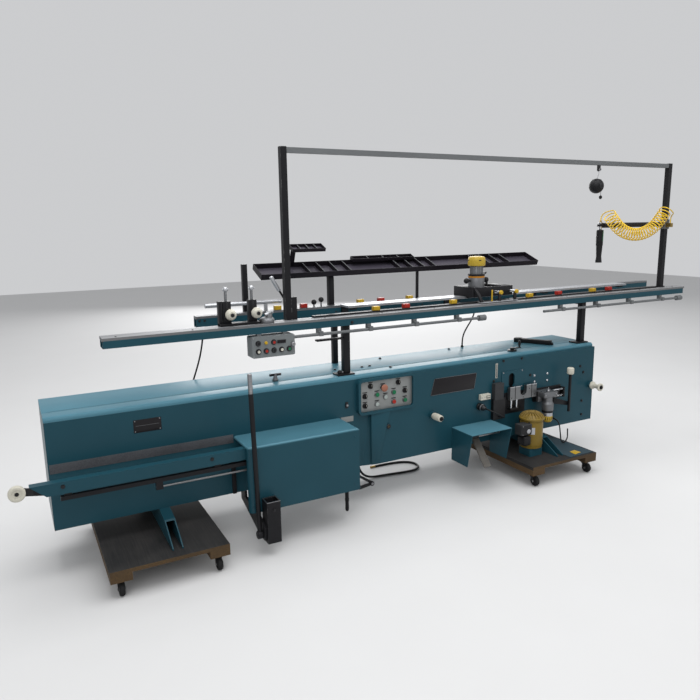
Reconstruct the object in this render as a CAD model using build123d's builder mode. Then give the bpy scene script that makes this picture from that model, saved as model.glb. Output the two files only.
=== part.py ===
from build123d import *
import os
from math import asin, cos, pi, radians, sin, sqrt, tan

os.makedirs("parts", exist_ok=True)

# Door machining centre: a long cabinet on two dollies, with the hinge station on rails above it,
# the boring and latch stations at its right front and the door extension at its left.
# X runs along the machine to the operator's right, Y runs to the back, Z is up from the floor.

# Clearances
slide_gap = 0.3
running_gap = 0.08
rest_gap = 0.5

# Dollies and casters
caster_height = 74.0
wheel_diameter = 60.0
wheel_width = 22.0
wheel_rounding = 4.0
wheel_trail = 28.0
axle_diameter = 10.0
kingpin_diameter = 12.0
caster_plate_size = 64.0
caster_plate_thickness = 4.0
fork_crown_thickness = 5.0
fork_crown_radius = 22.0
fork_cheek = 4.0
fork_ear_radius = 9.0
batten_thickness = 35.0
batten_width = 90.0
deck_thickness = 18.0
deck_width = 510.0
deck_depth = 770.0
deck_reach = 300.0
mat_thickness = 3.0
mat_width = 190.0
mat_depth = 420.0
mat_edge = 14.0

# Cabinet
cab_length = 3250.0
cab_depth = 356.0
cab_height = 508.0
sheet = 3.0
lid_height = 22.0
lid_round = 16.0
seam_width = 3.0
seam_depth = 1.5
seam_from_front = 140.0
foot_height = 100.0
foot_width = 48.0
foot_wall = 5.0
foot_top_plate = 20.0
foot_level_reach = 100.0
foot_level_drop = 15.0
foot_tip_reach = 240.0
foot_back_reach = 70.0
foot_tip_height = 8.0
left_foot_in = 470.0
right_foot_in = 494.0
left_deck_shift = 40.0
right_deck_shift = 16.0

# Proud front panel and its fittings, placed from the cabinet's right end
panel_proud = 19.0
bevel_foot_in = 1722.0
bevel_head_in = 1634.0
bevel_width = 98.0
control_in = 1574.0
control_height = 387.0
control_width = 328.0
control_tall = 167.0
control_corner = 14.0
control_frame = 14.0
control_frame_proud = 8.0
control_plate_thickness = 3.0
control_plate_gap = 8.0
control_boss = 12.0
bezel_diameter = 30.0
bezel_height = 7.0
button_diameter = 22.4
button_stand = 5.0
button_round = 1.2
lens_dome = 3.0
lens_taper = 30.0
selector_bar = 7.0
selector_bar_length = 20.0
selector_bar_height = 11.0
mushroom_diameter = 40.0
mushroom_thickness = 12.0
mushroom_crown_diameter = 30.0
mushroom_stand = 9.0
column_far_left = -133.0
column_left = -99.0
column_mid_left = -59.0
column_stop = -22.0
column_lamp = -6.0
column_mid_right = 46.0
column_right = 75.0
column_far_right = 118.0
row_top = 54.0
row_stop = 38.0
row_middle = 3.0
row_lamp = -17.0
row_bottom = -50.0
slot_plate_in = 691.0
slot_plate_width = 172.0
slot_plate_tall = 116.0
slot_plate_height = 353.0
slot_plate_thickness = 4.0
slot_width = 46.0
slot_tall = 84.0
slot_shift = -8.0
switch_in = 909.0
switch_height = 280.0
switch_width = 70.0
switch_tall = 32.0
switch_proud = 22.0
roller_pin_diameter = 14.0
roller_collar_diameter = 44.0
roller_collar_length = 16.0
door_roller_in = 1278.0
door_roller_height = 223.0
door_roller_diameter = 40.0
door_roller_length = 74.0
door_roller_waist = 33.0
door_roller_flat_start = 26.0
door_roller_flat_end = 41.0
spool_in = 24.0
spool_height = 235.0
spool_diameter = 32.0
spool_flange_diameter = 50.0
spool_flange = 10.0
connector_in = 941.0
connector_height = 223.0
connector_diameter = 38.0
connector_length = 62.0

# Box cover, extension, lever and receiver at the left front
box_in = 819.0
box_length = 583.0
box_depth = 205.0
box_rise = 291.0
box_drop = 32.0
box_corner = 25.0
box_bend = 12.0
rail_ext_reach = 80.0
rail_ext_cut = 60.0
rail_ext_inside = 171.0
rail_ext_front = 168.0
rail_ext_depth = 40.0
rail_ext_wall = 5.0
rail_ext_bottom = 226.0
rail_ext_tall = 52.0
slide_bar_start = 31.0
slide_bar_width = 20.0
slide_bar_tall = 18.0
slide_bar_bottom = 194.0
slide_bar_front = 160.0
link_width = 30.0
link_depth = 12.0
first_link_in = 60.0
second_link_in = 690.0
extension_travel = 300.0
end_roller_reach = 125.0
end_roller_diameter = 65.0
end_roller_width = 25.0
end_roller_round = 5.0
end_roller_pin = 12.0
end_roller_height = 266.0
arm_thickness = 10.0
arm_tall = 34.0
arm_overlap = 60.0
clevis_in = 412.0
clevis_length = 30.0
rod_diameter = 10.0
rod_below_bar = 25.0
piston_diameter = 34.0
piston_length = 20.0
barrel_wall = 4.0
barrel_cap = 16.0
barrel_inset = 31.0
guide_length = 30.0
guide_inset = 26.0
guide_spacing = 120.0
guide_lip = 12.0
guide_floor = 14.0
guide_side = 12.0
lever_in = 849.0
lever_lean = 16.0
lever_reach = 235.0
lever_pivot_drop = 127.0
lever_rise = 646.0
lever_diameter = 22.0
lever_grip_diameter = 28.0
lever_grip_length = 95.0
lever_boss_diameter = 40.0
lever_boss_length = 26.0
lever_pin_diameter = 12.0
hanger_thickness = 12.0
hanger_reach = 262.0
hanger_drop = 150.0
hanger_back = 60.0
hanger_neck = 60.0
receiver_size = 66.0
receiver_wall = 5.0
receiver_rise = 40.0
receiver_drop = 165.0
receiver_standoff = 7.0
cross_bar_width = 20.0
cross_bar_tall = 12.0
cross_bar_reach = 100.0
cross_bar_drop = 72.0
cross_bar_past_box = 48.0
hang_rod_diameter = 14.0
hang_rod_drop = 130.0
hang_bolt_diameter = 22.0
cross_knob_diameter = 24.0

# Pedal hood
hood_in = 993.0
hood_width = 286.0
hood_reach = 186.0
hood_rise = 127.0
hood_drop = 69.0
hood_taper = 40.0
pedal_pivot_reach = 81.0
pedal_pivot_height = 75.0
pedal_pin_diameter = 12.0
pedal_hub_diameter = 24.0
pedal_width = 48.0
pedal_thickness = 6.0
pedal_length = 191.0
pedal_slope = 40.8
pedal_from_side = 100.0

# Boring station
motor_in = 610.0
motor_reach = 110.0
motor_diameter = 136.0
motor_body = 186.0
motor_dome = 35.0
motor_lip = 6.5
motor_lip_height = 10.0
motor_slots = 16
motor_slot_width = 6.0
motor_slot_inner = 24.0
motor_slot_outer = 58.0
motor_foot_height = 48.0
motor_foot_width = 100.0
motor_foot_round = 9.0
junction_width = 80.0
junction_reach = 64.0
junction_depth = 60.0
junction_tall = 64.0
junction_height = 99.0
capacitor_width = 54.0
capacitor_reach = 46.0
capacitor_front = 67.0
capacitor_depth = 62.0
capacitor_tall = 56.0
capacitor_height = 34.0
saddle_in = 632.0
saddle_width = 209.0
saddle_depth = 24.0
saddle_tall = 82.0
saddle_bottom = 236.0
saddle_notch = 50.0
saddle_notch_depth = 61.0
saddle_groove = 5.0
saddle_drop = 50.0
saddle_rod_diameter = 12.0
saddle_rod_spacing = 42.0
saddle_rod_shift = -64.0
saddle_standoff = 9.0
rod_bracket_tall = 12.0
rod_bracket_margin = 12.0
grey_block_width = 66.0
grey_block_tall = 99.0
grey_block_proud = 30.0
grey_block_height = 301.5
grey_block_in = 814.0
black_plate_width = 90.0
black_plate_tall = 128.0
black_plate_proud = 24.0
black_plate_height = 194.0
black_plate_in = 806.0

# Latch router
latch_in = 460.0
latch_rod_diameter = 14.0
latch_rod_stand = 26.0
latch_rod_low = 212.0
latch_rod_spacing = 38.0
latch_bracket = 10.0
latch_bracket_margin = 12.0
latch_left_travel = 2.0
latch_right_travel = 108.0
latch_slider_width = 108.0
latch_slider_depth = 34.0
latch_head_depth = 50.0
latch_head_tall = 32.0
latch_body_diameter = 70.0
latch_body_tall = 100.0
latch_cap_diameter = 66.0
latch_cap_tall = 60.0
latch_cap_nose_diameter = 46.0
latch_cap_nose_tall = 18.0
latch_body_wide_tall = 60.0
latch_body_neck_start = 70.0
latch_ring = 8.0
latch_knob_diameter = 30.0
latch_knob_length = 28.0
latch_collet_diameter = 30.0
latch_collet_tall = 12.0
latch_bit_diameter = 12.0
latch_bit_tall = 14.0
handle_offset = 179.0
handle_size = 14.0
handle_low = 110.0
handle_high = 354.0
handle_cap_diameter = 43.0
handle_cap_tall = 38.0
handle_arm_tall = 40.0
handle_arm_thickness = 8.0
handle_arm_height = 178.0
handle_arm_drop = 30.0
handle_arm_end_tall = 26.0

# Cabinet top fittings
crank_in = 624.0
crank_back = 65.0
crank_flange_diameter = 56.0
crank_flange_height = 8.0
crank_pin_diameter = 12.0
crank_pin_height = 16.0
crank_hub_diameter = 26.0
crank_hub_height = 14.0
crank_arm = 62.0
crank_arm_width = 14.0
crank_arm_thickness = 8.0
crank_handle_diameter = 13.0
crank_handle_height = 48.0
top_pad_in = 420.0
top_pad_length = 240.0
top_pad_depth = 44.0
top_pad_height = 24.0
top_pad_back = 210.0

# Upper hinge station
post_size = 48.0
post_wall = 4.0
post_rise = 265.0
post_flange_height = 8.0
post_flange_long = 150.0
post_flange_wide = 70.0
left_post_in = 1468.0
left_rear_post_in = 1540.0
right_post_in = 52.0
front_rail_start = 264.0
front_rail_reach = 903.0
front_rail_back = 20.0
front_rail_depth = 75.0
front_rail_tall = 34.0
rail_tube_wall = 4.0
cap_tall = 12.0
cap_depth = 90.0
cap_nose_round = 30.0
cap_reach = 935.0
stop_bar_start = 1300.0
stop_bar_reach = 690.0
stop_bar_depth = 35.0
stop_bar_tall = 10.0
rear_rail_start = 755.0
rear_rail_back = 318.0
rear_rail_depth = 50.0
rear_rail_rise = 11.0
rear_rail_tall = 44.0
guide_start = 1560.0
guide_reach = 520.0
guide_back = 190.0
guide_depth = 100.0
guide_tall = 12.0
guide_rise = 10.0
guide_brackets = 4
guide_bracket_width = 40.0
guide_bracket_wall = 12.0
fence_start = 814.0
fence_length = 420.0
fence_foot_in = 90.0
fence_foot_width = 16.0
fence_diameter = 22.0
fence_rise = 45.0
stop_width = 36.0
stop_depth = 28.0
stop_height = 22.0
stop_chamfer = 2.2
front_yellow_spots = (1675.0, 2192.0, 2777.0, 3326.0)
front_red_spots = (1868.0, 3021.0, 3478.0)
rear_yellow_spots = (1206.0, 1717.0, 2054.0)
rear_red_spots = (1360.0, 1855.0)

# Roller clamps and cam at the left of the front rail
clamp_start = 800.0
clamp_length = 200.0
clamp_depth = 50.0
clamp_thickness = 12.0
clamp_set_back = 30.0
clamp_end_plate = 14.0
clamp_end_rise = 118.0
clamp_bracket_width = 40.0
clamp_bracket_depth = 34.0
clamp_bracket_rise = 105.0
first_clamp_in = 840.0
second_clamp_in = 970.0
clamp_roller_diameter = 54.0
clamp_roller_nose = 30.0
clamp_roller_length = 40.0
clamp_roller_back = 46.0
clamp_roller_crown = 10.0
clamp_roller_shoulder = 24.0
clamp_roller_shoulder_diameter = 50.0
clamp_roller_rise = 43.0
clamp_roller_shift = 12.0
clamp_pin_diameter = 12.0
clamp_screw_diameter = 14.0
clamp_screw_depth = 50.0
clamp_screw_rise = 56.0
clamp_screw_head = 26.0
clamp_cross_pin = 8.0
clamp_cross_length = 30.0
cam_block_length = 78.0
cam_block_depth = 70.0
cam_block_tall = 58.0
cam_lever_in = 1180.0
cam_lever_rise = 66.0
cam_lever_length = 179.0
cam_lever_lean = 30.8
cam_lever_diameter = 14.0
cam_grip_diameter = 20.0
cam_grip_length = 85.0
cam_hub_diameter = 30.0
cam_hub_length = 22.0
cam_pin_diameter = 12.0
cam_stand_width = 30.0
cam_stand_tall = 114.0

# Router carriage on the guide rail
carriage_in = 2505.0
carriage_width = 302.0
carriage_front = 112.0
carriage_tall = 57.0
carriage_overhang = 12.0
carriage_skirt = 9.0
carriage_skirt_wall = 11.0
carriage_corner = 8.0
router_in = 2412.0
router_back = 160.0
router_base_diameter = 96.0
router_base_tall = 78.0
router_motor_diameter = 74.0
router_motor_tall = 146.0
router_motor_seat = 20.0
router_cap_diameter = 104.0
router_cap_tall = 56.0
router_cap_round = 14.0
router_nose_diameter = 34.0
router_nose_tall = 20.0
router_bit_diameter = 12.0
router_bit_tall = 16.0
router_handle_diameter = 26.0
router_handle_reach = 34.0
cross_rod_diameter = 16.0
cross_rod_rise = 28.0
cross_rod_first = 2505.0
cross_rod_second = 2625.0
cross_rod_front = 50.0
cross_rod_back = 330.0
cross_rod_tip_diameter = 24.0
cross_rod_tip_length = 16.0

# Overhead frame
overhead_left_in = 1161.5
overhead_right_out = 750.0
overhead_size = 32.0
overhead_wall = 4.0
overhead_back = 95.0
overhead_rise = 841.0
overhead_flange = 64.0
overhead_flange_height = 8.0
track_size = 26.0
track_wall = 3.0
track_slot = 12.0
track_top_drop = 3.0
trolley_in = 3324.0
trolley_length = 56.0
trolley_neck = 8.0
trolley_neck_drop = 14.0
trolley_plate_tall = 14.0
trolley_eye_outer = 24.0
trolley_pin_diameter = 8.0
balancer_drop = 103.0
balancer_shift = -24.0
balancer_diameter = 92.0
balancer_neck_diameter = 58.0
balancer_rod_diameter = 6.0
balancer_ball_diameter = 24.0
balancer_ball_drop = 172.0
balancer_hub_diameter = 18.0
balancer_hub_width = 10.0
arm_rise = 436.0
arm_diameter = 32.0
arm_length = 594.0
arm_clamp_tall = 64.0
arm_clamp_wall = 6.0
tool_ring_diameter = 42.0
tool_ring_tall = 14.0
tool_neck_diameter = 22.0
tool_neck_tall = 26.0
tool_collar_diameter = 34.0
tool_collar_tall = 9.0
tool_body_diameter = 36.0
tool_body_tall = 138.0
tool_taper_diameter = 24.0
tool_taper_tall = 56.0
tool_bell_diameter = 44.0
tool_bell_tall = 26.0
tool_inlet_diameter = 14.0
tool_inlet_tall = 16.0

# Coil hose
hose_diameter = 7.0
coil_outer = 84.0
coil_turns = 26
coil_left_past_tool = -22.0
coil_left_rise = 34.0
coil_right_short = 110.0
coil_right_rise = 92.0
coil_sag = 140.0
coil_front_gap = 19.0
fitting_size = 24.0
fitting_reach = 35.0
fitting_tall = 27.0
fitting_rise = 416.0

# Parts trays
tray_start = 1118.0
tray_length = 1950.0
tray_width = 138.0
tray_wall_tall = 32.0
tray_sheet = 3.0
tray_tilt = 22.0
tray_front_back = 340.0
tray_front_rise = 163.0
tray_post_size = 38.0
tray_first_post = 1546.0
tray_second_post = 2112.0
divider_groups = 3
dividers_in_group = 4
divider_pitch = 84.0
divider_first = 290.0
divider_group_step = 585.0
small_tray_width = 70.0
small_tray_tall = 20.0
small_tray_lift = 104.0
small_tray_back = 107.0
first_small_in = 1330.0
first_small_length = 200.0
second_small_in = 1720.0
second_small_length = 420.0
second_small_width = 42.0
second_small_overhang = 12.0
small_tray_dividers = 3
small_tray_strap = 30.0
stop_post_in = 1040.0
stop_post_size = 27.0
stop_post_tall = 305.0

# Lower control box and conduits
lower_box_in = 935.0
lower_box_width = 222.0
lower_box_tall = 104.0
lower_box_depth = 72.0
lower_box_drop = 11.0
lower_box_forward = 16.0
lower_box_corner = 8.0
lower_button_pitch = 40.0
lower_button_columns = 5
lower_button_diameter = 20.0
lower_button_height = 9.0
lower_display_width = 44.0
lower_display_tall = 16.0
lower_display_height = 4.5
conduit_diameter = 16.0
conduit_drop = 29.0
conduit_left_end = 2362.0
conduit_right_start = 2822.0
conduit_right_end = 4120.0
conduit_back = 12.0
clips_on_run = 4
clip_width = 22.0
conduit_fitting_diameter = 34.0
conduit_fitting_length = 46.0

# Leads and hoses
gland_diameter = 20.0
gland_length = 12.0
drop_diameter = 9.0
left_drop_in = 35.0
left_drop_shift = 78.0
left_drop_height = 400.0
middle_drop_in = 2555.0
middle_drop_shift = 103.0
middle_drop_forward = 8.0
lead_diameter = 8.0
lead_plate_drop = 73.0
cable_diameter = 8.0
cable_past_latch = 110.0
cable_height = 60.0
cable_deck_out = 44.0
cable_deck_forward = 52.0
floor_hose_diameter = 14.0
hose_in = 1660.0
hose_from_back = 56.0
hose_touch_out = 114.0
coupling_diameter = 14.4
coupling_length = 34.0

# Places worked out from the sizes above
end_reach = end_roller_reach + end_roller_diameter / 2
cab_left = (end_reach - cab_length - cap_reach) / 2
cab_right = cab_left + cab_length
cab_mid = cab_left + cab_length / 2
deck_front = -deck_depth / 2
deck_back = deck_depth / 2
cab_front = deck_front + deck_reach
cab_back = cab_front + cab_depth
deck_bottom = caster_height + batten_thickness
deck_top = deck_bottom + deck_thickness
cab_floor = deck_top + foot_height
cab_top = cab_floor + cab_height
lid_bottom = cab_top - lid_height
shell_height = cab_height - lid_height
panel_front = cab_front - panel_proud
left_foot_x = cab_left + left_foot_in
right_foot_x = cab_right - right_foot_in
left_deck_x = left_foot_x - left_deck_shift
right_deck_x = right_foot_x - right_deck_shift
batten_offset = (deck_width - batten_width) / 2
front_caster_y = deck_front + wheel_trail + wheel_diameter / 2
rear_caster_y = deck_back - wheel_trail - wheel_diameter / 2
wheel_z = wheel_diameter / 2
fork_top = caster_height - caster_plate_thickness - slide_gap
front_face = Plane.XZ.offset(-cab_front)
panel_face = Plane.XZ.offset(-panel_front)


def block(x_span, y_span, z_span, mode=Mode.ADD):
    """Add or cut a block between two corners of the part being built."""
    middle = ((sum(x_span)) / 2, (sum(y_span)) / 2, (sum(z_span)) / 2)
    with Locations(middle):
        Box(x_span[1] - x_span[0], y_span[1] - y_span[0], z_span[1] - z_span[0], mode=mode)


def rod(start, end, diameter, mode=Mode.ADD):
    """Add or cut a round rod between two points of the part being built."""
    along = Vector(*end) - Vector(*start)
    with Locations(Plane(origin=start, z_dir=along)):
        Cylinder(diameter / 2, along.length, align=(Align.CENTER, Align.CENTER, Align.MIN), mode=mode)


def turned(origin, axis_dir, outline):
    """Revolve an outline of (radius, distance along the axis) about an axis through the origin."""
    side = Vector(1, 0, 0) if abs(Vector(*axis_dir).X) < 0.5 else Vector(0, 0, 1)
    half_plane = Plane(origin=origin, x_dir=side, z_dir=side.cross(Vector(*axis_dir)))
    with BuildSketch(half_plane) as profile:
        with BuildLine():
            Polyline(*outline, close=True)
        make_face()
    revolve(profile.sketch, axis=Axis(origin, axis_dir))


def square_tube(x, y, z_span, size, wall):
    """Add an upright square tube, open at both ends."""
    with BuildSketch(Plane.XY.offset(z_span[0])) as section:
        with Locations((x, y)):
            Rectangle(size, size)
            Rectangle(size - 2 * wall, size - 2 * wall, mode=Mode.SUBTRACT)
    extrude(section.sketch, amount=z_span[1] - z_span[0])


def corner_radii(points):
    """Give each corner of a cord's route the largest arc that its two runs allow."""
    radii = []
    for before, corner, after in zip(points, points[1:], points[2:]):
        run_in = corner - before
        run_out = after - corner
        half_turn = radians(run_in.get_angle(run_out)) / 2
        radii.append(0.45 * min(run_in.length, run_out.length) / tan(half_turn))
    return radii


def cord(points, diameter, name):
    """Sweep a round cord along straight runs with tangent arcs and print its radii and volume."""
    radii = corner_radii(points)
    with BuildLine() as route:
        FilletPolyline(*points, radius=radii)
    path = route.wires()[0]
    with BuildSketch(Plane(origin=path @ 0, z_dir=path % 0)) as section:
        Circle(diameter / 2)
    sweep(section.sketch, path=path)
    print(name, "radii", [round(r) for r in radii], "length", round(path.length),
          "section volume", round(path.length * pi * diameter ** 2 / 4))


def finish(builder, name):
    """Label a finished sub-part and write it."""
    builder.part.label = name
    export_step(builder.part, f"parts/{name}.step")


# Cabinet: folded sheet housing open at the top, on two channel feet
with BuildPart() as cabinet_shell:
    with BuildSketch(Plane.XY.offset(cab_floor)):
        with Locations((cab_mid, (cab_front + cab_back) / 2)):
            Rectangle(cab_length, cab_depth)
    extrude(amount=shell_height)
    offset(amount=-sheet, openings=cabinet_shell.faces().sort_by(Axis.Z)[-1])
    for foot_x in (left_foot_x, right_foot_x):
        foot_side = Plane.YZ.offset(foot_x)
        with BuildSketch(foot_side):
            with BuildLine():
                Polyline(
                    (cab_front - foot_tip_reach, deck_top),
                    (cab_front - foot_tip_reach, deck_top + foot_tip_height),
                    (cab_front - foot_level_reach, cab_floor - foot_level_drop),
                    (cab_front, cab_floor),
                    (cab_back, cab_floor),
                    (cab_back + foot_back_reach, deck_top + foot_tip_height),
                    (cab_back + foot_back_reach, deck_top),
                    close=True,
                )
            make_face()
        extrude(amount=foot_width / 2, both=True)
        channel = foot_width / 2 - foot_wall
        block(
            (foot_x - channel, foot_x + channel),
            (cab_front - foot_tip_reach - foot_wall, cab_back + foot_back_reach + foot_wall),
            (deck_top - foot_wall, cab_floor - foot_top_plate),
            mode=Mode.SUBTRACT,
        )
finish(cabinet_shell, "cabinet_shell")

# Top cover with a rounded front edge, the crank's flange and pin, and a rubber pad
crank_x = cab_right - crank_in
crank_y = cab_front + crank_back
crank_top = cab_top + crank_flange_height + crank_pin_height
pad_x = cab_right - top_pad_in
pad_y = cab_front + top_pad_back
with BuildPart() as cabinet_top:
    with BuildSketch(Plane.YZ.offset(cab_left)):
        with Locations(((cab_front + cab_back) / 2, (lid_bottom + cab_top) / 2)):
            Rectangle(cab_depth, lid_height)
    extrude(amount=cab_length)
    top_edges = cabinet_top.edges().filter_by(Axis.X).group_by(Axis.Z)[-1]
    fillet(top_edges.sort_by(Axis.Y)[0], radius=lid_round)
    offset(amount=-sheet, openings=cabinet_top.faces().sort_by(Axis.Z)[0])
    seam_y = cab_front + seam_from_front
    block(
        (cab_left - seam_width, cab_right + seam_width),
        (seam_y, seam_y + seam_width),
        (cab_top - seam_depth, cab_top + seam_depth),
        mode=Mode.SUBTRACT,
    )
    rod((crank_x, crank_y, cab_top), (crank_x, crank_y, cab_top + crank_flange_height), crank_flange_diameter)
    rod((crank_x, crank_y, cab_top), (crank_x, crank_y, crank_top), crank_pin_diameter)
    block(
        (pad_x - top_pad_length / 2, pad_x + top_pad_length / 2),
        (pad_y - top_pad_depth / 2, pad_y + top_pad_depth / 2),
        (cab_top, cab_top + top_pad_height),
    )
finish(cabinet_top, "cabinet_top")

# Hand crank on the cabinet top
with BuildPart() as top_crank:
    hub_bottom = cab_top + crank_flange_height + slide_gap
    arm_bottom = hub_bottom + crank_hub_height - crank_arm_thickness
    with BuildSketch(Plane.XY.offset(hub_bottom)):
        with Locations((crank_x, crank_y)):
            Circle(crank_hub_diameter / 2)
    extrude(amount=crank_hub_height)
    with BuildSketch(Plane.XY.offset(arm_bottom)):
        with Locations((crank_x + crank_arm / 2, crank_y)):
            SlotCenterToCenter(crank_arm, crank_arm_width)
    extrude(amount=crank_arm_thickness)
    handle_x = crank_x + crank_arm
    handle_base = (handle_x, crank_y, arm_bottom)
    rod(handle_base, (handle_x, crank_y, arm_bottom + crank_handle_height), crank_handle_diameter)
    rod(
        (crank_x, crank_y, hub_bottom - slide_gap),
        (crank_x, crank_y, crank_top + slide_gap),
        crank_pin_diameter + 2 * running_gap,
        mode=Mode.SUBTRACT,
    )
finish(top_crank, "top_crank")

# Proud front panel with a slanted bevel, the framed control window, the slotted plate and roller pins
control_x = cab_right - control_in
control_z = cab_floor + control_height
slot_x = cab_right - slot_plate_in
slot_z = cab_floor + slot_plate_height
switch_x = cab_right - switch_in
switch_z = cab_floor + switch_height
door_roller_x = cab_right - door_roller_in
door_roller_z = cab_floor + door_roller_height
spool_x = cab_right - spool_in
spool_z = cab_floor + spool_height
roller_front = panel_front - roller_collar_length - slide_gap - door_roller_length
with BuildPart() as front_panel:
    for level, bevel_in in ((cab_floor, bevel_foot_in), (lid_bottom, bevel_head_in)):
        bevel_x = cab_right - bevel_in
        with BuildSketch(Plane.XY.offset(level)):
            with BuildLine():
                Polyline(
                    (bevel_x, cab_front),
                    (bevel_x + bevel_width, panel_front),
                    (cab_right, panel_front),
                    (cab_right, cab_front),
                    close=True,
                )
            make_face()
    loft(ruled=True)
    offset(amount=-sheet, openings=front_panel.faces().sort_by(Axis.Y)[-1])
    with BuildSketch(front_face):
        with Locations((control_x, control_z)):
            RectangleRounded(
                control_width + 2 * control_frame,
                control_tall + 2 * control_frame,
                control_corner + control_frame,
            )
    extrude(amount=panel_proud + control_frame_proud)
    with BuildSketch(front_face):
        with Locations((control_x, control_z)):
            RectangleRounded(control_width + 2 * slide_gap, control_tall + 2 * slide_gap, control_corner)
    extrude(amount=panel_proud + control_frame_proud, mode=Mode.SUBTRACT)
    with BuildSketch(panel_face):
        with Locations((slot_x, slot_z)):
            Rectangle(slot_plate_width, slot_plate_tall)
    extrude(amount=slot_plate_thickness)
    with BuildSketch(front_face):
        with Locations((slot_x + slot_shift, slot_z)):
            SlotOverall(slot_tall, slot_width, rotation=90)
    extrude(amount=panel_proud + slot_plate_thickness, mode=Mode.SUBTRACT)
    with BuildSketch(panel_face):
        with Locations((switch_x, switch_z)):
            Rectangle(switch_width, switch_tall)
    extrude(amount=switch_proud)
    for pin_x, pin_z in ((door_roller_x, door_roller_z), (spool_x, spool_z)):
        with BuildSketch(panel_face):
            with Locations((pin_x, pin_z)):
                Circle(roller_collar_diameter / 2)
        extrude(amount=roller_collar_length)
        rod((pin_x, panel_front, pin_z), (pin_x, roller_front, pin_z), roller_pin_diameter)
finish(front_panel, "front_panel")

# Barrel roller and end spool on the panel's pins
roller_seat = roller_collar_length + slide_gap
roller_bore = roller_pin_diameter + 2 * running_gap
with BuildPart() as door_roller:
    turned(
        (door_roller_x, panel_front - roller_seat, door_roller_z),
        (0, -1, 0),
        (
            (roller_bore / 2, 0),
            (door_roller_waist / 2, 0),
            (door_roller_diameter / 2, door_roller_flat_start),
            (door_roller_diameter / 2, door_roller_flat_end),
            (door_roller_waist / 2, door_roller_length),
            (roller_bore / 2, door_roller_length),
        ),
    )
finish(door_roller, "door_roller")

with BuildPart() as end_spool:
    turned(
        (spool_x, panel_front - roller_seat, spool_z),
        (0, -1, 0),
        (
            (roller_bore / 2, 0),
            (spool_diameter / 2, 0),
            (spool_diameter / 2, door_roller_length - 2 * spool_flange),
            (spool_flange_diameter / 2, door_roller_length - spool_flange),
            (spool_flange_diameter / 2, door_roller_length),
            (roller_bore / 2, door_roller_length),
        ),
    )
finish(end_spool, "end_spool")

# Control plate with bezels and two lamps, seated on corner bosses
plate_back = cab_front - control_plate_gap
plate_front = plate_back - control_plate_thickness
bezel_front = plate_front - bezel_height
plate_face = Plane.XZ.offset(-plate_back)
green_spots = ((column_mid_left, row_middle), (column_mid_right, row_middle), (column_far_right, row_bottom))
lamp_spots = ((column_lamp, row_lamp), (column_mid_left, row_bottom))
red_spot = (column_mid_right, row_bottom)
stop_spot = (column_stop, row_stop)
selector_spots = (
    (column_left, row_top),
    (column_right, row_top),
    (column_far_right, row_middle),
    (column_far_left, row_middle),
    (column_far_left, row_bottom),
)
moving_spots = (*green_spots, red_spot, stop_spot, *selector_spots)


def on_plate(spot):
    """Give the X and Z of a spot measured from the control plate's centre."""
    return control_x + spot[0], control_z + spot[1]


with BuildPart() as control_plate:
    with BuildSketch(plate_face):
        with Locations((control_x, control_z)):
            RectangleRounded(control_width, control_tall, control_corner - slide_gap)
    extrude(amount=control_plate_thickness)
    with BuildSketch(plate_face):
        with Locations(*[on_plate(spot) for spot in (*moving_spots, *lamp_spots)]):
            Circle(bezel_diameter / 2)
    extrude(amount=control_plate_thickness + bezel_height)
    with BuildSketch(plate_face):
        with Locations(*[on_plate(spot) for spot in moving_spots]):
            Circle(button_diameter / 2 + slide_gap)
    extrude(amount=control_plate_thickness + bezel_height, mode=Mode.SUBTRACT)
    with BuildSketch(Plane.XZ.offset(-bezel_front)):
        with Locations(*[on_plate(spot) for spot in lamp_spots]):
            Circle(button_diameter / 2)
    extrude(amount=lens_dome, taper=lens_taper)
    with BuildSketch(front_face):
        with Locations((control_x, control_z)):
            with GridLocations(control_width - 2 * control_boss, control_tall - 2 * control_boss, 2, 2):
                Circle(control_boss / 2)
    extrude(amount=control_plate_gap)
finish(control_plate, "control_plate")


def push_button(spot, name):
    """Build one round push-button that slides in its bezel."""
    x, z = on_plate(spot)
    with BuildPart() as button:
        with BuildSketch(plate_face):
            with Locations((x, z)):
                Circle(button_diameter / 2)
        extrude(amount=control_plate_thickness + bezel_height + button_stand)
        fillet(button.edges().sort_by(Axis.Y)[0], radius=button_round)
    finish(button, name)


for number, spot in enumerate(green_spots, start=1):
    push_button(spot, f"green_button_{number}")
push_button(red_spot, "red_button")

# Mushroom stop on its stem
stop_x, stop_z = on_plate(stop_spot)
with BuildPart() as emergency_stop:
    stem_length = control_plate_thickness + bezel_height + mushroom_stand
    rim = mushroom_diameter / 2
    turned(
        (stop_x, plate_back, stop_z),
        (0, -1, 0),
        (
            (0, 0),
            (button_diameter / 2, 0),
            (button_diameter / 2, stem_length),
            (rim, stem_length),
            (rim, stem_length + mushroom_thickness / 2),
            (mushroom_crown_diameter / 2, stem_length + mushroom_thickness),
            (0, stem_length + mushroom_thickness),
        ),
    )
finish(emergency_stop, "emergency_stop")

# Selector knobs with a raised bar
for number, spot in enumerate(selector_spots, start=1):
    knob_x, knob_z = on_plate(spot)
    with BuildPart() as selector:
        with BuildSketch(plate_face):
            with Locations((knob_x, knob_z)):
                Circle(button_diameter / 2)
        extrude(amount=control_plate_thickness + bezel_height + slide_gap)
        with BuildSketch(Plane.XZ.offset(-bezel_front + slide_gap)):
            with Locations((knob_x, knob_z)):
                SlotOverall(selector_bar_length, selector_bar, rotation=90)
        extrude(amount=selector_bar_height)
    finish(selector, f"selector_{number}")

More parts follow.
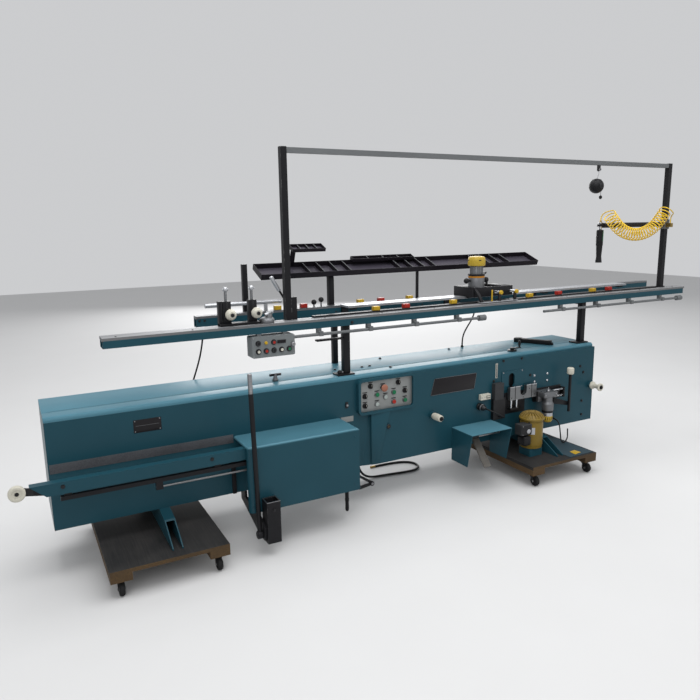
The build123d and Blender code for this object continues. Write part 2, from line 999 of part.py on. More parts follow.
# Box cover: folded hood with a soft corner, open to the left for the extension
box_left = cab_left + box_in
box_right = box_left + box_length
box_front = cab_front - box_depth
box_bottom = cab_floor - box_drop
box_top = cab_floor + box_rise
with BuildPart() as box_cover:
    with BuildSketch(Plane.XY.offset(box_bottom)) as box_plan:
        with Locations(((box_left + box_right) / 2, (box_front + cab_front) / 2)):
            Rectangle(box_length, box_depth)
        fillet(box_plan.vertices().group_by(Axis.Y)[0].sort_by(Axis.X)[0], radius=box_corner)
    extrude(amount=box_top - box_bottom)
    rim_edges = box_cover.edges().group_by(Axis.Z)[-1].sort_by(Axis.Y)[:-1]
    fillet(rim_edges, radius=box_bend)
    box_back_face = box_cover.faces().filter_by(Axis.Y).sort_by(Axis.Y)[-1]
    box_bottom_face = box_cover.faces().filter_by(Axis.Z).sort_by(Axis.Z)[0]
    offset(amount=-sheet, openings=[box_back_face, box_bottom_face])
    block(
        (box_left - sheet, box_left + box_corner),
        (box_front + box_corner, cab_front + sheet),
        (box_bottom - sheet, box_top - box_bend),
        mode=Mode.SUBTRACT,
    )
finish(box_cover, "box_cover")

# Lever frame: hanger plate, receiver tube, cross bar, slide guides and the air cylinder
lever_x = cab_left + lever_in
lever_y = cab_front - lever_reach
lever_z = cab_floor - lever_pivot_drop
hanger_left = lever_x + lever_boss_length / 2 + slide_gap
hanger_right = hanger_left + hanger_thickness
bar_back = cab_front - slide_bar_front + slide_bar_width
bar_front = cab_front - slide_bar_front
bar_mid = (bar_front + bar_back) / 2
bar_bottom = cab_floor + slide_bar_bottom
bar_top = bar_bottom + slide_bar_tall
rod_z = bar_bottom - rod_below_bar
barrel_diameter = piston_diameter + 2 * slide_gap + 2 * barrel_wall
barrel_left = box_left + barrel_inset
rod_end = barrel_left + barrel_cap + slide_gap
barrel_inside = piston_length + extension_travel + 2 * rest_gap + slide_gap
barrel_right = barrel_left + 2 * barrel_cap + barrel_inside
cross_bar_right = box_right + cross_bar_past_box
cross_bar_y = cab_front - cross_bar_reach
cross_bar_z = cab_floor - cross_bar_drop
receiver_x = hanger_right + receiver_size / 2
receiver_y = box_front - receiver_standoff - receiver_size / 2
with BuildPart() as lever_frame:
    with BuildSketch(Plane.YZ.offset(hanger_left)):
        with BuildLine():
            Polyline(
                (cab_front, cab_floor),
                (cab_front + hanger_back, cab_floor),
                (cab_front + hanger_back, cab_floor - hanger_neck),
                (cab_front - box_depth, cab_floor - hanger_drop),
                (cab_front - hanger_reach, cab_floor - hanger_drop),
                (cab_front - hanger_reach, cab_floor - lever_pivot_drop + lever_boss_diameter),
                (box_front, cab_floor - hanger_neck),
                (cab_front, box_bottom - rest_gap),
                close=True,
            )
        make_face()
    extrude(amount=hanger_thickness)
    rod(
        (hanger_left, lever_y, lever_z),
        (lever_x - lever_boss_length / 2, lever_y, lever_z),
        lever_pin_diameter,
    )
    receiver_span = (cab_floor - receiver_drop, cab_floor + receiver_rise)
    square_tube(receiver_x, receiver_y, receiver_span, receiver_size, receiver_wall)
    block(
        (hanger_right, cross_bar_right),
        (cross_bar_y - cross_bar_width / 2, cross_bar_y + cross_bar_width / 2),
        (cross_bar_z, cross_bar_z + cross_bar_tall),
    )
    with Locations((cross_bar_right, cross_bar_y, cross_bar_z + cross_bar_tall / 2)):
        Sphere(cross_knob_diameter / 2)
    hang_x = box_right - hang_bolt_diameter
    hang_low = cab_floor - hang_rod_drop
    rod((hang_x, cross_bar_y, cross_bar_z), (hang_x, cross_bar_y, hang_low), hang_rod_diameter)
    bolt_top = hang_low + hang_rod_diameter
    rod((hang_x, cross_bar_y, bolt_top), (hang_x, cross_bar_y, hang_low), hang_bolt_diameter)
    for step in (0, 1):
        guide_left = box_left + guide_inset + step * guide_spacing
        block(
            (guide_left, guide_left + guide_length),
            (bar_front - slide_gap - guide_lip, cab_front),
            (bar_bottom - slide_gap - guide_floor, bar_bottom + guide_side),
        )
        block(
            (guide_left - slide_gap, guide_left + guide_length + slide_gap),
            (bar_front - slide_gap, bar_back + slide_gap),
            (bar_bottom - slide_gap, bar_top),
            mode=Mode.SUBTRACT,
        )
    rod((barrel_left, bar_mid, rod_z), (barrel_right, bar_mid, rod_z), barrel_diameter)
    rod(
        (barrel_left + barrel_cap, bar_mid, rod_z),
        (barrel_right - barrel_cap, bar_mid, rod_z),
        piston_diameter + 2 * slide_gap,
        mode=Mode.SUBTRACT,
    )
    rod(
        (barrel_left - slide_gap, bar_mid, rod_z),
        (barrel_left + barrel_cap + slide_gap, bar_mid, rod_z),
        rod_diameter + 2 * running_gap,
        mode=Mode.SUBTRACT,
    )
finish(lever_frame, "lever_frame")

# Tall hand lever on the hanger's pin
with BuildPart() as tall_lever:
    lever_top = cab_floor + lever_rise
    boss_half = lever_boss_length / 2
    rod((lever_x - boss_half, lever_y, lever_z), (lever_x + boss_half, lever_y, lever_z), lever_boss_diameter)
    lever_axis = Vector(-lever_lean, 0, lever_top - lever_z)
    lever_head = (lever_x - lever_lean, lever_y, lever_top)
    rod((lever_x, lever_y, lever_z), lever_head, lever_diameter)
    grip_start = Vector(*lever_head) - lever_axis.normalized() * lever_grip_length
    rod(tuple(grip_start), lever_head, lever_grip_diameter)
    rod(
        (lever_x - lever_boss_length, lever_y, lever_z),
        (lever_x + lever_boss_length, lever_y, lever_z),
        lever_pin_diameter + 2 * running_gap,
        mode=Mode.SUBTRACT,
    )
finish(tall_lever, "tall_lever")

# Extension rail: channel with a slanted left end, running into the box cover
ext_front = cab_front - rail_ext_front
ext_back = ext_front + rail_ext_depth
ext_bottom = cab_floor + rail_ext_bottom
ext_top = ext_bottom + rail_ext_tall
ext_left = cab_left - rail_ext_reach
ext_right = box_left + rail_ext_inside
with BuildPart() as extension_rail:
    with BuildSketch(Plane.XZ.offset(-ext_back)):
        with BuildLine():
            Polyline(
                (ext_left, ext_top),
                (ext_right, ext_top),
                (ext_right, ext_bottom),
                (ext_left + rail_ext_cut, ext_bottom),
                close=True,
            )
        make_face()
    extrude(amount=rail_ext_depth)
    block(
        (ext_left - rail_ext_wall, ext_right + rail_ext_wall),
        (ext_front + rail_ext_wall, ext_back + rail_ext_wall),
        (ext_bottom + rail_ext_wall, ext_top - rail_ext_wall),
        mode=Mode.SUBTRACT,
    )
finish(extension_rail, "extension_rail")

# Slide bar with its links, the roller arm, the clevis and the cylinder's chrome rod with its piston
end_roller_x = cab_left - end_roller_reach
end_roller_z = cab_floor + end_roller_height
arm_front = ext_front + rail_ext_wall
arm_low = ext_bottom + rail_ext_wall + slide_gap
arm_high = ext_top - rail_ext_wall - slide_gap
with BuildPart() as slide_bar:
    bar_left = cab_left + slide_bar_start
    block((bar_left, ext_right), (bar_front, bar_back), (bar_bottom, bar_top))
    for link_in in (first_link_in, second_link_in):
        link_x = cab_left + link_in
        block(
            (link_x - link_width / 2, link_x + link_width / 2),
            (bar_mid - link_depth / 2, bar_mid + link_depth / 2),
            (bar_top, ext_bottom),
        )
    with BuildSketch(Plane.XZ.offset(-arm_front - arm_thickness)):
        with BuildLine():
            Polyline(
                (end_roller_x, end_roller_z - arm_tall / 2),
                (ext_left + rail_ext_cut, arm_low),
                (ext_left + rail_ext_cut + arm_overlap, arm_low),
                (ext_left + rail_ext_cut + arm_overlap, arm_high),
                (ext_left - slide_gap, arm_high),
                (end_roller_x, end_roller_z + arm_tall / 2),
                close=True,
            )
        make_face()
    extrude(amount=arm_thickness)
    rod(
        (end_roller_x, arm_front + arm_thickness, end_roller_z),
        (end_roller_x, arm_front, end_roller_z),
        arm_tall,
    )
    rod(
        (end_roller_x, arm_front, end_roller_z),
        (end_roller_x, arm_front - slide_gap - end_roller_width - slide_gap, end_roller_z),
        end_roller_pin,
    )
    clevis_left = cab_left + clevis_in
    block(
        (clevis_left, clevis_left + clevis_length),
        (bar_front, bar_back),
        (rod_z - rod_diameter, bar_bottom),
    )
    rod((clevis_left, bar_mid, rod_z), (rod_end, bar_mid, rod_z), rod_diameter)
    rod((rod_end, bar_mid, rod_z), (rod_end + piston_length, bar_mid, rod_z), piston_diameter)
finish(slide_bar, "slide_bar")

with BuildPart() as end_roller:
    turned(
        (end_roller_x, arm_front - slide_gap, end_roller_z),
        (0, -1, 0),
        (
            (end_roller_pin / 2 + running_gap, 0),
            (end_roller_diameter / 2 - end_roller_round, 0),
            (end_roller_diameter / 2, end_roller_round),
            (end_roller_diameter / 2, end_roller_width - end_roller_round),
            (end_roller_diameter / 2 - end_roller_round, end_roller_width),
            (end_roller_pin / 2 + running_gap, end_roller_width),
        ),
    )
finish(end_roller, "end_roller")

# Pedal hood: three-sided folded cover with its pivot rod
hood_x = cab_right - hood_in
hood_left = hood_x - hood_width / 2
hood_right = hood_x + hood_width / 2
hood_front = panel_front - hood_reach
pedal_y = panel_front - pedal_pivot_reach
pedal_z = cab_floor + pedal_pivot_height
with BuildPart() as pedal_hood:
    with BuildSketch(Plane.YZ.offset(hood_left)):
        with BuildLine():
            Polyline(
                (panel_front, cab_floor + hood_rise),
                (hood_front, cab_floor + hood_rise),
                (hood_front + hood_taper, cab_floor - hood_drop),
                (panel_front, cab_floor - hood_drop),
                close=True,
            )
        make_face()
    extrude(amount=hood_width)
    hood_faces = pedal_hood.faces().filter_by(Axis.X, reverse=True).sort_by(Axis.Z)[:-1]
    offset(amount=-sheet, openings=hood_faces)
    rod((hood_left, pedal_y, pedal_z), (hood_right, pedal_y, pedal_z), pedal_pin_diameter)
finish(pedal_hood, "pedal_hood")

# Foot strap hung from the pivot rod
with BuildPart() as pedal:
    pedal_x = hood_left + pedal_from_side
    pedal_half = pedal_width / 2
    hub_end = (pedal_x + pedal_half, pedal_y, pedal_z)
    rod((pedal_x - pedal_half, pedal_y, pedal_z), hub_end, pedal_hub_diameter)
    strap_down = (0, -sin(radians(pedal_slope)), -cos(radians(pedal_slope)))
    with BuildSketch(Plane(origin=(pedal_x, pedal_y, pedal_z), x_dir=(1, 0, 0), z_dir=strap_down)):
        Rectangle(pedal_width, pedal_thickness)
    extrude(amount=pedal_length)
    rod(
        (pedal_x - pedal_width, pedal_y, pedal_z),
        (pedal_x + pedal_width, pedal_y, pedal_z),
        pedal_pin_diameter + 2 * running_gap,
        mode=Mode.SUBTRACT,
    )
finish(pedal, "pedal")

# Boring motor: finned dome over a round body, with its junction and capacitor boxes
motor_x = cab_right - motor_in
motor_y = cab_front - motor_reach
motor_bottom = deck_top + motor_foot_height
motor_shoulder = motor_bottom + motor_body
motor_radius = motor_diameter / 2
dome_rim = motor_radius + motor_lip
dome_radius = (dome_rim ** 2 + motor_dome ** 2) / (2 * motor_dome)
dome_half_angle = asin(dome_rim / dome_radius) / 2
dome_waist = (
    dome_radius * sin(dome_half_angle),
    motor_body + motor_dome - dome_radius * (1 - cos(dome_half_angle)),
)
with BuildPart() as boring_motor:
    with BuildSketch(Plane(origin=(motor_x, motor_y, motor_bottom), x_dir=(1, 0, 0), z_dir=(0, -1, 0))):
        with BuildLine():
            Polyline(
                (0, motor_body + motor_dome),
                (0, 0),
                (motor_radius, 0),
                (motor_radius, motor_body - motor_lip_height),
                (dome_rim, motor_body - motor_lip_height),
                (dome_rim, motor_body),
            )
            ThreePointArc((dome_rim, motor_body), dome_waist, (0, motor_body + motor_dome))
        make_face()
    revolve(axis=Axis((motor_x, motor_y, motor_bottom), (0, 0, 1)))
    with BuildSketch(Plane.XY.offset(motor_shoulder + motor_dome)):
        with Locations((motor_x, motor_y)):
            slot_middle = (motor_slot_inner + motor_slot_outer) / 2
            with PolarLocations(slot_middle, motor_slots):
                SlotOverall(motor_slot_outer - motor_slot_inner, motor_slot_width)
    extrude(amount=-motor_dome, mode=Mode.SUBTRACT)
    junction_z = motor_bottom + junction_height
    junction_left = motor_x - motor_radius - junction_reach
    block(
        (junction_left, junction_left + junction_width),
        (motor_y - junction_depth, motor_y),
        (junction_z, junction_z + junction_tall),
    )
    capacitor_z = motor_bottom + capacitor_height
    capacitor_left = motor_x - motor_radius - capacitor_reach
    block(
        (capacitor_left, capacitor_left + capacitor_width),
        (motor_y - capacitor_front, motor_y - capacitor_front + capacitor_depth),
        (capacitor_z, capacitor_z + capacitor_tall),
    )
finish(boring_motor, "boring_motor")

# Boring base: motor foot, saddle rods in their bracket, side blocks and the latch slide's rods
saddle_x = cab_right - saddle_in
saddle_back = panel_front - slot_plate_thickness - saddle_standoff
saddle_front = saddle_back - saddle_depth
saddle_y = (saddle_front + saddle_back) / 2
saddle_low = cab_floor + saddle_bottom
saddle_high = saddle_low + saddle_tall
rod_bracket_top = saddle_low - saddle_drop - rest_gap
rod_bracket_bottom = rod_bracket_top - rod_bracket_tall
rod_left = saddle_x + saddle_rod_shift - saddle_rod_spacing / 2
rod_right = saddle_x + saddle_rod_shift + saddle_rod_spacing / 2
latch_x = cab_right - latch_in
latch_rod_y = panel_front - latch_rod_stand
latch_low_z = cab_floor + latch_rod_low
latch_high_z = latch_low_z + latch_rod_spacing
latch_left = latch_x - latch_slider_width / 2 - latch_left_travel - rest_gap
latch_right = latch_x + latch_slider_width / 2 + latch_right_travel + rest_gap
with BuildPart() as boring_base:
    half_foot = motor_foot_width / 2
    block(
        (motor_x - half_foot, motor_x + half_foot),
        (motor_y - half_foot, motor_y + half_foot),
        (deck_top, motor_bottom),
    )
    fillet(boring_base.edges().filter_by(Axis.Z), radius=motor_foot_round)
    block(
        (rod_left - rod_bracket_margin, rod_right + rod_bracket_margin),
        (saddle_y - rod_bracket_margin, panel_front),
        (rod_bracket_bottom, rod_bracket_top),
    )
    for rod_x in (rod_left, rod_right):
        rod((rod_x, saddle_y, rod_bracket_bottom), (rod_x, saddle_y, saddle_high), saddle_rod_diameter)
    grey_x = cab_right - grey_block_in
    grey_z = cab_floor + grey_block_height
    block(
        (grey_x - grey_block_width / 2, grey_x + grey_block_width / 2),
        (panel_front - grey_block_proud, panel_front),
        (grey_z - grey_block_tall / 2, grey_z + grey_block_tall / 2),
    )
    plate_x = cab_right - black_plate_in
    plate_z = cab_floor + black_plate_height
    block(
        (plate_x - black_plate_width / 2, plate_x + black_plate_width / 2),
        (panel_front - black_plate_proud, panel_front),
        (plate_z - black_plate_tall / 2, plate_z + black_plate_tall / 2),
    )
    for bracket_left in (latch_left - latch_bracket, latch_right):
        block(
            (bracket_left, bracket_left + latch_bracket),
            (latch_rod_y - latch_bracket_margin, panel_front),
            (latch_low_z - latch_bracket_margin, latch_high_z + latch_bracket_margin),
        )
    for rod_level in (latch_low_z, latch_high_z):
        rod((latch_left, latch_rod_y, rod_level), (latch_right, latch_rod_y, rod_level), latch_rod_diameter)
finish(boring_base, "boring_base")

# U saddle that rides up and down the two chrome rods
with BuildPart() as saddle:
    with BuildSketch(Plane.XZ.offset(-saddle_back)):
        with Locations((saddle_x, (saddle_low + saddle_high) / 2)):
            Rectangle(saddle_width, saddle_tall)
        notch_bottom = saddle_high - saddle_notch_depth + saddle_notch / 2
        with Locations((saddle_x, notch_bottom)):
            Circle(saddle_notch / 2, mode=Mode.SUBTRACT)
        with Locations((saddle_x, notch_bottom)):
            Rectangle(saddle_notch, saddle_tall, align=(Align.CENTER, Align.MIN), mode=Mode.SUBTRACT)
    extrude(amount=saddle_depth)
    for groove_side in (-1, 1):
        groove_x = saddle_x + groove_side * (saddle_width + saddle_notch) / 4
        block(
            (groove_x - saddle_groove / 2, groove_x + saddle_groove / 2),
            (saddle_front - saddle_groove, saddle_front + saddle_groove),
            (saddle_low - saddle_groove, saddle_high + saddle_groove),
            mode=Mode.SUBTRACT,
        )
    for rod_x in (rod_left, rod_right):
        rod(
            (rod_x, saddle_y, saddle_low - rest_gap),
            (rod_x, saddle_y, saddle_high + rest_gap),
            saddle_rod_diameter + 2 * running_gap,
            mode=Mode.SUBTRACT,
        )
finish(saddle, "saddle")

# Latch router: slider on the two rods, head plate, hanging router and the lever handle
latch_head_back = latch_rod_y - latch_slider_depth / 2
latch_router_y = latch_head_back - latch_head_depth / 2
latch_head_top = latch_high_z + latch_rod_diameter
latch_head_bottom = latch_head_top - latch_head_tall
with BuildPart() as latch_router:
    slider_half = latch_slider_width / 2
    block(
        (latch_x - slider_half, latch_x + slider_half),
        (latch_head_back, latch_rod_y + latch_slider_depth / 2),
        (latch_low_z - latch_rod_diameter, latch_head_top),
    )
    with BuildSketch(Plane.XY.offset(latch_head_bottom)):
        with Locations((latch_x, latch_router_y)):
            Rectangle(latch_slider_width, latch_head_depth)
    extrude(amount=latch_head_tall)
    body_low = latch_head_bottom - latch_body_tall
    cap_low = body_low - latch_cap_tall
    collet_top = latch_head_top + latch_collet_tall
    turned(
        (latch_x, latch_router_y, cap_low),
        (0, 0, 1),
        (
            (0, 0),
            (latch_cap_nose_diameter / 2, 0),
            (latch_cap_diameter / 2, latch_cap_nose_tall),
            (latch_cap_diameter / 2, latch_cap_tall - latch_ring),
            (latch_body_diameter / 2, latch_cap_tall),
            (latch_body_diameter / 2, latch_cap_tall + latch_body_wide_tall),
            (latch_body_diameter / 2 - latch_ring, latch_cap_tall + latch_body_neck_start),
            (latch_body_diameter / 2 - latch_ring, latch_cap_tall + latch_body_tall),
            (0, latch_cap_tall + latch_body_tall),
        ),
    )
    collet_end = (latch_x, latch_router_y, collet_top)
    rod((latch_x, latch_router_y, latch_head_top), collet_end, latch_collet_diameter)
    rod(
        collet_end,
        (latch_x, latch_router_y, collet_top + latch_bit_tall),
        latch_bit_diameter,
    )
    knob_z = (latch_head_bottom + latch_head_top) / 2
    knob_start = latch_x + slider_half
    knob_mid = knob_start + latch_knob_length / 2
    knob_end = knob_start + latch_knob_length
    rod((knob_start, latch_router_y, knob_z), (knob_mid, latch_router_y, knob_z), latch_knob_diameter / 2)
    rod((knob_mid, latch_router_y, knob_z), (knob_end, latch_router_y, knob_z), latch_knob_diameter)
    handle_mid = latch_x + handle_offset
    arm_foot = cab_floor + handle_arm_height
    arm_back = latch_head_back - latch_bracket_margin
    arm_start = latch_x + slider_half - latch_ring
    arm_end_low = arm_foot - handle_arm_drop
    with BuildSketch(Plane.XZ.offset(-arm_back)):
        with BuildLine():
            Polyline(
                (arm_start, arm_foot),
                (handle_mid, arm_end_low),
                (handle_mid, arm_end_low + handle_arm_end_tall),
                (arm_start, arm_foot + handle_arm_tall),
                close=True,
            )
        make_face()
    extrude(amount=handle_arm_thickness)
    block(
        (arm_start - latch_ring, arm_start + latch_ring),
        (arm_back - handle_arm_thickness, latch_head_back),
        (arm_foot, latch_head_bottom),
    )
    block(
        (handle_mid - handle_size / 2, handle_mid + handle_size / 2),
        (arm_back - handle_arm_thickness - handle_size, arm_back - handle_arm_thickness),
        (cab_floor + handle_low, cab_floor + handle_high),
    )
    handle_y = arm_back - handle_arm_thickness - handle_size / 2
    handle_top = cab_floor + handle_high
    cap_end = (handle_mid, handle_y, handle_top + handle_cap_tall)
    rod((handle_mid, handle_y, handle_top), cap_end, handle_cap_diameter)
    for rod_level in (latch_low_z, latch_high_z):
        rod(
            (latch_x - latch_slider_width, latch_rod_y, rod_level),
            (latch_x + latch_slider_width, latch_rod_y, rod_level),
            latch_rod_diameter + 2 * running_gap,
            mode=Mode.SUBTRACT,
        )
finish(latch_router, "latch_router")

# Station posts on the cabinet top, under the two rails
front_rail_bottom = cab_top + post_rise
front_rail_top = front_rail_bottom + front_rail_tall
front_rail_y = cab_front + front_rail_back + front_rail_depth / 2
rear_rail_bottom = front_rail_bottom + rear_rail_rise
rear_rail_top = rear_rail_bottom + rear_rail_tall
rear_rail_front = cab_front + rear_rail_back
rear_rail_rear = rear_rail_front + rear_rail_depth
rear_post_y = cab_back - post_size / 2 - sheet
with BuildPart() as station_posts:
    for post_x, post_y, post_top in (
        (cab_left + left_post_in, front_rail_y, front_rail_bottom),
        (cab_left + left_rear_post_in, rear_post_y, rear_rail_bottom),
        (cab_right - right_post_in, front_rail_y, front_rail_bottom),
        (cab_right - right_post_in, rear_post_y, rear_rail_bottom),
    ):
        square_tube(post_x, post_y, (cab_top, post_top), post_size, post_wall)
    for post_x in (cab_left + left_post_in, cab_right - right_post_in):
        block(
            (post_x - post_flange_wide / 2, post_x + post_flange_wide / 2),
            (front_rail_y - post_flange_wide / 2, front_rail_y - post_flange_wide / 2 + post_flange_long),
            (cab_top, cab_top + post_flange_height),
        )
finish(station_posts, "station_posts")


def rail_tube(x_span, y_span, z_span):
    """Add a rectangular tube along X, open at both ends."""
    with BuildSketch(Plane.YZ.offset(x_span[0])) as section:
        with Locations((sum(y_span) / 2, sum(z_span) / 2)):
            wide = y_span[1] - y_span[0]
            tall = z_span[1] - z_span[0]
            Rectangle(wide, tall)
            Rectangle(wide - 2 * rail_tube_wall, tall - 2 * rail_tube_wall, mode=Mode.SUBTRACT)
    extrude(section.sketch, amount=x_span[1] - x_span[0])


# Front and rear rails
rail_left = cab_left + front_rail_start
rail_right = cab_right + front_rail_reach
rail_front = cab_front + front_rail_back
rear_left = cab_left + rear_rail_start
with BuildPart() as front_rail:
    rail_tube(
        (rail_left, rail_right),
        (rail_front, rail_front + front_rail_depth),
        (front_rail_bottom, front_rail_top),
    )
finish(front_rail, "front_rail")

with BuildPart() as rear_rail:
    rail_tube((rear_left, rail_right), (rear_rail_front, rear_rail_rear), (rear_rail_bottom, rear_rail_top))
finish(rear_rail, "rear_rail")

# Aluminium tracks: rail caps, stop bar, guide rail on its brackets and the fence tube
cap_top = front_rail_top + cap_tall
cap_back = rail_front + cap_depth
cap_right = cab_right + cap_reach
stop_bar_top = cap_top + stop_bar_tall
rear_cap_top = rear_rail_top + cap_tall
guide_bottom = rear_rail_top + guide_rise
guide_top = guide_bottom + guide_tall
guide_front = cab_front + guide_back
guide_rear = guide_front + guide_depth
guide_left_end = cab_left + guide_start
guide_right_end = cab_right + guide_reach
tray_post_front = rear_rail_rear
fence_y = tray_post_front - fence_diameter / 2
fence_z = rear_cap_top + fence_rise
with BuildPart() as rail_tracks:
    block((rail_left, cap_right), (rail_front, cap_back), (front_rail_top, cap_top))
    cap_nose = rail_tracks.edges().filter_by(Axis.Z).group_by(Axis.X)[-1]
    fillet(cap_nose, radius=cap_nose_round)
    block(
        (cab_left + stop_bar_start, cab_right + stop_bar_reach),
        (cap_back - stop_bar_depth, cap_back),
        (cap_top, stop_bar_top),
    )
    block((rear_left, rail_right), (rear_rail_front, rear_rail_rear), (rear_rail_top, rear_cap_top))
    block((guide_left_end, guide_right_end), (guide_front, guide_rear), (guide_bottom, guide_top))
    bracket_step = (guide_right_end - guide_left_end - 2 * guide_bracket_width) / (guide_brackets - 1)
    for number in range(guide_brackets):
        bracket_x = guide_left_end + guide_bracket_width + number * bracket_step
        bracket_span = (bracket_x - guide_bracket_width / 2, bracket_x + guide_bracket_width / 2)
        block(
            bracket_span,
            (guide_front + carriage_overhang, rear_rail_front),
            (guide_bottom - guide_bracket_wall, guide_bottom),
        )
        block(
            bracket_span,
            (rear_rail_front - guide_bracket_wall, rear_rail_front),
            (rear_rail_bottom, guide_bottom),
        )
    fence_left = cab_left + fence_start
    fence_right = fence_left + fence_length
    for foot_x in (fence_left + fence_foot_in, fence_right - fence_foot_in):
        block(
            (foot_x - fence_foot_width / 2, foot_x + fence_foot_width / 2),
            (fence_y - fence_foot_width / 2, fence_y + fence_foot_width / 2),
            (rear_cap_top, fence_z),
        )
    rod((fence_left, fence_y, fence_z), (fence_right, fence_y, fence_z), fence_diameter)
finish(rail_tracks, "rail_tracks")


def stop_blocks(front_spots, rear_spots, name):
    """Build the stop blocks of one colour on the stop bar and on the rear rail's cap."""
    with BuildPart() as stops:
        for spots, y, z in (
            (front_spots, cap_back - stop_bar_depth / 2, stop_bar_top),
            (rear_spots, (rear_rail_front + rear_rail_rear) / 2, rear_cap_top),
        ):
            for spot in spots:
                stop_x = cab_left + spot
                block(
                    (stop_x - stop_width / 2, stop_x + stop_width / 2),
                    (y - stop_depth / 2, y + stop_depth / 2),
                    (z, z + stop_height),
                )
        chamfer(stops.faces().filter_by(Axis.Z).edges().filter_by(Axis.X), length=stop_chamfer)
    finish(stops, name)


stop_blocks(front_yellow_spots, rear_yellow_spots, "yellow_stops")
stop_blocks(front_red_spots, rear_red_spots, "red_stops")

# Overhead frame: two posts on the front rail, the cam stand and the tool arm
overhead_left_x = cab_left + overhead_left_in
overhead_right_x = cab_right + overhead_right_out
overhead_y = cab_front + overhead_back
overhead_top = cap_top + overhead_rise
cam_x = cab_left + cam_lever_in
cam_z = cap_top + cam_lever_rise
cam_stand_left = overhead_left_x + overhead_size / 2
arm_z = cap_top + arm_rise
arm_left = overhead_right_x - overhead_size / 2 - arm_length
tool_x = arm_left - tool_ring_diameter / 2
fitting_z = cap_top + fitting_rise
with BuildPart() as overhead_posts:
    for post_x in (overhead_left_x, overhead_right_x):
        square_tube(post_x, overhead_y, (cap_top, overhead_top), overhead_size, overhead_wall)
    with BuildSketch(Plane.XY.offset(cap_top)):
        with Locations((overhead_right_x, overhead_y - overhead_size / 2)):
            Rectangle(overhead_flange, overhead_size, align=(Align.CENTER, Align.MIN))
            Rectangle(overhead_size, overhead_size, align=(Align.CENTER, Align.MIN), mode=Mode.SUBTRACT)
    extrude(amount=overhead_flange_height)
    block(
        (cam_stand_left, cam_stand_left + cam_stand_width),
        (overhead_y - overhead_size / 2, overhead_y + overhead_size / 2),
        (cap_top, cap_top + cam_stand_tall),
    )
    cam_back = overhead_y + overhead_size / 2
    rod((cam_x, cam_back, cam_z), (cam_x, cam_back + slide_gap + cam_hub_length, cam_z), cam_pin_diameter)
    rod((arm_left, overhead_y, arm_z), (arm_left + arm_length, overhead_y, arm_z), arm_diameter)
    collar_half = overhead_size / 2 + arm_clamp_wall
    with BuildSketch(Plane.XY.offset(arm_z - arm_clamp_tall / 2)):
        with Locations((overhead_right_x, overhead_y)):
            Rectangle(2 * collar_half, 2 * collar_half)
            Rectangle(overhead_size, overhead_size, mode=Mode.SUBTRACT)
    extrude(amount=arm_clamp_tall)
    with BuildSketch(Plane.XY.offset(arm_z - tool_ring_tall / 2)):
        with Locations((tool_x, overhead_y)):
            Circle(tool_ring_diameter / 2)
        with Locations((tool_x, overhead_y)):
            Rectangle(tool_ring_diameter, tool_ring_tall, align=(Align.MIN, Align.CENTER))
        with Locations((tool_x, overhead_y)):
            Circle(tool_neck_diameter / 2 + slide_gap, mode=Mode.SUBTRACT)
    extrude(amount=tool_ring_tall)
    fitting_back = overhead_y - collar_half
    block(
        (overhead_right_x - fitting_size / 2, overhead_right_x + fitting_size / 2),
        (fitting_back - fitting_reach, fitting_back),
        (fitting_z, fitting_z + fitting_tall),
    )
finish(overhead_posts, "overhead_posts")

# Overhead C-track between the posts, slotted below for the trolley
track_left = overhead_left_x + overhead_size / 2
track_right = overhead_right_x - overhead_size / 2
track_z = overhead_top - track_top_drop - track_size / 2
with BuildPart() as overhead_bar:
    with BuildSketch(Plane.YZ.offset(track_left)):
        with Locations((overhead_y, track_z)):
            Rectangle(track_size, track_size)
            Rectangle(track_size - 2 * track_wall, track_size - 2 * track_wall, mode=Mode.SUBTRACT)
        with Locations((overhead_y, track_z - track_size / 2)):
            Rectangle(track_slot, 2 * track_wall + slide_gap, mode=Mode.SUBTRACT)
    extrude(amount=track_right - track_left)
finish(overhead_bar, "overhead_bar")

# Trolley: runner inside the track with an eye below it
trolley_x = cab_left + trolley_in
inside_floor = track_z - track_size / 2 + track_wall
eye_z = track_z - track_size / 2 - trolley_neck_drop - trolley_eye_outer / 2
runner_width = track_size - 2 * track_wall - 2 * slide_gap
with BuildPart() as trolley:
    block(
        (trolley_x - trolley_length / 2, trolley_x + trolley_length / 2),
        (overhead_y - runner_width / 2, overhead_y + runner_width / 2),
        (inside_floor + slide_gap, inside_floor + slide_gap + trolley_plate_tall),
    )
    block(
        (trolley_x - trolley_eye_outer / 2, trolley_x + trolley_eye_outer / 2),
        (overhead_y - trolley_neck / 2, overhead_y + trolley_neck / 2),
        (eye_z, inside_floor + trolley_plate_tall),
    )
    rod(
        (trolley_x, overhead_y - trolley_neck / 2, eye_z),
        (trolley_x, overhead_y + trolley_neck / 2, eye_z),
        trolley_eye_outer,
    )
    pin_front = overhead_y - trolley_neck / 2 - slide_gap - balancer_hub_width
    rod((trolley_x, overhead_y, eye_z), (trolley_x, pin_front, eye_z), trolley_pin_diameter)
finish(trolley, "trolley")

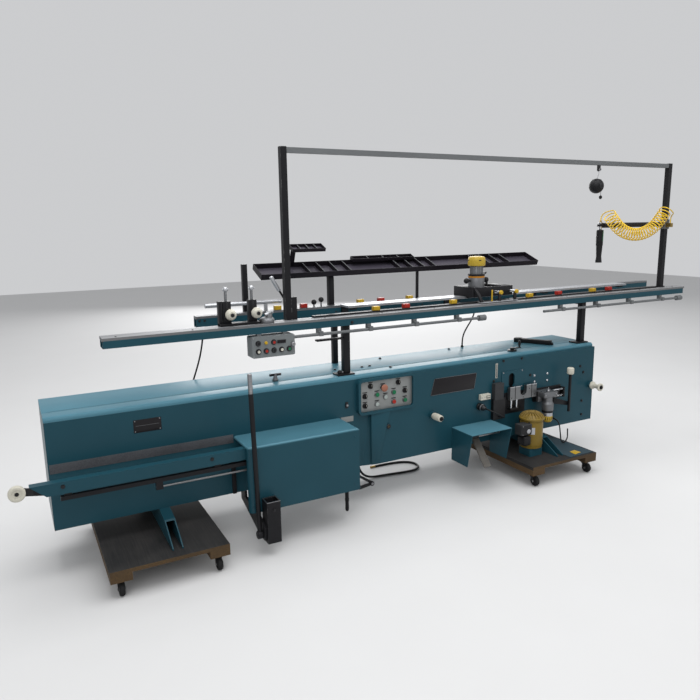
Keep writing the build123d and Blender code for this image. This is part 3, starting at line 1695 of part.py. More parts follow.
# Tool balancer hung from the trolley's pin, with its neck, drum and end ball
with BuildPart() as balancer:
    hub_back = overhead_y - trolley_neck / 2 - slide_gap
    hub_y = hub_back - balancer_hub_width / 2
    drum_z = eye_z - balancer_drop
    hub_front = hub_back - balancer_hub_width
    rod((trolley_x, hub_back, eye_z), (trolley_x, hub_front, eye_z), balancer_hub_diameter)
    drum_x = trolley_x + balancer_shift
    rod((trolley_x, hub_y, eye_z), (drum_x, hub_y, drum_z), balancer_rod_diameter)
    with Locations((drum_x, hub_y, drum_z)):
        Sphere(balancer_diameter / 2)
    neck_top = drum_z + balancer_diameter / 2 - balancer_rod_diameter
    rod((drum_x, hub_y, drum_z), (drum_x, hub_y, neck_top), balancer_neck_diameter)
    ball_x = drum_x + balancer_diameter / 2 - balancer_rod_diameter / 2
    ball_z = eye_z - balancer_ball_drop
    rod((ball_x, hub_y, drum_z), (ball_x, hub_y, ball_z), balancer_rod_diameter / 2)
    with Locations((ball_x, hub_y, ball_z)):
        Sphere(balancer_ball_diameter / 2)
    rod(
        (trolley_x, hub_back + slide_gap, eye_z),
        (trolley_x, hub_back - balancer_hub_width - slide_gap, eye_z),
        trolley_pin_diameter + 2 * running_gap,
        mode=Mode.SUBTRACT,
    )
finish(balancer, "balancer")

# Air tool hung by its neck in the arm's ring
ring_top = arm_z + tool_ring_tall / 2
tool_top = ring_top + tool_collar_tall + tool_inlet_tall
with BuildPart() as air_tool:
    body_top = tool_neck_tall + tool_collar_tall + tool_inlet_tall
    taper_top = body_top + tool_body_tall
    bell_top = taper_top + tool_taper_tall
    turned(
        (tool_x, overhead_y, tool_top),
        (0, 0, -1),
        (
            (0, 0),
            (tool_inlet_diameter / 2, 0),
            (tool_inlet_diameter / 2, tool_inlet_tall),
            (tool_collar_diameter / 2, tool_inlet_tall),
            (tool_collar_diameter / 2, tool_inlet_tall + tool_collar_tall),
            (tool_neck_diameter / 2, tool_inlet_tall + tool_collar_tall),
            (tool_neck_diameter / 2, body_top),
            (tool_body_diameter / 2, body_top),
            (tool_body_diameter / 2, taper_top),
            (tool_taper_diameter / 2, bell_top),
            (tool_bell_diameter / 2, bell_top + tool_bell_tall),
            (0, bell_top + tool_bell_tall),
        ),
    )
finish(air_tool, "air_tool")

# Coil hose: an unbroken tube wound on a sagging arc between the tool and the post's fitting
coil_radius = (coil_outer - hose_diameter) / 2
coil_y = overhead_y - overhead_size / 2 - arm_clamp_wall - coil_front_gap - coil_outer / 2
coil_left = Vector(tool_x + coil_left_past_tool, coil_y, tool_top + coil_left_rise)
coil_right = Vector(overhead_right_x - coil_right_short, coil_y, arm_z + coil_right_rise)
coil_chord = coil_right - coil_left
coil_dip = coil_chord.length / 2
coil_arc_radius = (coil_dip ** 2 + coil_sag ** 2) / (2 * coil_sag)
coil_up = Vector(0, -1, 0).cross(coil_chord).normalized()
coil_arc_centre = (coil_left + coil_right) / 2 + coil_up * (coil_arc_radius - coil_sag)
coil_along = coil_chord.normalized()
coil_half_angle = asin(coil_dip / coil_arc_radius)
coil_phase = 2 * pi * coil_turns + pi / 2


def coil_point(phase):
    """Give the hose's centre at a winding phase, on the arc's turning section."""
    swing = coil_half_angle * (2 * phase / coil_phase - 1)
    outward = coil_along * sin(swing) - coil_up * cos(swing)
    inward = outward * -1
    across = (coil_along * cos(swing) + coil_up * sin(swing)).cross(inward)
    wind = inward * cos(phase) + across * sin(phase)
    return coil_arc_centre + outward * coil_arc_radius + wind * coil_radius


def coil_tangent(phase):
    """Give the hose's direction at a winding phase."""
    small = 0.001
    return (coil_point(phase + small) - coil_point(phase - small)).normalized()


def biarc(start, start_dir, end, end_dir):
    """Add two tangent arcs that leave and arrive in the given directions."""
    span = end - start
    both = start_dir + end_dir
    spread = 2 * (1 - start_dir.dot(end_dir))
    lean = span.dot(both)
    reach = (sqrt(lean ** 2 + spread * span.dot(span)) - lean) / spread
    first_corner = start + start_dir * reach
    second_corner = end - end_dir * reach
    middle = (first_corner + second_corner) / 2
    TangentArc(start, middle, tangent=start_dir)
    TangentArc(middle, end, tangent=(second_corner - first_corner).normalized())


fitting_middle_y = fitting_back - fitting_reach + fitting_size / 2
with BuildPart() as coil_hose:
    hose_start = Vector(tool_x, overhead_y, tool_top)
    hose_end = Vector(overhead_right_x, fitting_middle_y, fitting_z + fitting_tall)
    up = Vector(0, 0, 1)
    down = Vector(0, 0, -1)
    phases = [pi * step for step in range(2 * coil_turns + 1)] + [coil_phase]
    knots = [(hose_start + up * hose_diameter, up)]
    knots += [(coil_point(phase), coil_tangent(phase)) for phase in phases]
    knots += [(hose_end + up * hose_diameter, down)]
    with BuildLine() as hose_route:
        Line(hose_start, hose_start + up * hose_diameter)
        for (start, start_dir), (end, end_dir) in zip(knots, knots[1:]):
            biarc(start, start_dir, end, end_dir)
        Line(hose_end + up * hose_diameter, hose_end)
    hose_path = hose_route.wires()[0]
    with BuildSketch(Plane(origin=hose_start, z_dir=up)):
        Circle(hose_diameter / 2)
    sweep(path=hose_path)
    samples_per_turn = 24
    samples = [coil_point(2 * pi * step / samples_per_turn) for step in range(samples_per_turn * coil_turns)]
    nearest = min(
        (samples[i] - samples[j]).length
        for i in range(len(samples))
        for j in range(i + samples_per_turn // 2, min(i + 2 * samples_per_turn, len(samples)))
    )
    print("coil hose least gap", round(nearest - hose_diameter, 2), "length", round(hose_path.length),
          "section volume", round(hose_path.length * pi * hose_diameter ** 2 / 4),
          "volume", round(coil_hose.part.volume))
finish(coil_hose, "coil_hose")

# Divided parts tray, tilted to the operator, on two posts behind the rear rail, with two small trays above
tray_left = cab_left + tray_start
tray_front_y = cab_front + tray_front_back
tray_front_z = rear_cap_top + tray_front_rise
tilt = radians(tray_tilt)
tray_plane = Plane(
    origin=(tray_left, tray_front_y, tray_front_z),
    x_dir=(1, 0, 0),
    z_dir=(0, -sin(tilt), cos(tilt)),
)


def shallow_tray(corner, length, width, tall):
    """Add an open tray whose near left corner lies at a spot of the tilted plane."""
    with BuildSketch(tray_plane.offset(corner[2])) as outline:
        with Locations((corner[0], corner[1])):
            Rectangle(length, width, align=(Align.MIN, Align.MIN))
    extrude(outline.sketch, amount=tall)
    with BuildSketch(tray_plane.offset(corner[2] + tray_sheet)) as hollow:
        with Locations((corner[0] + tray_sheet, corner[1] + tray_sheet)):
            Rectangle(length - 2 * tray_sheet, width - 2 * tray_sheet, align=(Align.MIN, Align.MIN))
    extrude(hollow.sketch, amount=tall, mode=Mode.SUBTRACT)


def tray_divider(x, corner_y, width, floor, tall):
    """Add one upright divider across a tray."""
    with BuildSketch(tray_plane.offset(floor)) as rib:
        with Locations((x, corner_y)):
            Rectangle(tray_sheet, width, align=(Align.CENTER, Align.MIN))
    extrude(rib.sketch, amount=tall)


with BuildPart() as parts_tray:
    for post_in in (tray_first_post, tray_second_post):
        post_x = cab_left + post_in
        block(
            (post_x - tray_post_size / 2, post_x + tray_post_size / 2),
            (tray_post_front, tray_post_front + tray_post_size),
            (rear_rail_bottom, tray_front_z + tray_width),
        )
    split(bisect_by=tray_plane.offset(tray_sheet / 2), keep=Keep.BOTTOM)
    shallow_tray((0, 0, 0), tray_length, tray_width, tray_wall_tall)
    for group in range(divider_groups):
        for number in range(dividers_in_group):
            divider_x = divider_first + group * divider_group_step + number * divider_pitch
            tray_divider(divider_x, 0, tray_width, tray_sheet / 2, tray_wall_tall - tray_sheet)
    rim_back = tray_width + second_small_overhang - second_small_width
    rim_lift = tray_wall_tall - tray_sheet
    for small_in, small_length, small_wide, small_back, small_lift in (
        (first_small_in, first_small_length, small_tray_width, small_tray_back, small_tray_lift),
        (second_small_in, second_small_length, second_small_width, rim_back, rim_lift),
    ):
        small_x = small_in - tray_start
        shallow_tray((small_x, small_back, small_lift), small_length, small_wide, small_tray_tall)
        small_pitch = small_length / (small_tray_dividers + 1)
        for number in range(1, small_tray_dividers + 1):
            tray_divider(
                small_x + number * small_pitch,
                small_back,
                small_wide,
                small_lift + tray_sheet / 2,
                small_tray_tall - tray_sheet,
            )
    with BuildSketch(tray_plane):
        with Locations((first_small_in - tray_start, tray_width)):
            Rectangle(small_tray_strap, tray_sheet, align=(Align.MIN, Align.MAX))
    extrude(amount=small_tray_lift + tray_sheet)
    post_x = cab_left + stop_post_in
    block(
        (post_x - stop_post_size / 2, post_x + stop_post_size / 2),
        (tray_post_front, tray_post_front + stop_post_size),
        (rear_rail_bottom, rear_rail_bottom + stop_post_tall),
    )
finish(parts_tray, "parts_tray")

# Lower control box under the front rail, with the two conduit runs and their clips
lower_left = cab_left + lower_box_in
lower_right = lower_left + lower_box_width
lower_front = rail_front - lower_box_forward
lower_top = front_rail_bottom - lower_box_drop
lower_bottom = lower_top - lower_box_tall
conduit_y = cab_front + conduit_back
conduit_z = front_rail_bottom - conduit_drop
with BuildPart() as control_box:
    block((lower_left, lower_right), (lower_front, lower_front + lower_box_depth), (lower_bottom, lower_top))
    fillet(control_box.edges().filter_by(Axis.Y), radius=lower_box_corner)
    strap_half = clip_width / 2
    for strap_x in (lower_left + 2 * clip_width, lower_right - 2 * clip_width):
        block(
            (strap_x - strap_half, strap_x + strap_half),
            (rail_front, rail_front + clip_width),
            (lower_top, front_rail_bottom),
        )
    lower_mid_x = (lower_left + lower_right) / 2
    lower_mid_z = (lower_bottom + lower_top) / 2
    with BuildSketch(Plane.XZ.offset(-lower_front)):
        with Locations((lower_mid_x, lower_mid_z - lower_button_pitch / 2)):
            with GridLocations(lower_button_pitch, lower_button_pitch, lower_button_columns, 1):
                Circle(lower_button_diameter / 2)
        with Locations((lower_mid_x - lower_button_pitch, lower_mid_z + lower_button_pitch / 2)):
            with GridLocations(2 * lower_button_pitch, lower_button_pitch, 2, 1):
                Circle(lower_button_diameter / 2)
    extrude(amount=lower_button_height)
    with BuildSketch(Plane.XZ.offset(-lower_front)):
        with Locations((lower_mid_x + lower_button_pitch, lower_mid_z + lower_button_pitch / 2)):
            Rectangle(lower_display_width, lower_display_tall)
    extrude(amount=lower_display_height)
    for start_x, end_x in (
        (lower_right, cab_left + conduit_left_end),
        (cab_left + conduit_right_start, cab_left + conduit_right_end),
    ):
        rod((start_x, conduit_y, conduit_z), (end_x, conduit_y, conduit_z), conduit_diameter)
        fitting_start = end_x - conduit_fitting_length
        rod((fitting_start, conduit_y, conduit_z), (end_x, conduit_y, conduit_z), conduit_fitting_diameter)
        clip_step = (fitting_start - start_x) / clips_on_run
        for number in range(clips_on_run):
            clip_x = start_x + clip_step / 2 + number * clip_step
            block(
                (clip_x - clip_width / 2, clip_x + clip_width / 2),
                (conduit_y - conduit_diameter, rail_front + clip_width),
                (conduit_z - conduit_diameter / 2, conduit_z + conduit_diameter),
            )
            block(
                (clip_x - clip_width / 2, clip_x + clip_width / 2),
                (rail_front, rail_front + clip_width),
                (conduit_z, front_rail_bottom),
            )
finish(control_box, "control_box")

# Clamp base on the front rail's cap: end plate, two roller brackets with pins and the cam block
clamp_left = cab_left + clamp_start
clamp_right = clamp_left + clamp_length
clamp_front = rail_front + clamp_set_back
clamp_back = clamp_front + clamp_depth
clamp_top = cap_top + clamp_thickness
bracket_front = clamp_back - clamp_bracket_depth
bracket_top = clamp_top + clamp_bracket_rise
clamp_roller_z = clamp_top + clamp_roller_rise
clamp_middle_y = (bracket_front + clamp_back) / 2
clamp_places = ((cab_left + first_clamp_in, "left"), (cab_left + second_clamp_in, "right"))
with BuildPart() as clamp_base:
    block((clamp_left, clamp_right), (clamp_front, clamp_back), (cap_top, clamp_top))
    block(
        (clamp_left, clamp_left + clamp_end_plate),
        (bracket_front, clamp_back),
        (cap_top, cap_top + clamp_end_rise),
    )
    for clamp_x, side in clamp_places:
        block(
            (clamp_x - clamp_bracket_width / 2, clamp_x + clamp_bracket_width / 2),
            (bracket_front, clamp_back),
            (clamp_top, bracket_top),
        )
        rod(
            (clamp_x, clamp_middle_y, bracket_top - clamp_screw_depth),
            (clamp_x, clamp_middle_y, bracket_top + rest_gap),
            clamp_screw_diameter + 2 * running_gap,
            mode=Mode.SUBTRACT,
        )
        pin_x = clamp_x + clamp_roller_shift
        rod(
            (pin_x, bracket_front, clamp_roller_z),
            (pin_x, bracket_front - slide_gap - clamp_roller_length, clamp_roller_z),
            clamp_pin_diameter,
        )
    with BuildSketch(Plane.XZ.offset(-clamp_back)):
        with BuildLine():
            Polyline(
                (clamp_right, cap_top),
                (clamp_right + cam_block_length, cap_top),
                (clamp_right + cam_block_length, cap_top + cam_block_tall),
                (clamp_right + cam_block_length / 2, cap_top + cam_block_tall),
                (clamp_right, cap_top + cam_block_tall / 2),
                close=True,
            )
        make_face()
    extrude(amount=cam_block_depth)
finish(clamp_base, "clamp_base")

# Egg-shaped clamp rollers and chrome clamp screws
for clamp_x, side in clamp_places:
    with BuildPart() as clamp_roller:
        turned(
            (clamp_x + clamp_roller_shift, bracket_front - slide_gap, clamp_roller_z),
            (0, -1, 0),
            (
                (clamp_pin_diameter / 2 + running_gap, 0),
                (clamp_roller_back / 2, 0),
                (clamp_roller_diameter / 2, clamp_roller_crown),
                (clamp_roller_shoulder_diameter / 2, clamp_roller_shoulder),
                (clamp_roller_nose / 2, clamp_roller_length),
                (clamp_pin_diameter / 2 + running_gap, clamp_roller_length),
            ),
        )
    finish(clamp_roller, f"clamp_roller_{side}")

    with BuildPart() as clamp_screw:
        screw_low = bracket_top - clamp_screw_depth + rest_gap
        head_z = bracket_top + clamp_screw_rise
        rod((clamp_x, clamp_middle_y, screw_low), (clamp_x, clamp_middle_y, head_z), clamp_screw_diameter)
        with Locations((clamp_x, clamp_middle_y, head_z)):
            Sphere(clamp_screw_head / 2)
        cross_half = clamp_cross_length / 2
        rod(
            (clamp_x - cross_half, clamp_middle_y, head_z),
            (clamp_x + cross_half, clamp_middle_y, head_z),
            clamp_cross_pin,
        )
    finish(clamp_screw, f"clamp_screw_{side}")

# Cam lever behind the left overhead post
with BuildPart() as cam_lever:
    hub_front = cam_back + slide_gap
    cam_y = hub_front + cam_hub_length / 2
    rod((cam_x, hub_front, cam_z), (cam_x, hub_front + cam_hub_length, cam_z), cam_hub_diameter)
    lean = radians(cam_lever_lean)
    cam_dir = Vector(-sin(lean), 0, cos(lean))
    cam_foot = Vector(cam_x, cam_y, cam_z)
    cam_end = cam_foot + cam_dir * cam_lever_length
    cam_grip = cam_end - cam_dir * cam_grip_length
    rod(tuple(cam_foot), tuple(cam_end), cam_lever_diameter)
    rod(tuple(cam_grip), tuple(cam_end), cam_grip_diameter)
    rod(
        (cam_x, hub_front - slide_gap, cam_z),
        (cam_x, hub_front + cam_hub_length + slide_gap, cam_z),
        cam_pin_diameter + 2 * running_gap,
        mode=Mode.SUBTRACT,
    )
finish(cam_lever, "cam_lever")

# Router carriage: saddle block on the guide rail, router base ring with knobs and two cross rods
carriage_x = cab_left + carriage_in
carriage_left = carriage_x - carriage_width / 2
carriage_right = carriage_x + carriage_width / 2
carriage_front_y = cab_front + carriage_front
carriage_rear_y = guide_rear + slide_gap + carriage_skirt_wall
carriage_bottom = guide_top + slide_gap
carriage_top = carriage_bottom + carriage_tall
router_x = cab_left + router_in
router_y = cab_front + router_back
base_top = carriage_top + router_base_tall
rod_level = carriage_bottom + cross_rod_rise
with BuildPart() as router_carriage:
    block(
        (carriage_left, carriage_right),
        (carriage_front_y, carriage_rear_y),
        (carriage_bottom, carriage_top),
    )
    fillet(router_carriage.edges().filter_by(Axis.Z), radius=carriage_corner)
    for skirt_front in (guide_front - slide_gap - carriage_skirt_wall, guide_rear + slide_gap):
        block(
            (carriage_left + carriage_corner, carriage_right - carriage_corner),
            (skirt_front, skirt_front + carriage_skirt_wall),
            (guide_top - carriage_skirt, carriage_bottom),
        )
    rod((router_x, router_y, carriage_top), (router_x, router_y, base_top), router_base_diameter)
    knob_z = (carriage_top + base_top) / 2
    knob_reach = router_base_diameter / 2 + router_handle_reach
    rod(
        (router_x - knob_reach, router_y, knob_z),
        (router_x + knob_reach, router_y, knob_z),
        router_handle_diameter / 2,
    )
    for knob_side in (-1, 1):
        with Locations((router_x + knob_side * knob_reach, router_y, knob_z)):
            Sphere(router_handle_diameter / 2)
    rod(
        (router_x, router_y, carriage_bottom - rest_gap),
        (router_x, router_y, base_top + rest_gap),
        router_motor_diameter + 2 * running_gap,
        mode=Mode.SUBTRACT,
    )
    for rod_in in (cross_rod_first, cross_rod_second):
        cross_x = cab_left + rod_in
        tip_start = (cross_x, cab_front + cross_rod_front, rod_level)
        tip_end = (cross_x, cab_front + cross_rod_front - cross_rod_tip_length, rod_level)
        rod(tip_start, (cross_x, cab_front + cross_rod_back, rod_level), cross_rod_diameter)
        rod(tip_start, tip_end, cross_rod_tip_diameter)
finish(router_carriage, "router_carriage")

# Hinge router motor, sliding in the base ring
with BuildPart() as hinge_router:
    motor_low = carriage_top - router_motor_seat
    motor_high = motor_low + router_motor_tall
    nose_low = motor_low - router_nose_tall
    rod((router_x, router_y, motor_low), (router_x, router_y, motor_high), router_motor_diameter)
    with BuildSketch(Plane.XY.offset(motor_high)):
        with Locations((router_x, router_y)):
            Circle(router_cap_diameter / 2)
    extrude(amount=router_cap_tall)
    fillet(hinge_router.edges().sort_by(Axis.Z)[-1], radius=router_cap_round)
    rod((router_x, router_y, motor_low), (router_x, router_y, nose_low), router_nose_diameter)
    rod((router_x, router_y, nose_low), (router_x, router_y, nose_low - router_bit_tall), router_bit_diameter)
finish(hinge_router, "hinge_router")

# Leads held between housings: rear rail to the cabinet's back and top, and the panel connector's lead
to_front = Vector(0, -1, 0)
to_back = Vector(0, 1, 0)
to_left = Vector(-1, 0, 0)


def gland(seat, direction):
    """Add a cable gland on a face and give the point where the cord leaves it."""
    outlet = seat + direction * gland_length
    rod(tuple(seat), tuple(outlet), gland_diameter)
    return outlet


connector_x = cab_right - connector_in
connector_z = cab_floor + connector_height
connector_tip = panel_front - connector_length
rear_rail_y = (rear_rail_front + rear_rail_rear) / 2
left_drop_x = rear_left + left_drop_in
middle_drop_x = cab_left + middle_drop_in
with BuildPart() as held_leads:
    left_start = gland(Vector(left_drop_x, rear_rail_y, rear_rail_bottom), down)
    left_seat = Vector(left_drop_x - left_drop_shift, cab_back, cab_floor + left_drop_height)
    left_end = gland(left_seat, to_back)
    left_route = [
        left_start,
        left_start + Vector(0, 0, -27),
        left_start + Vector(-3, 6, -72),
        left_start + Vector(-12, 30, -147),
        left_start + Vector(-30, 60, -231),
        left_end + Vector(26, 51, 70),
        left_end + Vector(12, 50, 29),
        left_end + Vector(5, 39, 11),
        left_end + Vector(0, 21, 0),
        left_end,
    ]
    cord(left_route, drop_diameter, "left drop")
    middle_start = gland(Vector(middle_drop_x, rear_rail_y, rear_rail_bottom), down)
    middle_seat = Vector(middle_drop_x - middle_drop_shift, rear_rail_y - middle_drop_forward, cab_top)
    middle_end = gland(middle_seat, up)
    middle_route = [
        middle_start,
        middle_start + Vector(0, 0, -25),
        middle_start + Vector(-8, -1, -65),
        middle_start + Vector(-33, -3, -104),
        middle_end + Vector(33, 3, 104),
        middle_end + Vector(8, 1, 65),
        middle_end + Vector(0, 0, 25),
        middle_end,
    ]
    cord(middle_route, drop_diameter, "middle drop")
    lead_start = Vector(connector_x, connector_tip, connector_z)
    rod((connector_x, panel_front, connector_z), tuple(lead_start), connector_diameter)
    lead_seat = Vector(plate_x, panel_front - black_plate_proud, connector_z - lead_plate_drop)
    lead_end = gland(lead_seat, to_front)
    lead_route = [
        lead_start,
        lead_start + Vector(0, -20, 0),
        lead_start + Vector(14, -44, -8),
        lead_start + Vector(48, -50, -26),
        lead_end + Vector(-47, -69, 26),
        lead_end + Vector(-14, -49, 8),
        lead_end + Vector(0, -20, 0),
        lead_end,
    ]
    cord(lead_route, lead_diameter, "connector lead")
finish(held_leads, "held_leads")

# Cable from the panel to the dolly's mat, with a free end
cable_x = latch_x + cable_past_latch
cable_rest = deck_top + mat_thickness + cable_diameter / 2 + slide_gap
with BuildPart() as deck_cable:
    cable_start = gland(Vector(cable_x, panel_front, cab_floor + cable_height), to_front)
    cable_touch = Vector(cable_x + cable_deck_out, cable_start.Y - cable_deck_forward, cable_rest)
    cable_route = [
        cable_start,
        cable_start + Vector(0, -22, 0),
        cable_start + Vector(0, -43, -12),
        cable_start + Vector(1, -55, -33),
        cable_start + Vector(3, -60, -69),
        cable_start + Vector(7, -61, -101),
        cable_touch + Vector(-31, -7, 29),
        cable_touch + Vector(-19, -4, 11),
        cable_touch,
        cable_touch + Vector(27, 8, 0),
        cable_touch + Vector(52, 21, 7),
        cable_touch + Vector(73, 36, 18),
        cable_touch + Vector(87, 50, 36),
        cable_touch + Vector(94, 58, 60),
    ]
    cord(cable_route, cable_diameter, "deck cable")
finish(deck_cable, "deck_cable")

# Hose that drops from the cabinet's underside and lies in a loop on the floor, with a coupling at its end
hose_x = cab_left + hose_in
hose_y = cab_back - hose_from_back
hose_rest = floor_hose_diameter / 2 + slide_gap
with BuildPart() as floor_hose:
    hose_outlet = gland(Vector(hose_x, hose_y, cab_floor), down)
    hose_touch = Vector(hose_x + hose_touch_out, hose_y, hose_rest)
    hose_tail = hose_touch + Vector(94, 146, 0)
    floor_route = [
        hose_outlet,
        hose_outlet + Vector(0, 0, -30),
        hose_outlet + Vector(2, 0, -80),
        hose_outlet + Vector(11, 0, -130),
        hose_touch + Vector(-82, 0, 37),
        hose_touch + Vector(-47, 0, 11),
        hose_touch,
        hose_touch + Vector(60, -6, 0),
        hose_touch + Vector(130, -16, 0),
        hose_touch + Vector(205, -28, 0),
        hose_touch + Vector(268, -32, 0),
        hose_touch + Vector(313, -15, 0),
        hose_touch + Vector(338, 22, 0),
        hose_touch + Vector(340, 67, 0),
        hose_touch + Vector(317, 105, 0),
        hose_touch + Vector(276, 128, 0),
        hose_touch + Vector(220, 140, 0),
        hose_touch + Vector(156, 145, 0),
        hose_tail,
    ]
    cord(floor_route, floor_hose_diameter, "floor hose")
    rod(tuple(hose_tail), tuple(hose_tail + to_left * coupling_length), coupling_diameter)
finish(floor_hose, "floor_hose")

# Dollies: a board deck on two battens under each foot, with a mat on the right one
with BuildPart() as dollies:
    for dolly_x in (left_deck_x, right_deck_x):
        block(
            (dolly_x - deck_width / 2, dolly_x + deck_width / 2),
            (deck_front, deck_back),
            (deck_bottom, deck_top),
        )
        for batten_side in (-1, 1):
            batten_x = dolly_x + batten_side * batten_offset
            block(
                (batten_x - batten_width / 2, batten_x + batten_width / 2),
                (deck_front, deck_back),
                (caster_height, deck_bottom),
            )
    mat_right = right_deck_x + deck_width / 2 - mat_edge
    block(
        (mat_right - mat_width, mat_right),
        (deck_front + mat_edge, deck_front + mat_edge + mat_depth),
        (deck_top, deck_top + mat_thickness),
    )
finish(dollies, "dollies")


def caster_mount(x, y):
    """Add a caster's top plate and kingpin."""
    half = caster_plate_size / 2
    plate_bottom = caster_height - caster_plate_thickness
    block((x - half, x + half), (y - half, y + half), (plate_bottom, caster_height))
    rod((x, y, plate_bottom), (x, y, fork_top - fork_crown_thickness), kingpin_diameter)


def caster_fork(x, y, axle_y):
    """Add a caster's fork: crown, two cheeks and the axle between them."""
    crown_bottom = fork_top - fork_crown_thickness
    rod((x, y, crown_bottom), (x, y, fork_top), 2 * fork_crown_radius)
    inner = wheel_width / 2 + slide_gap
    for cheek_x in (x - inner - fork_cheek, x + inner):
        with BuildSketch(Plane.YZ.offset(cheek_x)) as cheek:
            with BuildLine():
                Polyline(
                    (y - fork_crown_radius / 2, fork_top),
                    (y + fork_crown_radius / 2, fork_top),
                    (axle_y + fork_ear_radius, wheel_z),
                    (axle_y - fork_ear_radius, wheel_z),
                    close=True,
                )
            make_face()
            with Locations((axle_y, wheel_z)):
                Circle(fork_ear_radius)
        extrude(cheek.sketch, amount=fork_cheek)
    rod((x - inner, axle_y, wheel_z), (x + inner, axle_y, wheel_z), axle_diameter)
    rod((x, y, 0), (x, y, caster_height), kingpin_diameter + 2 * running_gap, mode=Mode.SUBTRACT)


def caster_wheel(x, axle_y):
    """Add a caster's wheel with rounded tread edges and its bore."""
    half = wheel_width / 2
    radius = wheel_diameter / 2
    turned(
        (x - half, axle_y, wheel_z),
        (1, 0, 0),
        (
            (axle_diameter / 2 + running_gap, 0),
            (radius - wheel_rounding, 0),
            (radius, wheel_rounding),
            (radius, wheel_width - wheel_rounding),
            (radius - wheel_rounding, wheel_width),
            (axle_diameter / 2 + running_gap, wheel_width),
        ),
    )


# Casters: six stand as fixed groups, the two at the right dolly's front swivel and roll
front_axle_y = front_caster_y - wheel_trail
rear_axle_y = rear_caster_y + wheel_trail
with BuildPart() as casters:
    for dolly_x in (left_deck_x, right_deck_x):
        for batten_side in (-1, 1):
            caster_x = dolly_x + batten_side * batten_offset
            caster_fork(caster_x, rear_caster_y, rear_axle_y)
            caster_wheel(caster_x, rear_axle_y)
            caster_mount(caster_x, rear_caster_y)
            if dolly_x == left_deck_x:
                caster_fork(caster_x, front_caster_y, front_axle_y)
                caster_wheel(caster_x, front_axle_y)
            caster_mount(caster_x, front_caster_y)
finish(casters, "casters")

for batten_side, side in ((-1, "left"), (1, "right")):
    caster_x = right_deck_x + batten_side * batten_offset
    with BuildPart() as fork:
        caster_fork(caster_x, front_caster_y, front_axle_y)
    finish(fork, f"caster_fork_{side}")
    with BuildPart() as wheel:
        caster_wheel(caster_x, front_axle_y)
    finish(wheel, f"caster_wheel_{side}")
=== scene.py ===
"""Looks of the door machining centre: finishes, small fittings, cords and studio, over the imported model."""
import logging
from dataclasses import dataclass
from enum import Enum
from itertools import product
from math import cos, pi, radians, sin
from typing import Optional, Sequence, Union

import bmesh
import bpy
from mathutils import Matrix, Vector


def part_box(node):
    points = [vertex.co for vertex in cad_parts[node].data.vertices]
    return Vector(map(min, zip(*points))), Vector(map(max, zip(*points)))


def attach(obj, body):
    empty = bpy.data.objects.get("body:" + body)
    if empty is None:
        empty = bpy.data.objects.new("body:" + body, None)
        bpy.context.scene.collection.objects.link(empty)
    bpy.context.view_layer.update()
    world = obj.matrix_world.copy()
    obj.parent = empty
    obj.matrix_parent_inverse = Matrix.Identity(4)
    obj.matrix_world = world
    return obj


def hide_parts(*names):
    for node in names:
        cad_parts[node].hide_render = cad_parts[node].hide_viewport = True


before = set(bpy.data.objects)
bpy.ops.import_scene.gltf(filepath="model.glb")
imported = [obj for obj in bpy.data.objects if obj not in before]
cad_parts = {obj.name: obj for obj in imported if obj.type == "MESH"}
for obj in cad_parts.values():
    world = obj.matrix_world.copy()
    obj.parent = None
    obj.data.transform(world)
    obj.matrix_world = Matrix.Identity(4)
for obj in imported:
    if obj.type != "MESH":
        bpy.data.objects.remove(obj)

LOG = logging.getLogger("door_machine")
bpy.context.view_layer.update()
MACHINE = "machine"
MM = 0.001
SHARP = radians(34)

# The span from which a zone has no limit and the distance under which points merge, in millimetres
OPEN = 9000.0
TOUCH = 0.002

# Planes that several sub-assemblies share, in millimetres
SHELL_Y = -85.0
PANEL_Y = -104.0
TOP_Z = 735.0
RAIL_Z = 1046.0

Triple = tuple[float, float, float]
Outline = Sequence[tuple[float, float]]

RIGHT = Vector((1.0, 0.0, 0.0))
BACK = Vector((0.0, 1.0, 0.0))
UP = Vector((0.0, 0.0, 1.0))
LEFT = -RIGHT
FRONT = -BACK
DOWN = -UP


class Wire:
    """A shader socket whose arithmetic adds Math nodes."""

    def __init__(self, graph: "Graph", socket: bpy.types.NodeSocket) -> None:
        """Hold a socket of a graph."""
        self.graph = graph
        self.socket = socket

    def _math(self, operation: str, first: "Value", second: "Value" = 0.0, clamp: bool = False) -> "Wire":
        """Add one Math node.

        Args:
            operation: The node's operation.
            first: Its first value or wire.
            second: Its second value or wire.
            clamp: Whether the result is kept between 0 and 1.

        Returns:
            The result's wire.
        """
        settings = {"operation": operation, "use_clamp": clamp}
        return self.graph.node("ShaderNodeMath", settings, {0: first, 1: second})

    def __add__(self, other: "Value") -> "Wire":
        """Add two values."""
        return self._math("ADD", self, other)

    def __sub__(self, other: "Value") -> "Wire":
        """Take a value away."""
        return self._math("SUBTRACT", self, other)

    def __rsub__(self, other: "Value") -> "Wire":
        """Take this from a number."""
        return self._math("SUBTRACT", other, self)

    def __mul__(self, other: "Value") -> "Wire":
        """Multiply two values."""
        return self._math("MULTIPLY", self, other)

    def size(self) -> "Wire":
        """Give the value without its sign."""
        return self._math("ABSOLUTE", self)

    def clamped(self) -> "Wire":
        """Keep the value between 0 and 1."""
        return self._math("ADD", self, 0.0, clamp=True)

    def step(self, soft: float) -> "Wire":
        """Give 0 well under zero and 1 well over it, with a soft step between."""
        return (self * (0.5 / soft) + 0.5).clamped()


Value = Union[Wire, float]


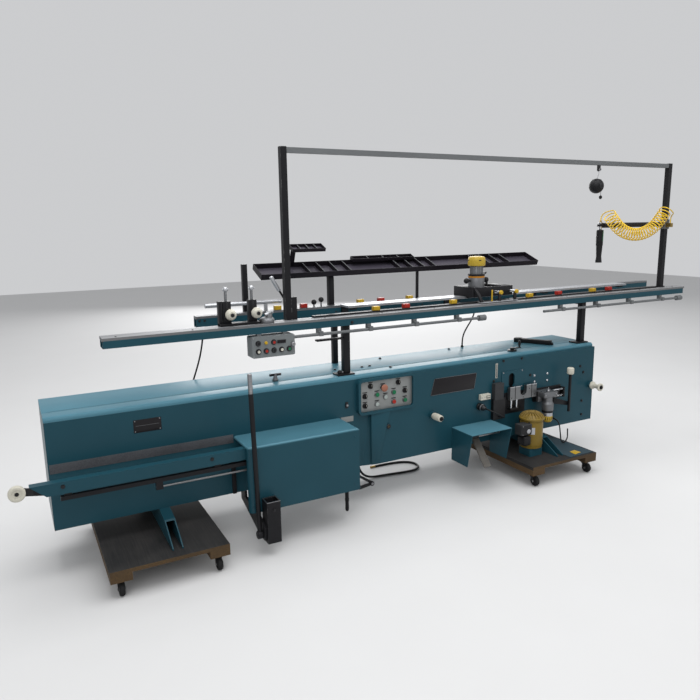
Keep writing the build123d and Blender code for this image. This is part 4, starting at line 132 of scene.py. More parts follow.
class Graph:
    """The node graph of one material."""

    def __init__(self, name: str) -> None:
        """Start an empty material of that name."""
        self.material = bpy.data.materials.new(name)
        self.material.use_nodes = True
        self.tree = self.material.node_tree
        self.tree.nodes.clear()
        self.place = self.node("ShaderNodeTexCoord", output="Object")
        apart = "ShaderNodeSeparateXYZ"
        self.axes = [self.node(apart, {}, {0: self.place}, output=axis) for axis in "XYZ"]

    def node(
        self,
        kind: str,
        settings: Optional[dict] = None,
        inputs: Optional[dict] = None,
        output: Union[int, str] = 0,
    ) -> Wire:
        """Add a node, its settings first and then its sockets.

        Args:
            kind: The node's type.
            settings: Its properties by name.
            inputs: Values or wires by socket name or number.
            output: The output that is used next.

        Returns:
            That output's wire.
        """
        return Wire(self, self._add(kind, settings or {}, inputs or {}).outputs[output])

    def _add(self, kind: str, settings: dict, inputs: dict) -> bpy.types.Node:
        """Add a node of a kind with its settings and inputs and give it."""
        made = self.tree.nodes.new(kind)
        for name, value in settings.items():
            setattr(made, name, value)
        for name, value in inputs.items():
            if isinstance(value, Wire):
                self.tree.links.new(value.socket, made.inputs[name])
            else:
                made.inputs[name].default_value = value
        return made

    def close(self, surface: Wire) -> bpy.types.Material:
        """Lead a shader to the material's output and give the material."""
        self._add("ShaderNodeOutputMaterial", {}, {"Surface": surface})
        return self.material

    def colours(self, mask: Value, under: "Paint", over: "Paint") -> Wire:
        """Mix two colours by a mask."""
        settings = {"data_type": "RGBA", "blend_type": "MIX"}
        return self.node("ShaderNodeMix", settings, {0: mask, 6: rgba(under), 7: rgba(over)}, output=2)

    def values(self, mask: Value, under: Value, over: Value) -> Wire:
        """Mix two numbers by a mask."""
        return self.node("ShaderNodeMix", {"data_type": "FLOAT"}, {0: mask, 2: under, 3: over})

    def stretched(self, by: Triple) -> Wire:
        """Give the object's coordinates multiplied along each axis."""
        return self.node("ShaderNodeVectorMath", {"operation": "MULTIPLY"}, {0: self.place, 1: by})

    def noise(self, at: Wire, scale: float, detail: float = 3.0, rough: float = 0.55) -> Wire:
        """Give a noise value at some coordinates."""
        inputs = {"Vector": at, "Scale": scale, "Detail": detail, "Roughness": rough}
        return self.node("ShaderNodeTexNoise", {}, inputs)

    def within(self, axis: int, low: float, high: float) -> Wire:
        """Give how far a spot lies inside a span along an axis; the span is in millimetres."""
        return (high - low) / 2 * MM - (self.axes[axis] - (low + high) / 2 * MM).size()


Paint = Union[Wire, Triple]


def rgba(paint: Paint) -> Union[Wire, tuple[float, float, float, float]]:
    """Give a colour as a wire or as four numbers."""
    return paint if isinstance(paint, Wire) else (*paint, 1.0)


class Grain(Enum):
    """How a finish's fine pattern is stretched along X, Y and Z."""

    EVEN = (1.0, 1.0, 1.0)
    ALONG_X = (0.03, 1.0, 1.0)
    ALONG_Y = (1.0, 0.04, 1.0)


@dataclass(frozen=True)
class Finish:
    """One surface: its colours, gloss, grain and wear."""

    name: str
    slot: str
    base: Triple
    shade: Triple
    rough: float
    metal: float = 0.0
    coat: float = 0.0
    grain: Grain = Grain.EVEN
    fine: float = 700.0
    broad: float = 2.2
    tint: float = 0.35
    bump: float = 0.05
    chip: Triple = (0.030, 0.032, 0.034)
    gloss: float = 0.16

    def layer(self, graph: Graph) -> tuple[Wire, Wire, Value, Wire]:
        """Lay the finish in a graph.

        Args:
            graph: The material's graph.

        Returns:
            The colour, roughness, metal and height.
        """
        spread, offset, fine_dull, broad_dull = 1.3, 0.15, 0.16, 0.14
        fine = graph.noise(graph.stretched(self.grain.value), self.fine)
        clouds = graph.noise(graph.place, self.broad, detail=5.0)
        share = (clouds * spread - offset + (fine - 0.5) * self.tint).clamped()
        colour = graph.colours(share, self.shade, self.base)
        rough = (fine - 0.5) * fine_dull + (clouds - 0.5) * broad_dull + self.rough
        return colour, rough.clamped(), self.metal, fine * self.bump


@dataclass(frozen=True)
class Zone:
    """A box, in millimetres, in which a node shows another finish."""

    low: Triple
    high: Triple
    finish: Finish
    soft: float = 0.5

    def mask(self, graph: Graph) -> Value:
        """Give the zone's mask, which is 1 inside the box."""
        inside: Value = 1.0
        for axis, (low, high) in enumerate(zip(self.low, self.high)):
            if high - low < OPEN:
                inside = graph.within(axis, low, high).step(self.soft * MM) * inside
        return inside


@dataclass(frozen=True)
class Disc:
    """A round zone along one axis, in millimetres."""

    centre: Triple
    axis: int
    radius: float
    span: tuple[float, float]
    finish: Finish
    soft: float = 0.4

    def mask(self, graph: Graph) -> Wire:
        """Give the zone's mask, which is 1 inside the disc."""
        first, second = (graph.axes[axis] - self.centre[axis] * MM for axis in range(3) if axis != self.axis)
        gap = (self.radius * MM) ** 2 - (first * first + second * second)
        across = gap.step(self.radius * self.soft * MM * MM)
        return across * graph.within(self.axis, *self.span).step(self.soft * MM)


@dataclass(frozen=True)
class Edges:
    """A box whose edges have lost some paint."""

    low: Triple
    high: Triple
    width: float = 5.0

    def mask(self, graph: Graph) -> Wire:
        """Give a mask that is 1 on the box's edges."""
        near = []
        for axis, (low, high) in enumerate(zip(self.low, self.high)):
            deep = graph.within(axis, low, high).size()
            near.append((1.0 - deep * (1.0 / (self.width * MM))).clamped())
        return near[0] * near[1] + near[1] * near[2] + near[2] * near[0]


class Coat:
    """A material made of one finish, with zones of others and worn edges."""

    made: dict[str, bpy.types.Material] = {}

    def __init__(self, name: str, finish: Finish) -> None:
        """Start from the main finish."""
        self.graph = Graph(name)
        self.finish = finish
        self.colour, self.rough, self.metal, self.height = finish.layer(self.graph)

    def zone(self, zone: Union[Zone, Disc]) -> None:
        """Lay another finish where a zone is."""
        graph = self.graph
        mask = zone.mask(graph)
        colour, rough, metal, height = zone.finish.layer(graph)
        self.colour = graph.colours(mask, self.colour, colour)
        self.rough = graph.values(mask, self.rough, rough)
        self.metal = graph.values(mask, self.metal, metal)
        self.height = graph.values(mask, self.height, height)

    def wear(self, edges: Edges) -> None:
        """Wear the paint through along a box's edges."""
        graph = self.graph
        patches, rims, level, soft, dull, deep = 0.9, 0.5, 0.97, 0.05, 0.55, 0.08
        spots = graph.noise(graph.place, 55.0, detail=8.0, rough=0.65)
        bare = (spots * patches + edges.mask(graph) * rims - level).step(soft)
        self.colour = graph.colours(bare, self.colour, self.finish.chip)
        self.rough = graph.values(bare, self.rough, dull)
        self.height = self.height - bare * deep

    def close(self) -> bpy.types.Material:
        """Join the parts in a shader.

        Returns:
            The material.
        """
        graph = self.graph
        bumps = {"Strength": 1.0, "Distance": 0.001, "Height": self.height}
        inputs = {
            "Base Color": self.colour,
            "Roughness": self.rough,
            "Metallic": self.metal,
            "Coat Weight": self.finish.coat,
            "Coat Roughness": 0.12,
            "Specular IOR Level": self.finish.gloss,
            "Normal": graph.node("ShaderNodeBump", {}, bumps),
        }
        return graph.close(graph.node("ShaderNodeBsdfPrincipled", {}, inputs))

    @classmethod
    def of(cls, finish: Finish) -> bpy.types.Material:
        """Give the plain material of a finish, made once."""
        if finish.name not in cls.made:
            cls.made[finish.name] = cls(finish.name, finish).close()
        return cls.made[finish.name]


def dress(
    node: str,
    finish: Finish,
    zones: Sequence[Union[Zone, Disc]] = (),
    worn: Sequence[Edges] = (),
) -> None:
    """Give a CAD node its material.

    Args:
        node: The node's name.
        finish: Its main finish.
        zones: Places with another finish.
        worn: Boxes whose edges are worn.
    """
    if zones or worn:
        coat = Coat(f"{node}_coat", finish)
        for edges in worn:
            coat.wear(edges)
        for zone in zones:
            coat.zone(zone)
        material = coat.close()
    else:
        material = Coat.of(finish)
    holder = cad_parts[node]
    if not holder.material_slots:
        holder.data.materials.append(material)
    for place in holder.material_slots:
        place.material = material
    LOG.info("dressed %s in %s", node, finish.name)


TEAL = Finish("teal_paint", "teal_paint", (0.012, 0.058, 0.080), (0.008, 0.043, 0.060), 0.36, coat=0.04)
# The same teal paint made lighter for upward faces: a painted sheen of the light from above, not a second
# paint
SHEEN_TEAL = Finish("top_paint", "top_paint", (0.078, 0.200, 0.255), (0.050, 0.140, 0.185), 0.40, gloss=0.12)
BLACK = Finish("black_paint", "black_paint", (0.012, 0.012, 0.014), (0.007, 0.007, 0.008), 0.42,
               chip=(0.17, 0.17, 0.17))
TRAY = Finish("tray_paint", "black_paint", (0.014, 0.011, 0.016), (0.008, 0.007, 0.009), 0.38,
              chip=(0.12, 0.11, 0.11))
TRAY_FLOOR = Finish("tray_floor", "black_paint", (0.052, 0.047, 0.062), (0.030, 0.027, 0.036), 0.36)
GREY = Finish("grey_paint", "grey_paint", (0.135, 0.142, 0.146), (0.095, 0.100, 0.104), 0.45)
FACE = Finish("control_face", "aluminium", (0.26, 0.27, 0.265), (0.18, 0.187, 0.184), 0.42, metal=0.3,
              grain=Grain.ALONG_X)
PALE = Finish("pale_box", "grey_paint", (0.170, 0.185, 0.188), (0.115, 0.126, 0.130), 0.48)
CASTING = Finish("dark_casting", "dark_steel", (0.055, 0.057, 0.060), (0.030, 0.031, 0.033), 0.55, metal=0.4,
                 bump=0.2)
MOTOR = Finish("motor_paint", "yellow_paint", (0.20, 0.135, 0.022), (0.12, 0.080, 0.014), 0.40, coat=0.1)
DOME = Finish("dome_paint", "yellow_paint", (0.30, 0.21, 0.065), (0.18, 0.125, 0.035), 0.42, metal=0.25)
CAP = Finish("cap_paint", "yellow_paint", (0.44, 0.31, 0.035), (0.32, 0.215, 0.025), 0.38, coat=0.1)
DARK_STEEL = Finish("dark_steel", "dark_steel", (0.045, 0.045, 0.047), (0.022, 0.022, 0.024), 0.42,
                    metal=0.85)
STEEL = Finish("steel", "steel", (0.34, 0.34, 0.35), (0.22, 0.22, 0.23), 0.34, metal=1.0)
MACHINED = Finish("machined_steel", "aluminium", (0.25, 0.255, 0.26), (0.15, 0.155, 0.16), 0.36, metal=0.9,
                  grain=Grain.ALONG_X)
ALUMINIUM = Finish("aluminium", "aluminium", (0.50, 0.51, 0.53), (0.36, 0.37, 0.39), 0.40, metal=0.9,
                   grain=Grain.ALONG_X)
DULL_ALUMINIUM = Finish("dull_aluminium", "aluminium", (0.20, 0.205, 0.215), (0.13, 0.135, 0.14), 0.46,
                        metal=0.8)
CHROME = Finish("chrome", "chrome", (0.62, 0.63, 0.65), (0.48, 0.49, 0.51), 0.12, metal=1.0, bump=0.01)
BRASS = Finish("brass", "steel", (0.38, 0.27, 0.09), (0.25, 0.17, 0.05), 0.34, metal=1.0)
BOARD = Finish("worn_board", "board", (0.036, 0.034, 0.033), (0.009, 0.010, 0.011), 0.72, grain=Grain.ALONG_Y,
               fine=160.0, broad=7.0, tint=1.1, bump=0.35)
BATTEN = Finish("batten", "board", (0.105, 0.064, 0.028), (0.032, 0.022, 0.014), 0.68, grain=Grain.ALONG_Y,
                fine=140.0, broad=5.0, tint=1.0, bump=0.3)
MAT = Finish("blue_mat", "teal_paint", (0.035, 0.060, 0.075), (0.022, 0.040, 0.052), 0.62, bump=0.2,
             fine=320.0)
RUBBER = Finish("black_rubber", "black_rubber", (0.014, 0.014, 0.015), (0.009, 0.009, 0.009), 0.70, bump=0.15)
CREAM = Finish("cream_plastic", "cream_plastic", (0.56, 0.545, 0.48), (0.42, 0.40, 0.33), 0.40)
YELLOW_PLASTIC = Finish("yellow_plastic", "yellow_plastic", (0.48, 0.31, 0.022), (0.34, 0.21, 0.015), 0.40)
RED_PLASTIC = Finish("red_plastic", "red_plastic", (0.34, 0.024, 0.016), (0.24, 0.016, 0.011), 0.36)
MUSHROOM = Finish("mushroom", "red_plastic", (0.30, 0.125, 0.080), (0.22, 0.085, 0.055), 0.34, coat=0.2)
LENS = Finish("lamp_lens", "cream_plastic", (0.33, 0.37, 0.35), (0.24, 0.28, 0.265), 0.30)
ORANGE = Finish("orange_ring", "yellow_plastic", (0.42, 0.17, 0.015), (0.30, 0.12, 0.010), 0.40)
GREEN_PLASTIC = Finish("green_plastic", "green_plastic", (0.014, 0.155, 0.066), (0.009, 0.10, 0.043), 0.32)
BLACK_PLASTIC = Finish("black_plastic", "black_plastic", (0.013, 0.013, 0.014), (0.008, 0.008, 0.009), 0.36)
PLATE_BLACK = Finish("plate_black", "black_plastic", (0.014, 0.012, 0.014), (0.008, 0.007, 0.008), 0.34,
                     coat=0.1)
HOSE = Finish("yellow_hose", "yellow_hose", (0.70, 0.47, 0.022), (0.56, 0.36, 0.016), 0.28, coat=0.3)
JACKET = Finish("cord_jacket", "black_rubber", (0.016, 0.016, 0.017), (0.010, 0.010, 0.011), 0.52, bump=0.08)
SCALE = Finish("scale_strip", "grey_paint", (0.17, 0.172, 0.176), (0.085, 0.087, 0.090), 0.50, fine=260.0,
               tint=0.8)
RULED = Finish("ruled_strip", "grey_paint", (0.092, 0.098, 0.108), (0.030, 0.032, 0.036), 0.50, fine=420.0,
               tint=1.6)
STRAP = Finish("worn_strap", "grey_paint", (0.115, 0.108, 0.097), (0.065, 0.060, 0.054), 0.55)
FLOOR = Finish("pale_floor", "grey_paint", (0.57, 0.57, 0.57), (0.55, 0.55, 0.55), 0.8, bump=0.01)


def heading(turn: float) -> Vector:
    """Give the level direction at an angle, in radians from the right."""
    return Vector((cos(turn), sin(turn), 0.0))


def spokes(count: int, start: float = 0.0) -> list[Vector]:
    """Give level directions spaced evenly round a full turn."""
    return [heading(start + 2 * pi * number / count) for number in range(count)]


def ring(inner: float, outer: float, low: float, high: float) -> list[tuple[float, float]]:
    """Give the outline of a plain ring, or of a disc where the inner radius is 0."""
    return [(inner, low), (outer, low), (outer, high), (inner, high)]


def bent(centre: Triple, inner: float, outer: float, turns: Sequence[float]) -> list[Vector]:
    """Give the outline of a sheet bent round an upright axis.

    Args:
        centre: A point on the axis.
        inner: The sheet's inner radius.
        outer: Its outer radius.
        turns: The angles along it, in degrees.

    Returns:
        The outline's points, out along the outer skin and back along the inner one.
    """
    ways = [heading(radians(turn)) for turn in turns]
    skin = [Vector(centre) + way * outer for way in ways]
    return skin + [Vector(centre) + way * inner for way in reversed(ways)]


class Form:
    """A piece in the making: shapes in one or more finishes, in millimetres, joined in one mesh."""

    def __init__(self, name: str) -> None:
        """Start an empty piece of that name."""
        self.name = name
        self.mesh = bmesh.new()
        self.finishes: list[Finish] = []

    def _join(self, shape: bmesh.types.BMesh, finish: Finish) -> None:
        """Close a shape, give it its finish and add it to the piece.

        Args:
            shape: The shape in millimetres, which is used up.
            finish: Its finish.
        """
        bmesh.ops.remove_doubles(shape, verts=shape.verts[:], dist=TOUCH)
        bmesh.ops.recalc_face_normals(shape, faces=shape.faces[:])
        bmesh.ops.scale(shape, vec=(MM, MM, MM), verts=shape.verts[:])
        if finish not in self.finishes:
            self.finishes.append(finish)
        for face in shape.faces:
            face.material_index = self.finishes.index(finish)
            face.smooth = True
        holder = bpy.data.meshes.new(self.name)
        shape.to_mesh(holder)
        shape.free()
        self.mesh.from_mesh(holder)
        bpy.data.meshes.remove(holder)

    def _round(self, shape: bmesh.types.BMesh, edge: float, segments: int, over: float = 30.0) -> None:
        """Bevel a shape's sharp edges.

        Args:
            shape: The shape.
            edge: The bevel's width.
            segments: Its steps.
            over: The least angle, in degrees, between two faces at a sharp edge.
        """
        if edge <= 0:
            return
        bmesh.ops.recalc_face_normals(shape, faces=shape.faces[:])
        sharp = [line for line in shape.edges if line.calc_face_angle(0.0) > radians(over)]
        bmesh.ops.bevel(shape, geom=sharp, offset=edge, offset_type="OFFSET", affect="EDGES",
                        segments=segments, profile=0.5, clamp_overlap=True, material=-1)

    def block(self, low: Triple, high: Triple, finish: Finish, edge: float = 1.0, segments: int = 2) -> None:
        """Add a box with rounded edges between two corners."""
        shape = bmesh.new()
        bmesh.ops.create_cube(shape, size=1.0)
        bmesh.ops.scale(shape, vec=Vector(high) - Vector(low), verts=shape.verts[:])
        bmesh.ops.translate(shape, vec=(Vector(low) + Vector(high)) / 2, verts=shape.verts[:])
        self._round(shape, edge, segments)
        self._join(shape, finish)

    def rod(self, start: Triple, end: Triple, wide: float, finish: Finish, edge: float = 0.6,
            sides: int = 32) -> None:
        """Add a round bar with softened rims.

        Args:
            start: The centre of its first end.
            end: The centre of its other end.
            wide: Its diameter.
            finish: Its finish.
            edge: The rims' bevel.
            sides: Its number of sides.
        """
        shape = bmesh.new()
        axis = Vector(end) - Vector(start)
        bmesh.ops.create_cone(shape, cap_ends=True, cap_tris=False, segments=sides,
                              radius1=wide / 2, radius2=wide / 2, depth=axis.length)
        turn = axis.to_track_quat("Z", "Y").to_matrix().to_4x4()
        place = Matrix.Translation((Vector(start) + Vector(end)) / 2) @ turn
        bmesh.ops.transform(shape, matrix=place, verts=shape.verts[:])
        self._round(shape, edge, 2)
        self._join(shape, finish)

    def turned(self, origin: Triple, axis: Vector, outline: Outline, finish: Finish, edge: float = 0.0,
               steps: int = 36) -> None:
        """Add a shape turned round an axis; an outline with both ends off the axis closes round a bore.

        Args:
            origin: A point on the axis.
            axis: Its direction.
            outline: Pairs of radius and distance along the axis.
            finish: Its finish.
            edge: The bevel of its sharp rings.
            steps: Its number of sides.
        """
        shape = bmesh.new()
        centre = Vector(origin)
        side = axis.orthogonal().normalized()
        dots = [shape.verts.new(centre + side * wide + axis * along) for wide, along in outline]
        bored = min(outline[0][0], outline[-1][0]) > TOUCH
        pairs = list(zip(dots, dots[1:])) + ([(dots[-1], dots[0])] if bored else [])
        lines = [shape.edges.new(pair) for pair in pairs]
        bmesh.ops.spin(shape, geom=dots + lines, cent=centre, axis=axis, angle=2 * pi, steps=steps,
                       use_merge=True, use_duplicate=False)
        bmesh.ops.remove_doubles(shape, verts=shape.verts[:], dist=TOUCH)
        self._round(shape, edge, 2, over=24.0)
        self._join(shape, finish)

    def prism(self, points: Sequence[Triple], depth: Triple, finish: Finish, edge: float = 0.8,
              segments: int = 2) -> None:
        """Add a flat outline pushed out by a depth, with rounded edges."""
        shape = bmesh.new()
        face = shape.faces.new([shape.verts.new(point) for point in points])
        grown = bmesh.ops.extrude_face_region(shape, geom=[face], use_keep_orig=True)
        moved = [item for item in grown["geom"] if isinstance(item, bmesh.types.BMVert)]
        bmesh.ops.translate(shape, vec=Vector(depth), verts=moved)
        self._round(shape, edge, segments)
        self._join(shape, finish)

    def hull(self, points: Sequence[Triple], finish: Finish, edge: float = 0.6) -> None:
        """Add the solid that a few corner points stretch."""
        shape = bmesh.new()
        corners = [shape.verts.new(point) for point in points]
        bmesh.ops.convex_hull(shape, input=corners)
        bmesh.ops.dissolve_limit(shape, angle_limit=0.01, verts=shape.verts[:], edges=shape.edges[:])
        self._round(shape, edge, 2)
        self._join(shape, finish)

    def ball(self, centre: Triple, wide: float, finish: Finish, flat: float = 1.0) -> None:
        """Add a ball, its height multiplied where that is asked."""
        half, steps = wide / 2, 14
        turns = [pi * step / steps for step in range(steps + 1)]
        arc = [(half * sin(turn), -half * flat * cos(turn)) for turn in turns]
        self.turned(centre, UP, arc, finish, steps=28)

    def screw(self, seat: Triple, out: Vector, wide: float, finish: Finish, tall: float = 0.0) -> None:
        """Add a hexagon head on its washer, standing out of a seat."""
        high = tall or wide * 0.45
        foot = Vector(seat)
        self.rod(foot, foot + out * (high * 0.3), wide * 1.35, finish, edge=0.2, sides=20)
        self.rod(foot + out * (high * 0.3), foot + out * high, wide, finish, edge=wide * 0.06, sides=6)

    def pan(self, seat: Triple, out: Vector, wide: float, finish: Finish) -> None:
        """Add a low round screw head."""
        half = wide / 2
        dome = [(0.0, 0.0), (half, 0.0), (half, half * 0.25), (half * 0.75, half * 0.52),
                (half * 0.35, half * 0.64), (0.0, half * 0.66)]
        self.turned(seat, out, dome, finish, steps=16)

    def pans(self, rows: Sequence[Sequence[float]], out: Vector, wide: float, finish: Finish) -> None:
        """Add low round screw heads at every crossing of three rows of X, Y and Z."""
        for seat in product(*rows):
            self.pan(seat, out, wide, finish)

    def ribs(self, foot: Vector, count: int, radius: float, tall: float, wide: float, finish: Finish) -> None:
        """Stand thin ribs round an upright axis.

        Args:
            foot: A point on the axis at the ribs' feet.
            count: Their number.
            radius: Their distance from the axis.
            tall: Their height, under 0 where they hang.
            wide: Their thickness.
            finish: Their finish.
        """
        for away in spokes(count):
            spot = foot + away * radius
            self.rod(spot, spot + UP * tall, wide, finish, edge=0.0, sides=6)

    def slots(self, foot: Vector, ways: Sequence[Vector], radius: float, half: float, tall: float,
              out: float) -> None:
        """Lay raised black strips on a round skin: painted shade standing for the dark inside of upright vent
        slots.

        Args:
            foot: A point on the skin's axis at the slots' feet.
            ways: The directions in which they lie.
            radius: Their distance from the axis.
            half: Half their width.
            tall: Their height.
            out: How far they stand out.
        """
        for away in ways:
            side, centre = away.cross(UP) * half, foot + away * radius
            shape = [centre - side, centre + side, centre + side + UP * tall, centre - side + UP * tall]
            self.prism(shape, away * out, BLACK_PLASTIC, edge=0.2, segments=1)

    def done(self, body: str, *nodes: str) -> bpy.types.Object:
        """Close the piece, put it on its body and hide the CAD nodes it stands for.

        Args:
            body: The body it rides on.
            nodes: The CAD nodes that it replaces.

        Returns:
            The piece's object.
        """
        mesh = bpy.data.meshes.new(self.name)
        self.mesh.to_mesh(mesh)
        self.mesh.free()
        for finish in self.finishes:
            mesh.materials.append(Coat.of(finish))
        mesh.set_sharp_from_angle(angle=SHARP)
        piece = bpy.data.objects.new(self.name, mesh)
        bpy.context.scene.collection.objects.link(piece)
        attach(piece, body)
        if nodes:
            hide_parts(*nodes)
        LOG.info("built %s on %s", self.name, body)
        return piece

    def moving(self, node: str) -> None:
        """Close a piece that stands for a moving node and rides on its body."""
        self.done(node, node)


@dataclass
class Studio:
    """Camera at the photograph's angle, soft light and a pale floor."""

    eye: Triple = (-2094.223, -2993.172, 1519.897)
    yaw: float = 27.97071
    pitch: float = 11.091789
    roll: float = -0.850433
    focal: float = 646.4919
    frame_width: float = 700
    sensor: float = 36
    floor_half: float = 14000
    sky: Triple = (0.97, 0.98, 1)
    sky_strength: float = 0.62
    lamp_reach: float = 1.5
    lamps: Sequence[tuple[str, Triple, Triple, float, float]] = (
        ("key", (-4200, -5200, 4600), (-300, 0, 600), 3600, 120),
        ("fill", (4600, -5200, 3000), (300, 0, 700), 3200, 40),
        ("top", (0, -200, 4400), (0, 0, 0), 5200, 240),
        ("rear", (3300, 7600, 3100), (0, 0, 735), 6600, 330),
    )

    def camera(self) -> None:
        """Stand the camera where the photograph was taken."""
        yaw, pitch, roll = radians(self.yaw), radians(self.pitch), radians(self.roll)
        ahead = Vector((sin(yaw) * cos(pitch), cos(yaw) * cos(pitch), -sin(pitch)))
        level = Vector((cos(yaw), -sin(yaw), 0))
        rise = level.cross(ahead)
        across = level * cos(roll) + rise * sin(roll)
        over = rise * cos(roll) - level * sin(roll)
        lens = bpy.data.cameras.new("photo_camera")
        lens.sensor_width = self.sensor
        lens.lens = self.sensor * self.focal / self.frame_width
        lens.clip_end = 100
        holder = bpy.data.objects.new("photo_camera", lens)
        turn = Matrix((across, over, -ahead)).transposed().to_4x4()
        holder.matrix_world = Matrix.Translation(Vector(self.eye) * MM) @ turn
        bpy.context.scene.collection.objects.link(holder)
        bpy.context.scene.camera = holder

    def light(self) -> None:
        """Hang the soft lamps and set the pale surroundings."""
        for name, place, aim, size, power in self.lamps:
            lamp = bpy.data.lights.new(name, "AREA")
            lamp.shape = "RECTANGLE"
            lamp.size = size * MM
            lamp.size_y = min(size, place[2] * self.lamp_reach) * MM
            lamp.energy = power
            holder = bpy.data.objects.new(name, lamp)
            toward = (Vector(aim) - Vector(place)).to_track_quat("-Z", "Y").to_matrix().to_4x4()
            holder.matrix_world = Matrix.Translation(Vector(place) * MM) @ toward
            bpy.context.scene.collection.objects.link(holder)
        world = bpy.data.worlds.new("studio")
        world.use_nodes = True
        sky = world.node_tree.nodes["Background"]
        sky.inputs["Color"].default_value = (*self.sky, 1)
        sky.inputs["Strength"].default_value = self.sky_strength
        bpy.context.scene.world = world
        bpy.context.scene.view_settings.view_transform = "Standard"

    def floor(self) -> None:
        """Lay the pale floor, which isn't part of the object."""
        shape = bmesh.new()
        bmesh.ops.create_grid(shape, x_segments=4, y_segments=4, size=self.floor_half * MM)
        mesh = bpy.data.meshes.new("studio_floor")
        shape.to_mesh(mesh)
        shape.free()
        mesh.materials.append(Coat.of(FLOOR))
        ground = bpy.data.objects.new("studio_floor", mesh)
        bpy.context.scene.collection.objects.link(ground)

    def build(self) -> None:
        """Make the whole studio."""
        self.camera()
        self.light()
        self.floor()


@dataclass
class Cords:
    """Leads and hoses, whose points repeat the routes of the part's source, in metres."""

    gland_wide: float = 20
    gland_long: float = 12
    drop_wide: float = 0.009
    lead_wide: float = 0.008
    floor_wide: float = 0.014
    coil_wide: float = 0.007
    coil_radius: float = 0.0385
    coil_turns: float = 26.25
    turn_points: int = 16
    left_drop: Sequence[Triple] = (
        (-1.22375, 0.258, 0.999), (-1.22375, 0.258, 0.972), (-1.22675, 0.264, 0.927),
        (-1.23575, 0.288, 0.852), (-1.25375, 0.318, 0.768), (-1.27575, 0.334, 0.697),
        (-1.28975, 0.333, 0.656), (-1.29675, 0.322, 0.638), (-1.30175, 0.304, 0.627),
        (-1.30175, 0.283, 0.627),
    )
    middle_drop: Sequence[Triple] = (
        (0.54125, 0.258, 0.999), (0.54125, 0.258, 0.974), (0.53325, 0.257, 0.934), (0.50825, 0.255, 0.895),
        (0.47125, 0.253, 0.851), (0.44625, 0.251, 0.812), (0.43825, 0.250, 0.772), (0.43825, 0.250, 0.747),
    )
    panel_lead: Sequence[Triple] = (
        (0.29525, -0.166, 0.450), (0.29525, -0.186, 0.450), (0.30925, -0.210, 0.442),
        (0.34325, -0.216, 0.424), (0.38325, -0.209, 0.403), (0.41625, -0.189, 0.385),
        (0.43025, -0.160, 0.377), (0.43025, -0.140, 0.377),
    )
    deck_cable: Sequence[Triple] = (
        (0.88625, -0.116, 0.287), (0.88625, -0.138, 0.287), (0.88625, -0.159, 0.275),
        (0.88725, -0.171, 0.254), (0.88925, -0.176, 0.218), (0.89325, -0.177, 0.186),
        (0.89925, -0.175, 0.1633), (0.91125, -0.172, 0.1453), (0.93025, -0.168, 0.1343),
        (0.95725, -0.160, 0.1343), (0.98225, -0.147, 0.1413), (1.00325, -0.132, 0.1523),
        (1.01725, -0.118, 0.1703), (1.02425, -0.110, 0.1943),
    )
    floor_hose: Sequence[Triple] = (
        (-0.35375, 0.215, 0.215), (-0.35375, 0.215, 0.185), (-0.35175, 0.215, 0.135),
        (-0.34275, 0.215, 0.085), (-0.32175, 0.215, 0.0443), (-0.28675, 0.215, 0.0183),
        (-0.23975, 0.215, 0.0073), (-0.17975, 0.209, 0.0073), (-0.10975, 0.199, 0.0073),
        (-0.03475, 0.187, 0.0073), (0.02825, 0.183, 0.0073), (0.07325, 0.200, 0.0073),
        (0.09825, 0.237, 0.0073), (0.10025, 0.282, 0.0073), (0.07725, 0.320, 0.0073),
        (0.03625, 0.343, 0.0073), (-0.01975, 0.355, 0.0073), (-0.08375, 0.360, 0.0073),
        (-0.14575, 0.361, 0.0073),
    )
    coil_line: Sequence[Triple] = (
        (1.3333, -0.073, 1.5480), (1.4084, -0.073, 1.4730), (1.5055, -0.073, 1.4287),
        (1.6116, -0.073, 1.4169), (1.7161, -0.073, 1.4388), (1.8086, -0.073, 1.4922),
        (1.8763, -0.073, 1.5740),
    )
    coil_start: Sequence[Triple] = (
        (1.35525, 0.010, 1.514), (1.35525, 0.010, 1.532), (1.3564, 0.000, 1.551), (1.3590, -0.020, 1.5645),
        (1.3612, -0.046, 1.5715),
    )
    coil_end: Sequence[Triple] = (
        (1.8950, -0.1105, 1.565), (1.9210, -0.100, 1.5545), (1.9470, -0.080, 1.549),
        (1.9680, -0.057, 1.5425), (1.9830, -0.039, 1.529), (1.98625, -0.035, 1.511),
        (1.98625, -0.035, 1.489),
    )

    def spline(self, name: str, points: Sequence[Triple], wide: float) -> bpy.types.Object:
        """Make a curve of one smooth open spline.

        Args:
            name: The object's name.
            points: Its control points in metres.
            wide: The cord's diameter, 0 for a bare line.

        Returns:
            The curve's object, in the scene.
        """
        curve = bpy.data.curves.new(name, "CURVE")
        curve.dimensions = "3D"
        line = curve.splines.new("NURBS")
        line.points.add(len(points) - 1)
        for knot, point in zip(line.points, points):
            knot.co = (*point, 1)
        line.order_u = 3
        line.use_endpoint_u = True
        curve.resolution_u = 6 if wide else 24
        curve.bevel_depth = wide / 2
        curve.bevel_resolution = 3
        curve.use_fill_caps = bool(wide)
        piece = bpy.data.objects.new(name, curve)
        bpy.context.scene.collection.objects.link(piece)
        return piece

    def lay(self, name: str, points: Sequence[Triple], wide: float, finish: Finish,
            node: str) -> bpy.types.Object:
        """Lay one cord on the machine in place of its CAD solid.

        Args:
            name: The piece's name.
            points: Its control points in metres.
            wide: Its diameter in metres.
            finish: Its jacket.
            node: The CAD node it stands for.

        Returns:
            The cord's object.
        """
        piece = self.spline(name, points, wide)
        piece.data.materials.append(Coat.of(finish))
        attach(piece, MACHINE)
        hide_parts(node)
        LOG.info("laid %s", name)
        return piece

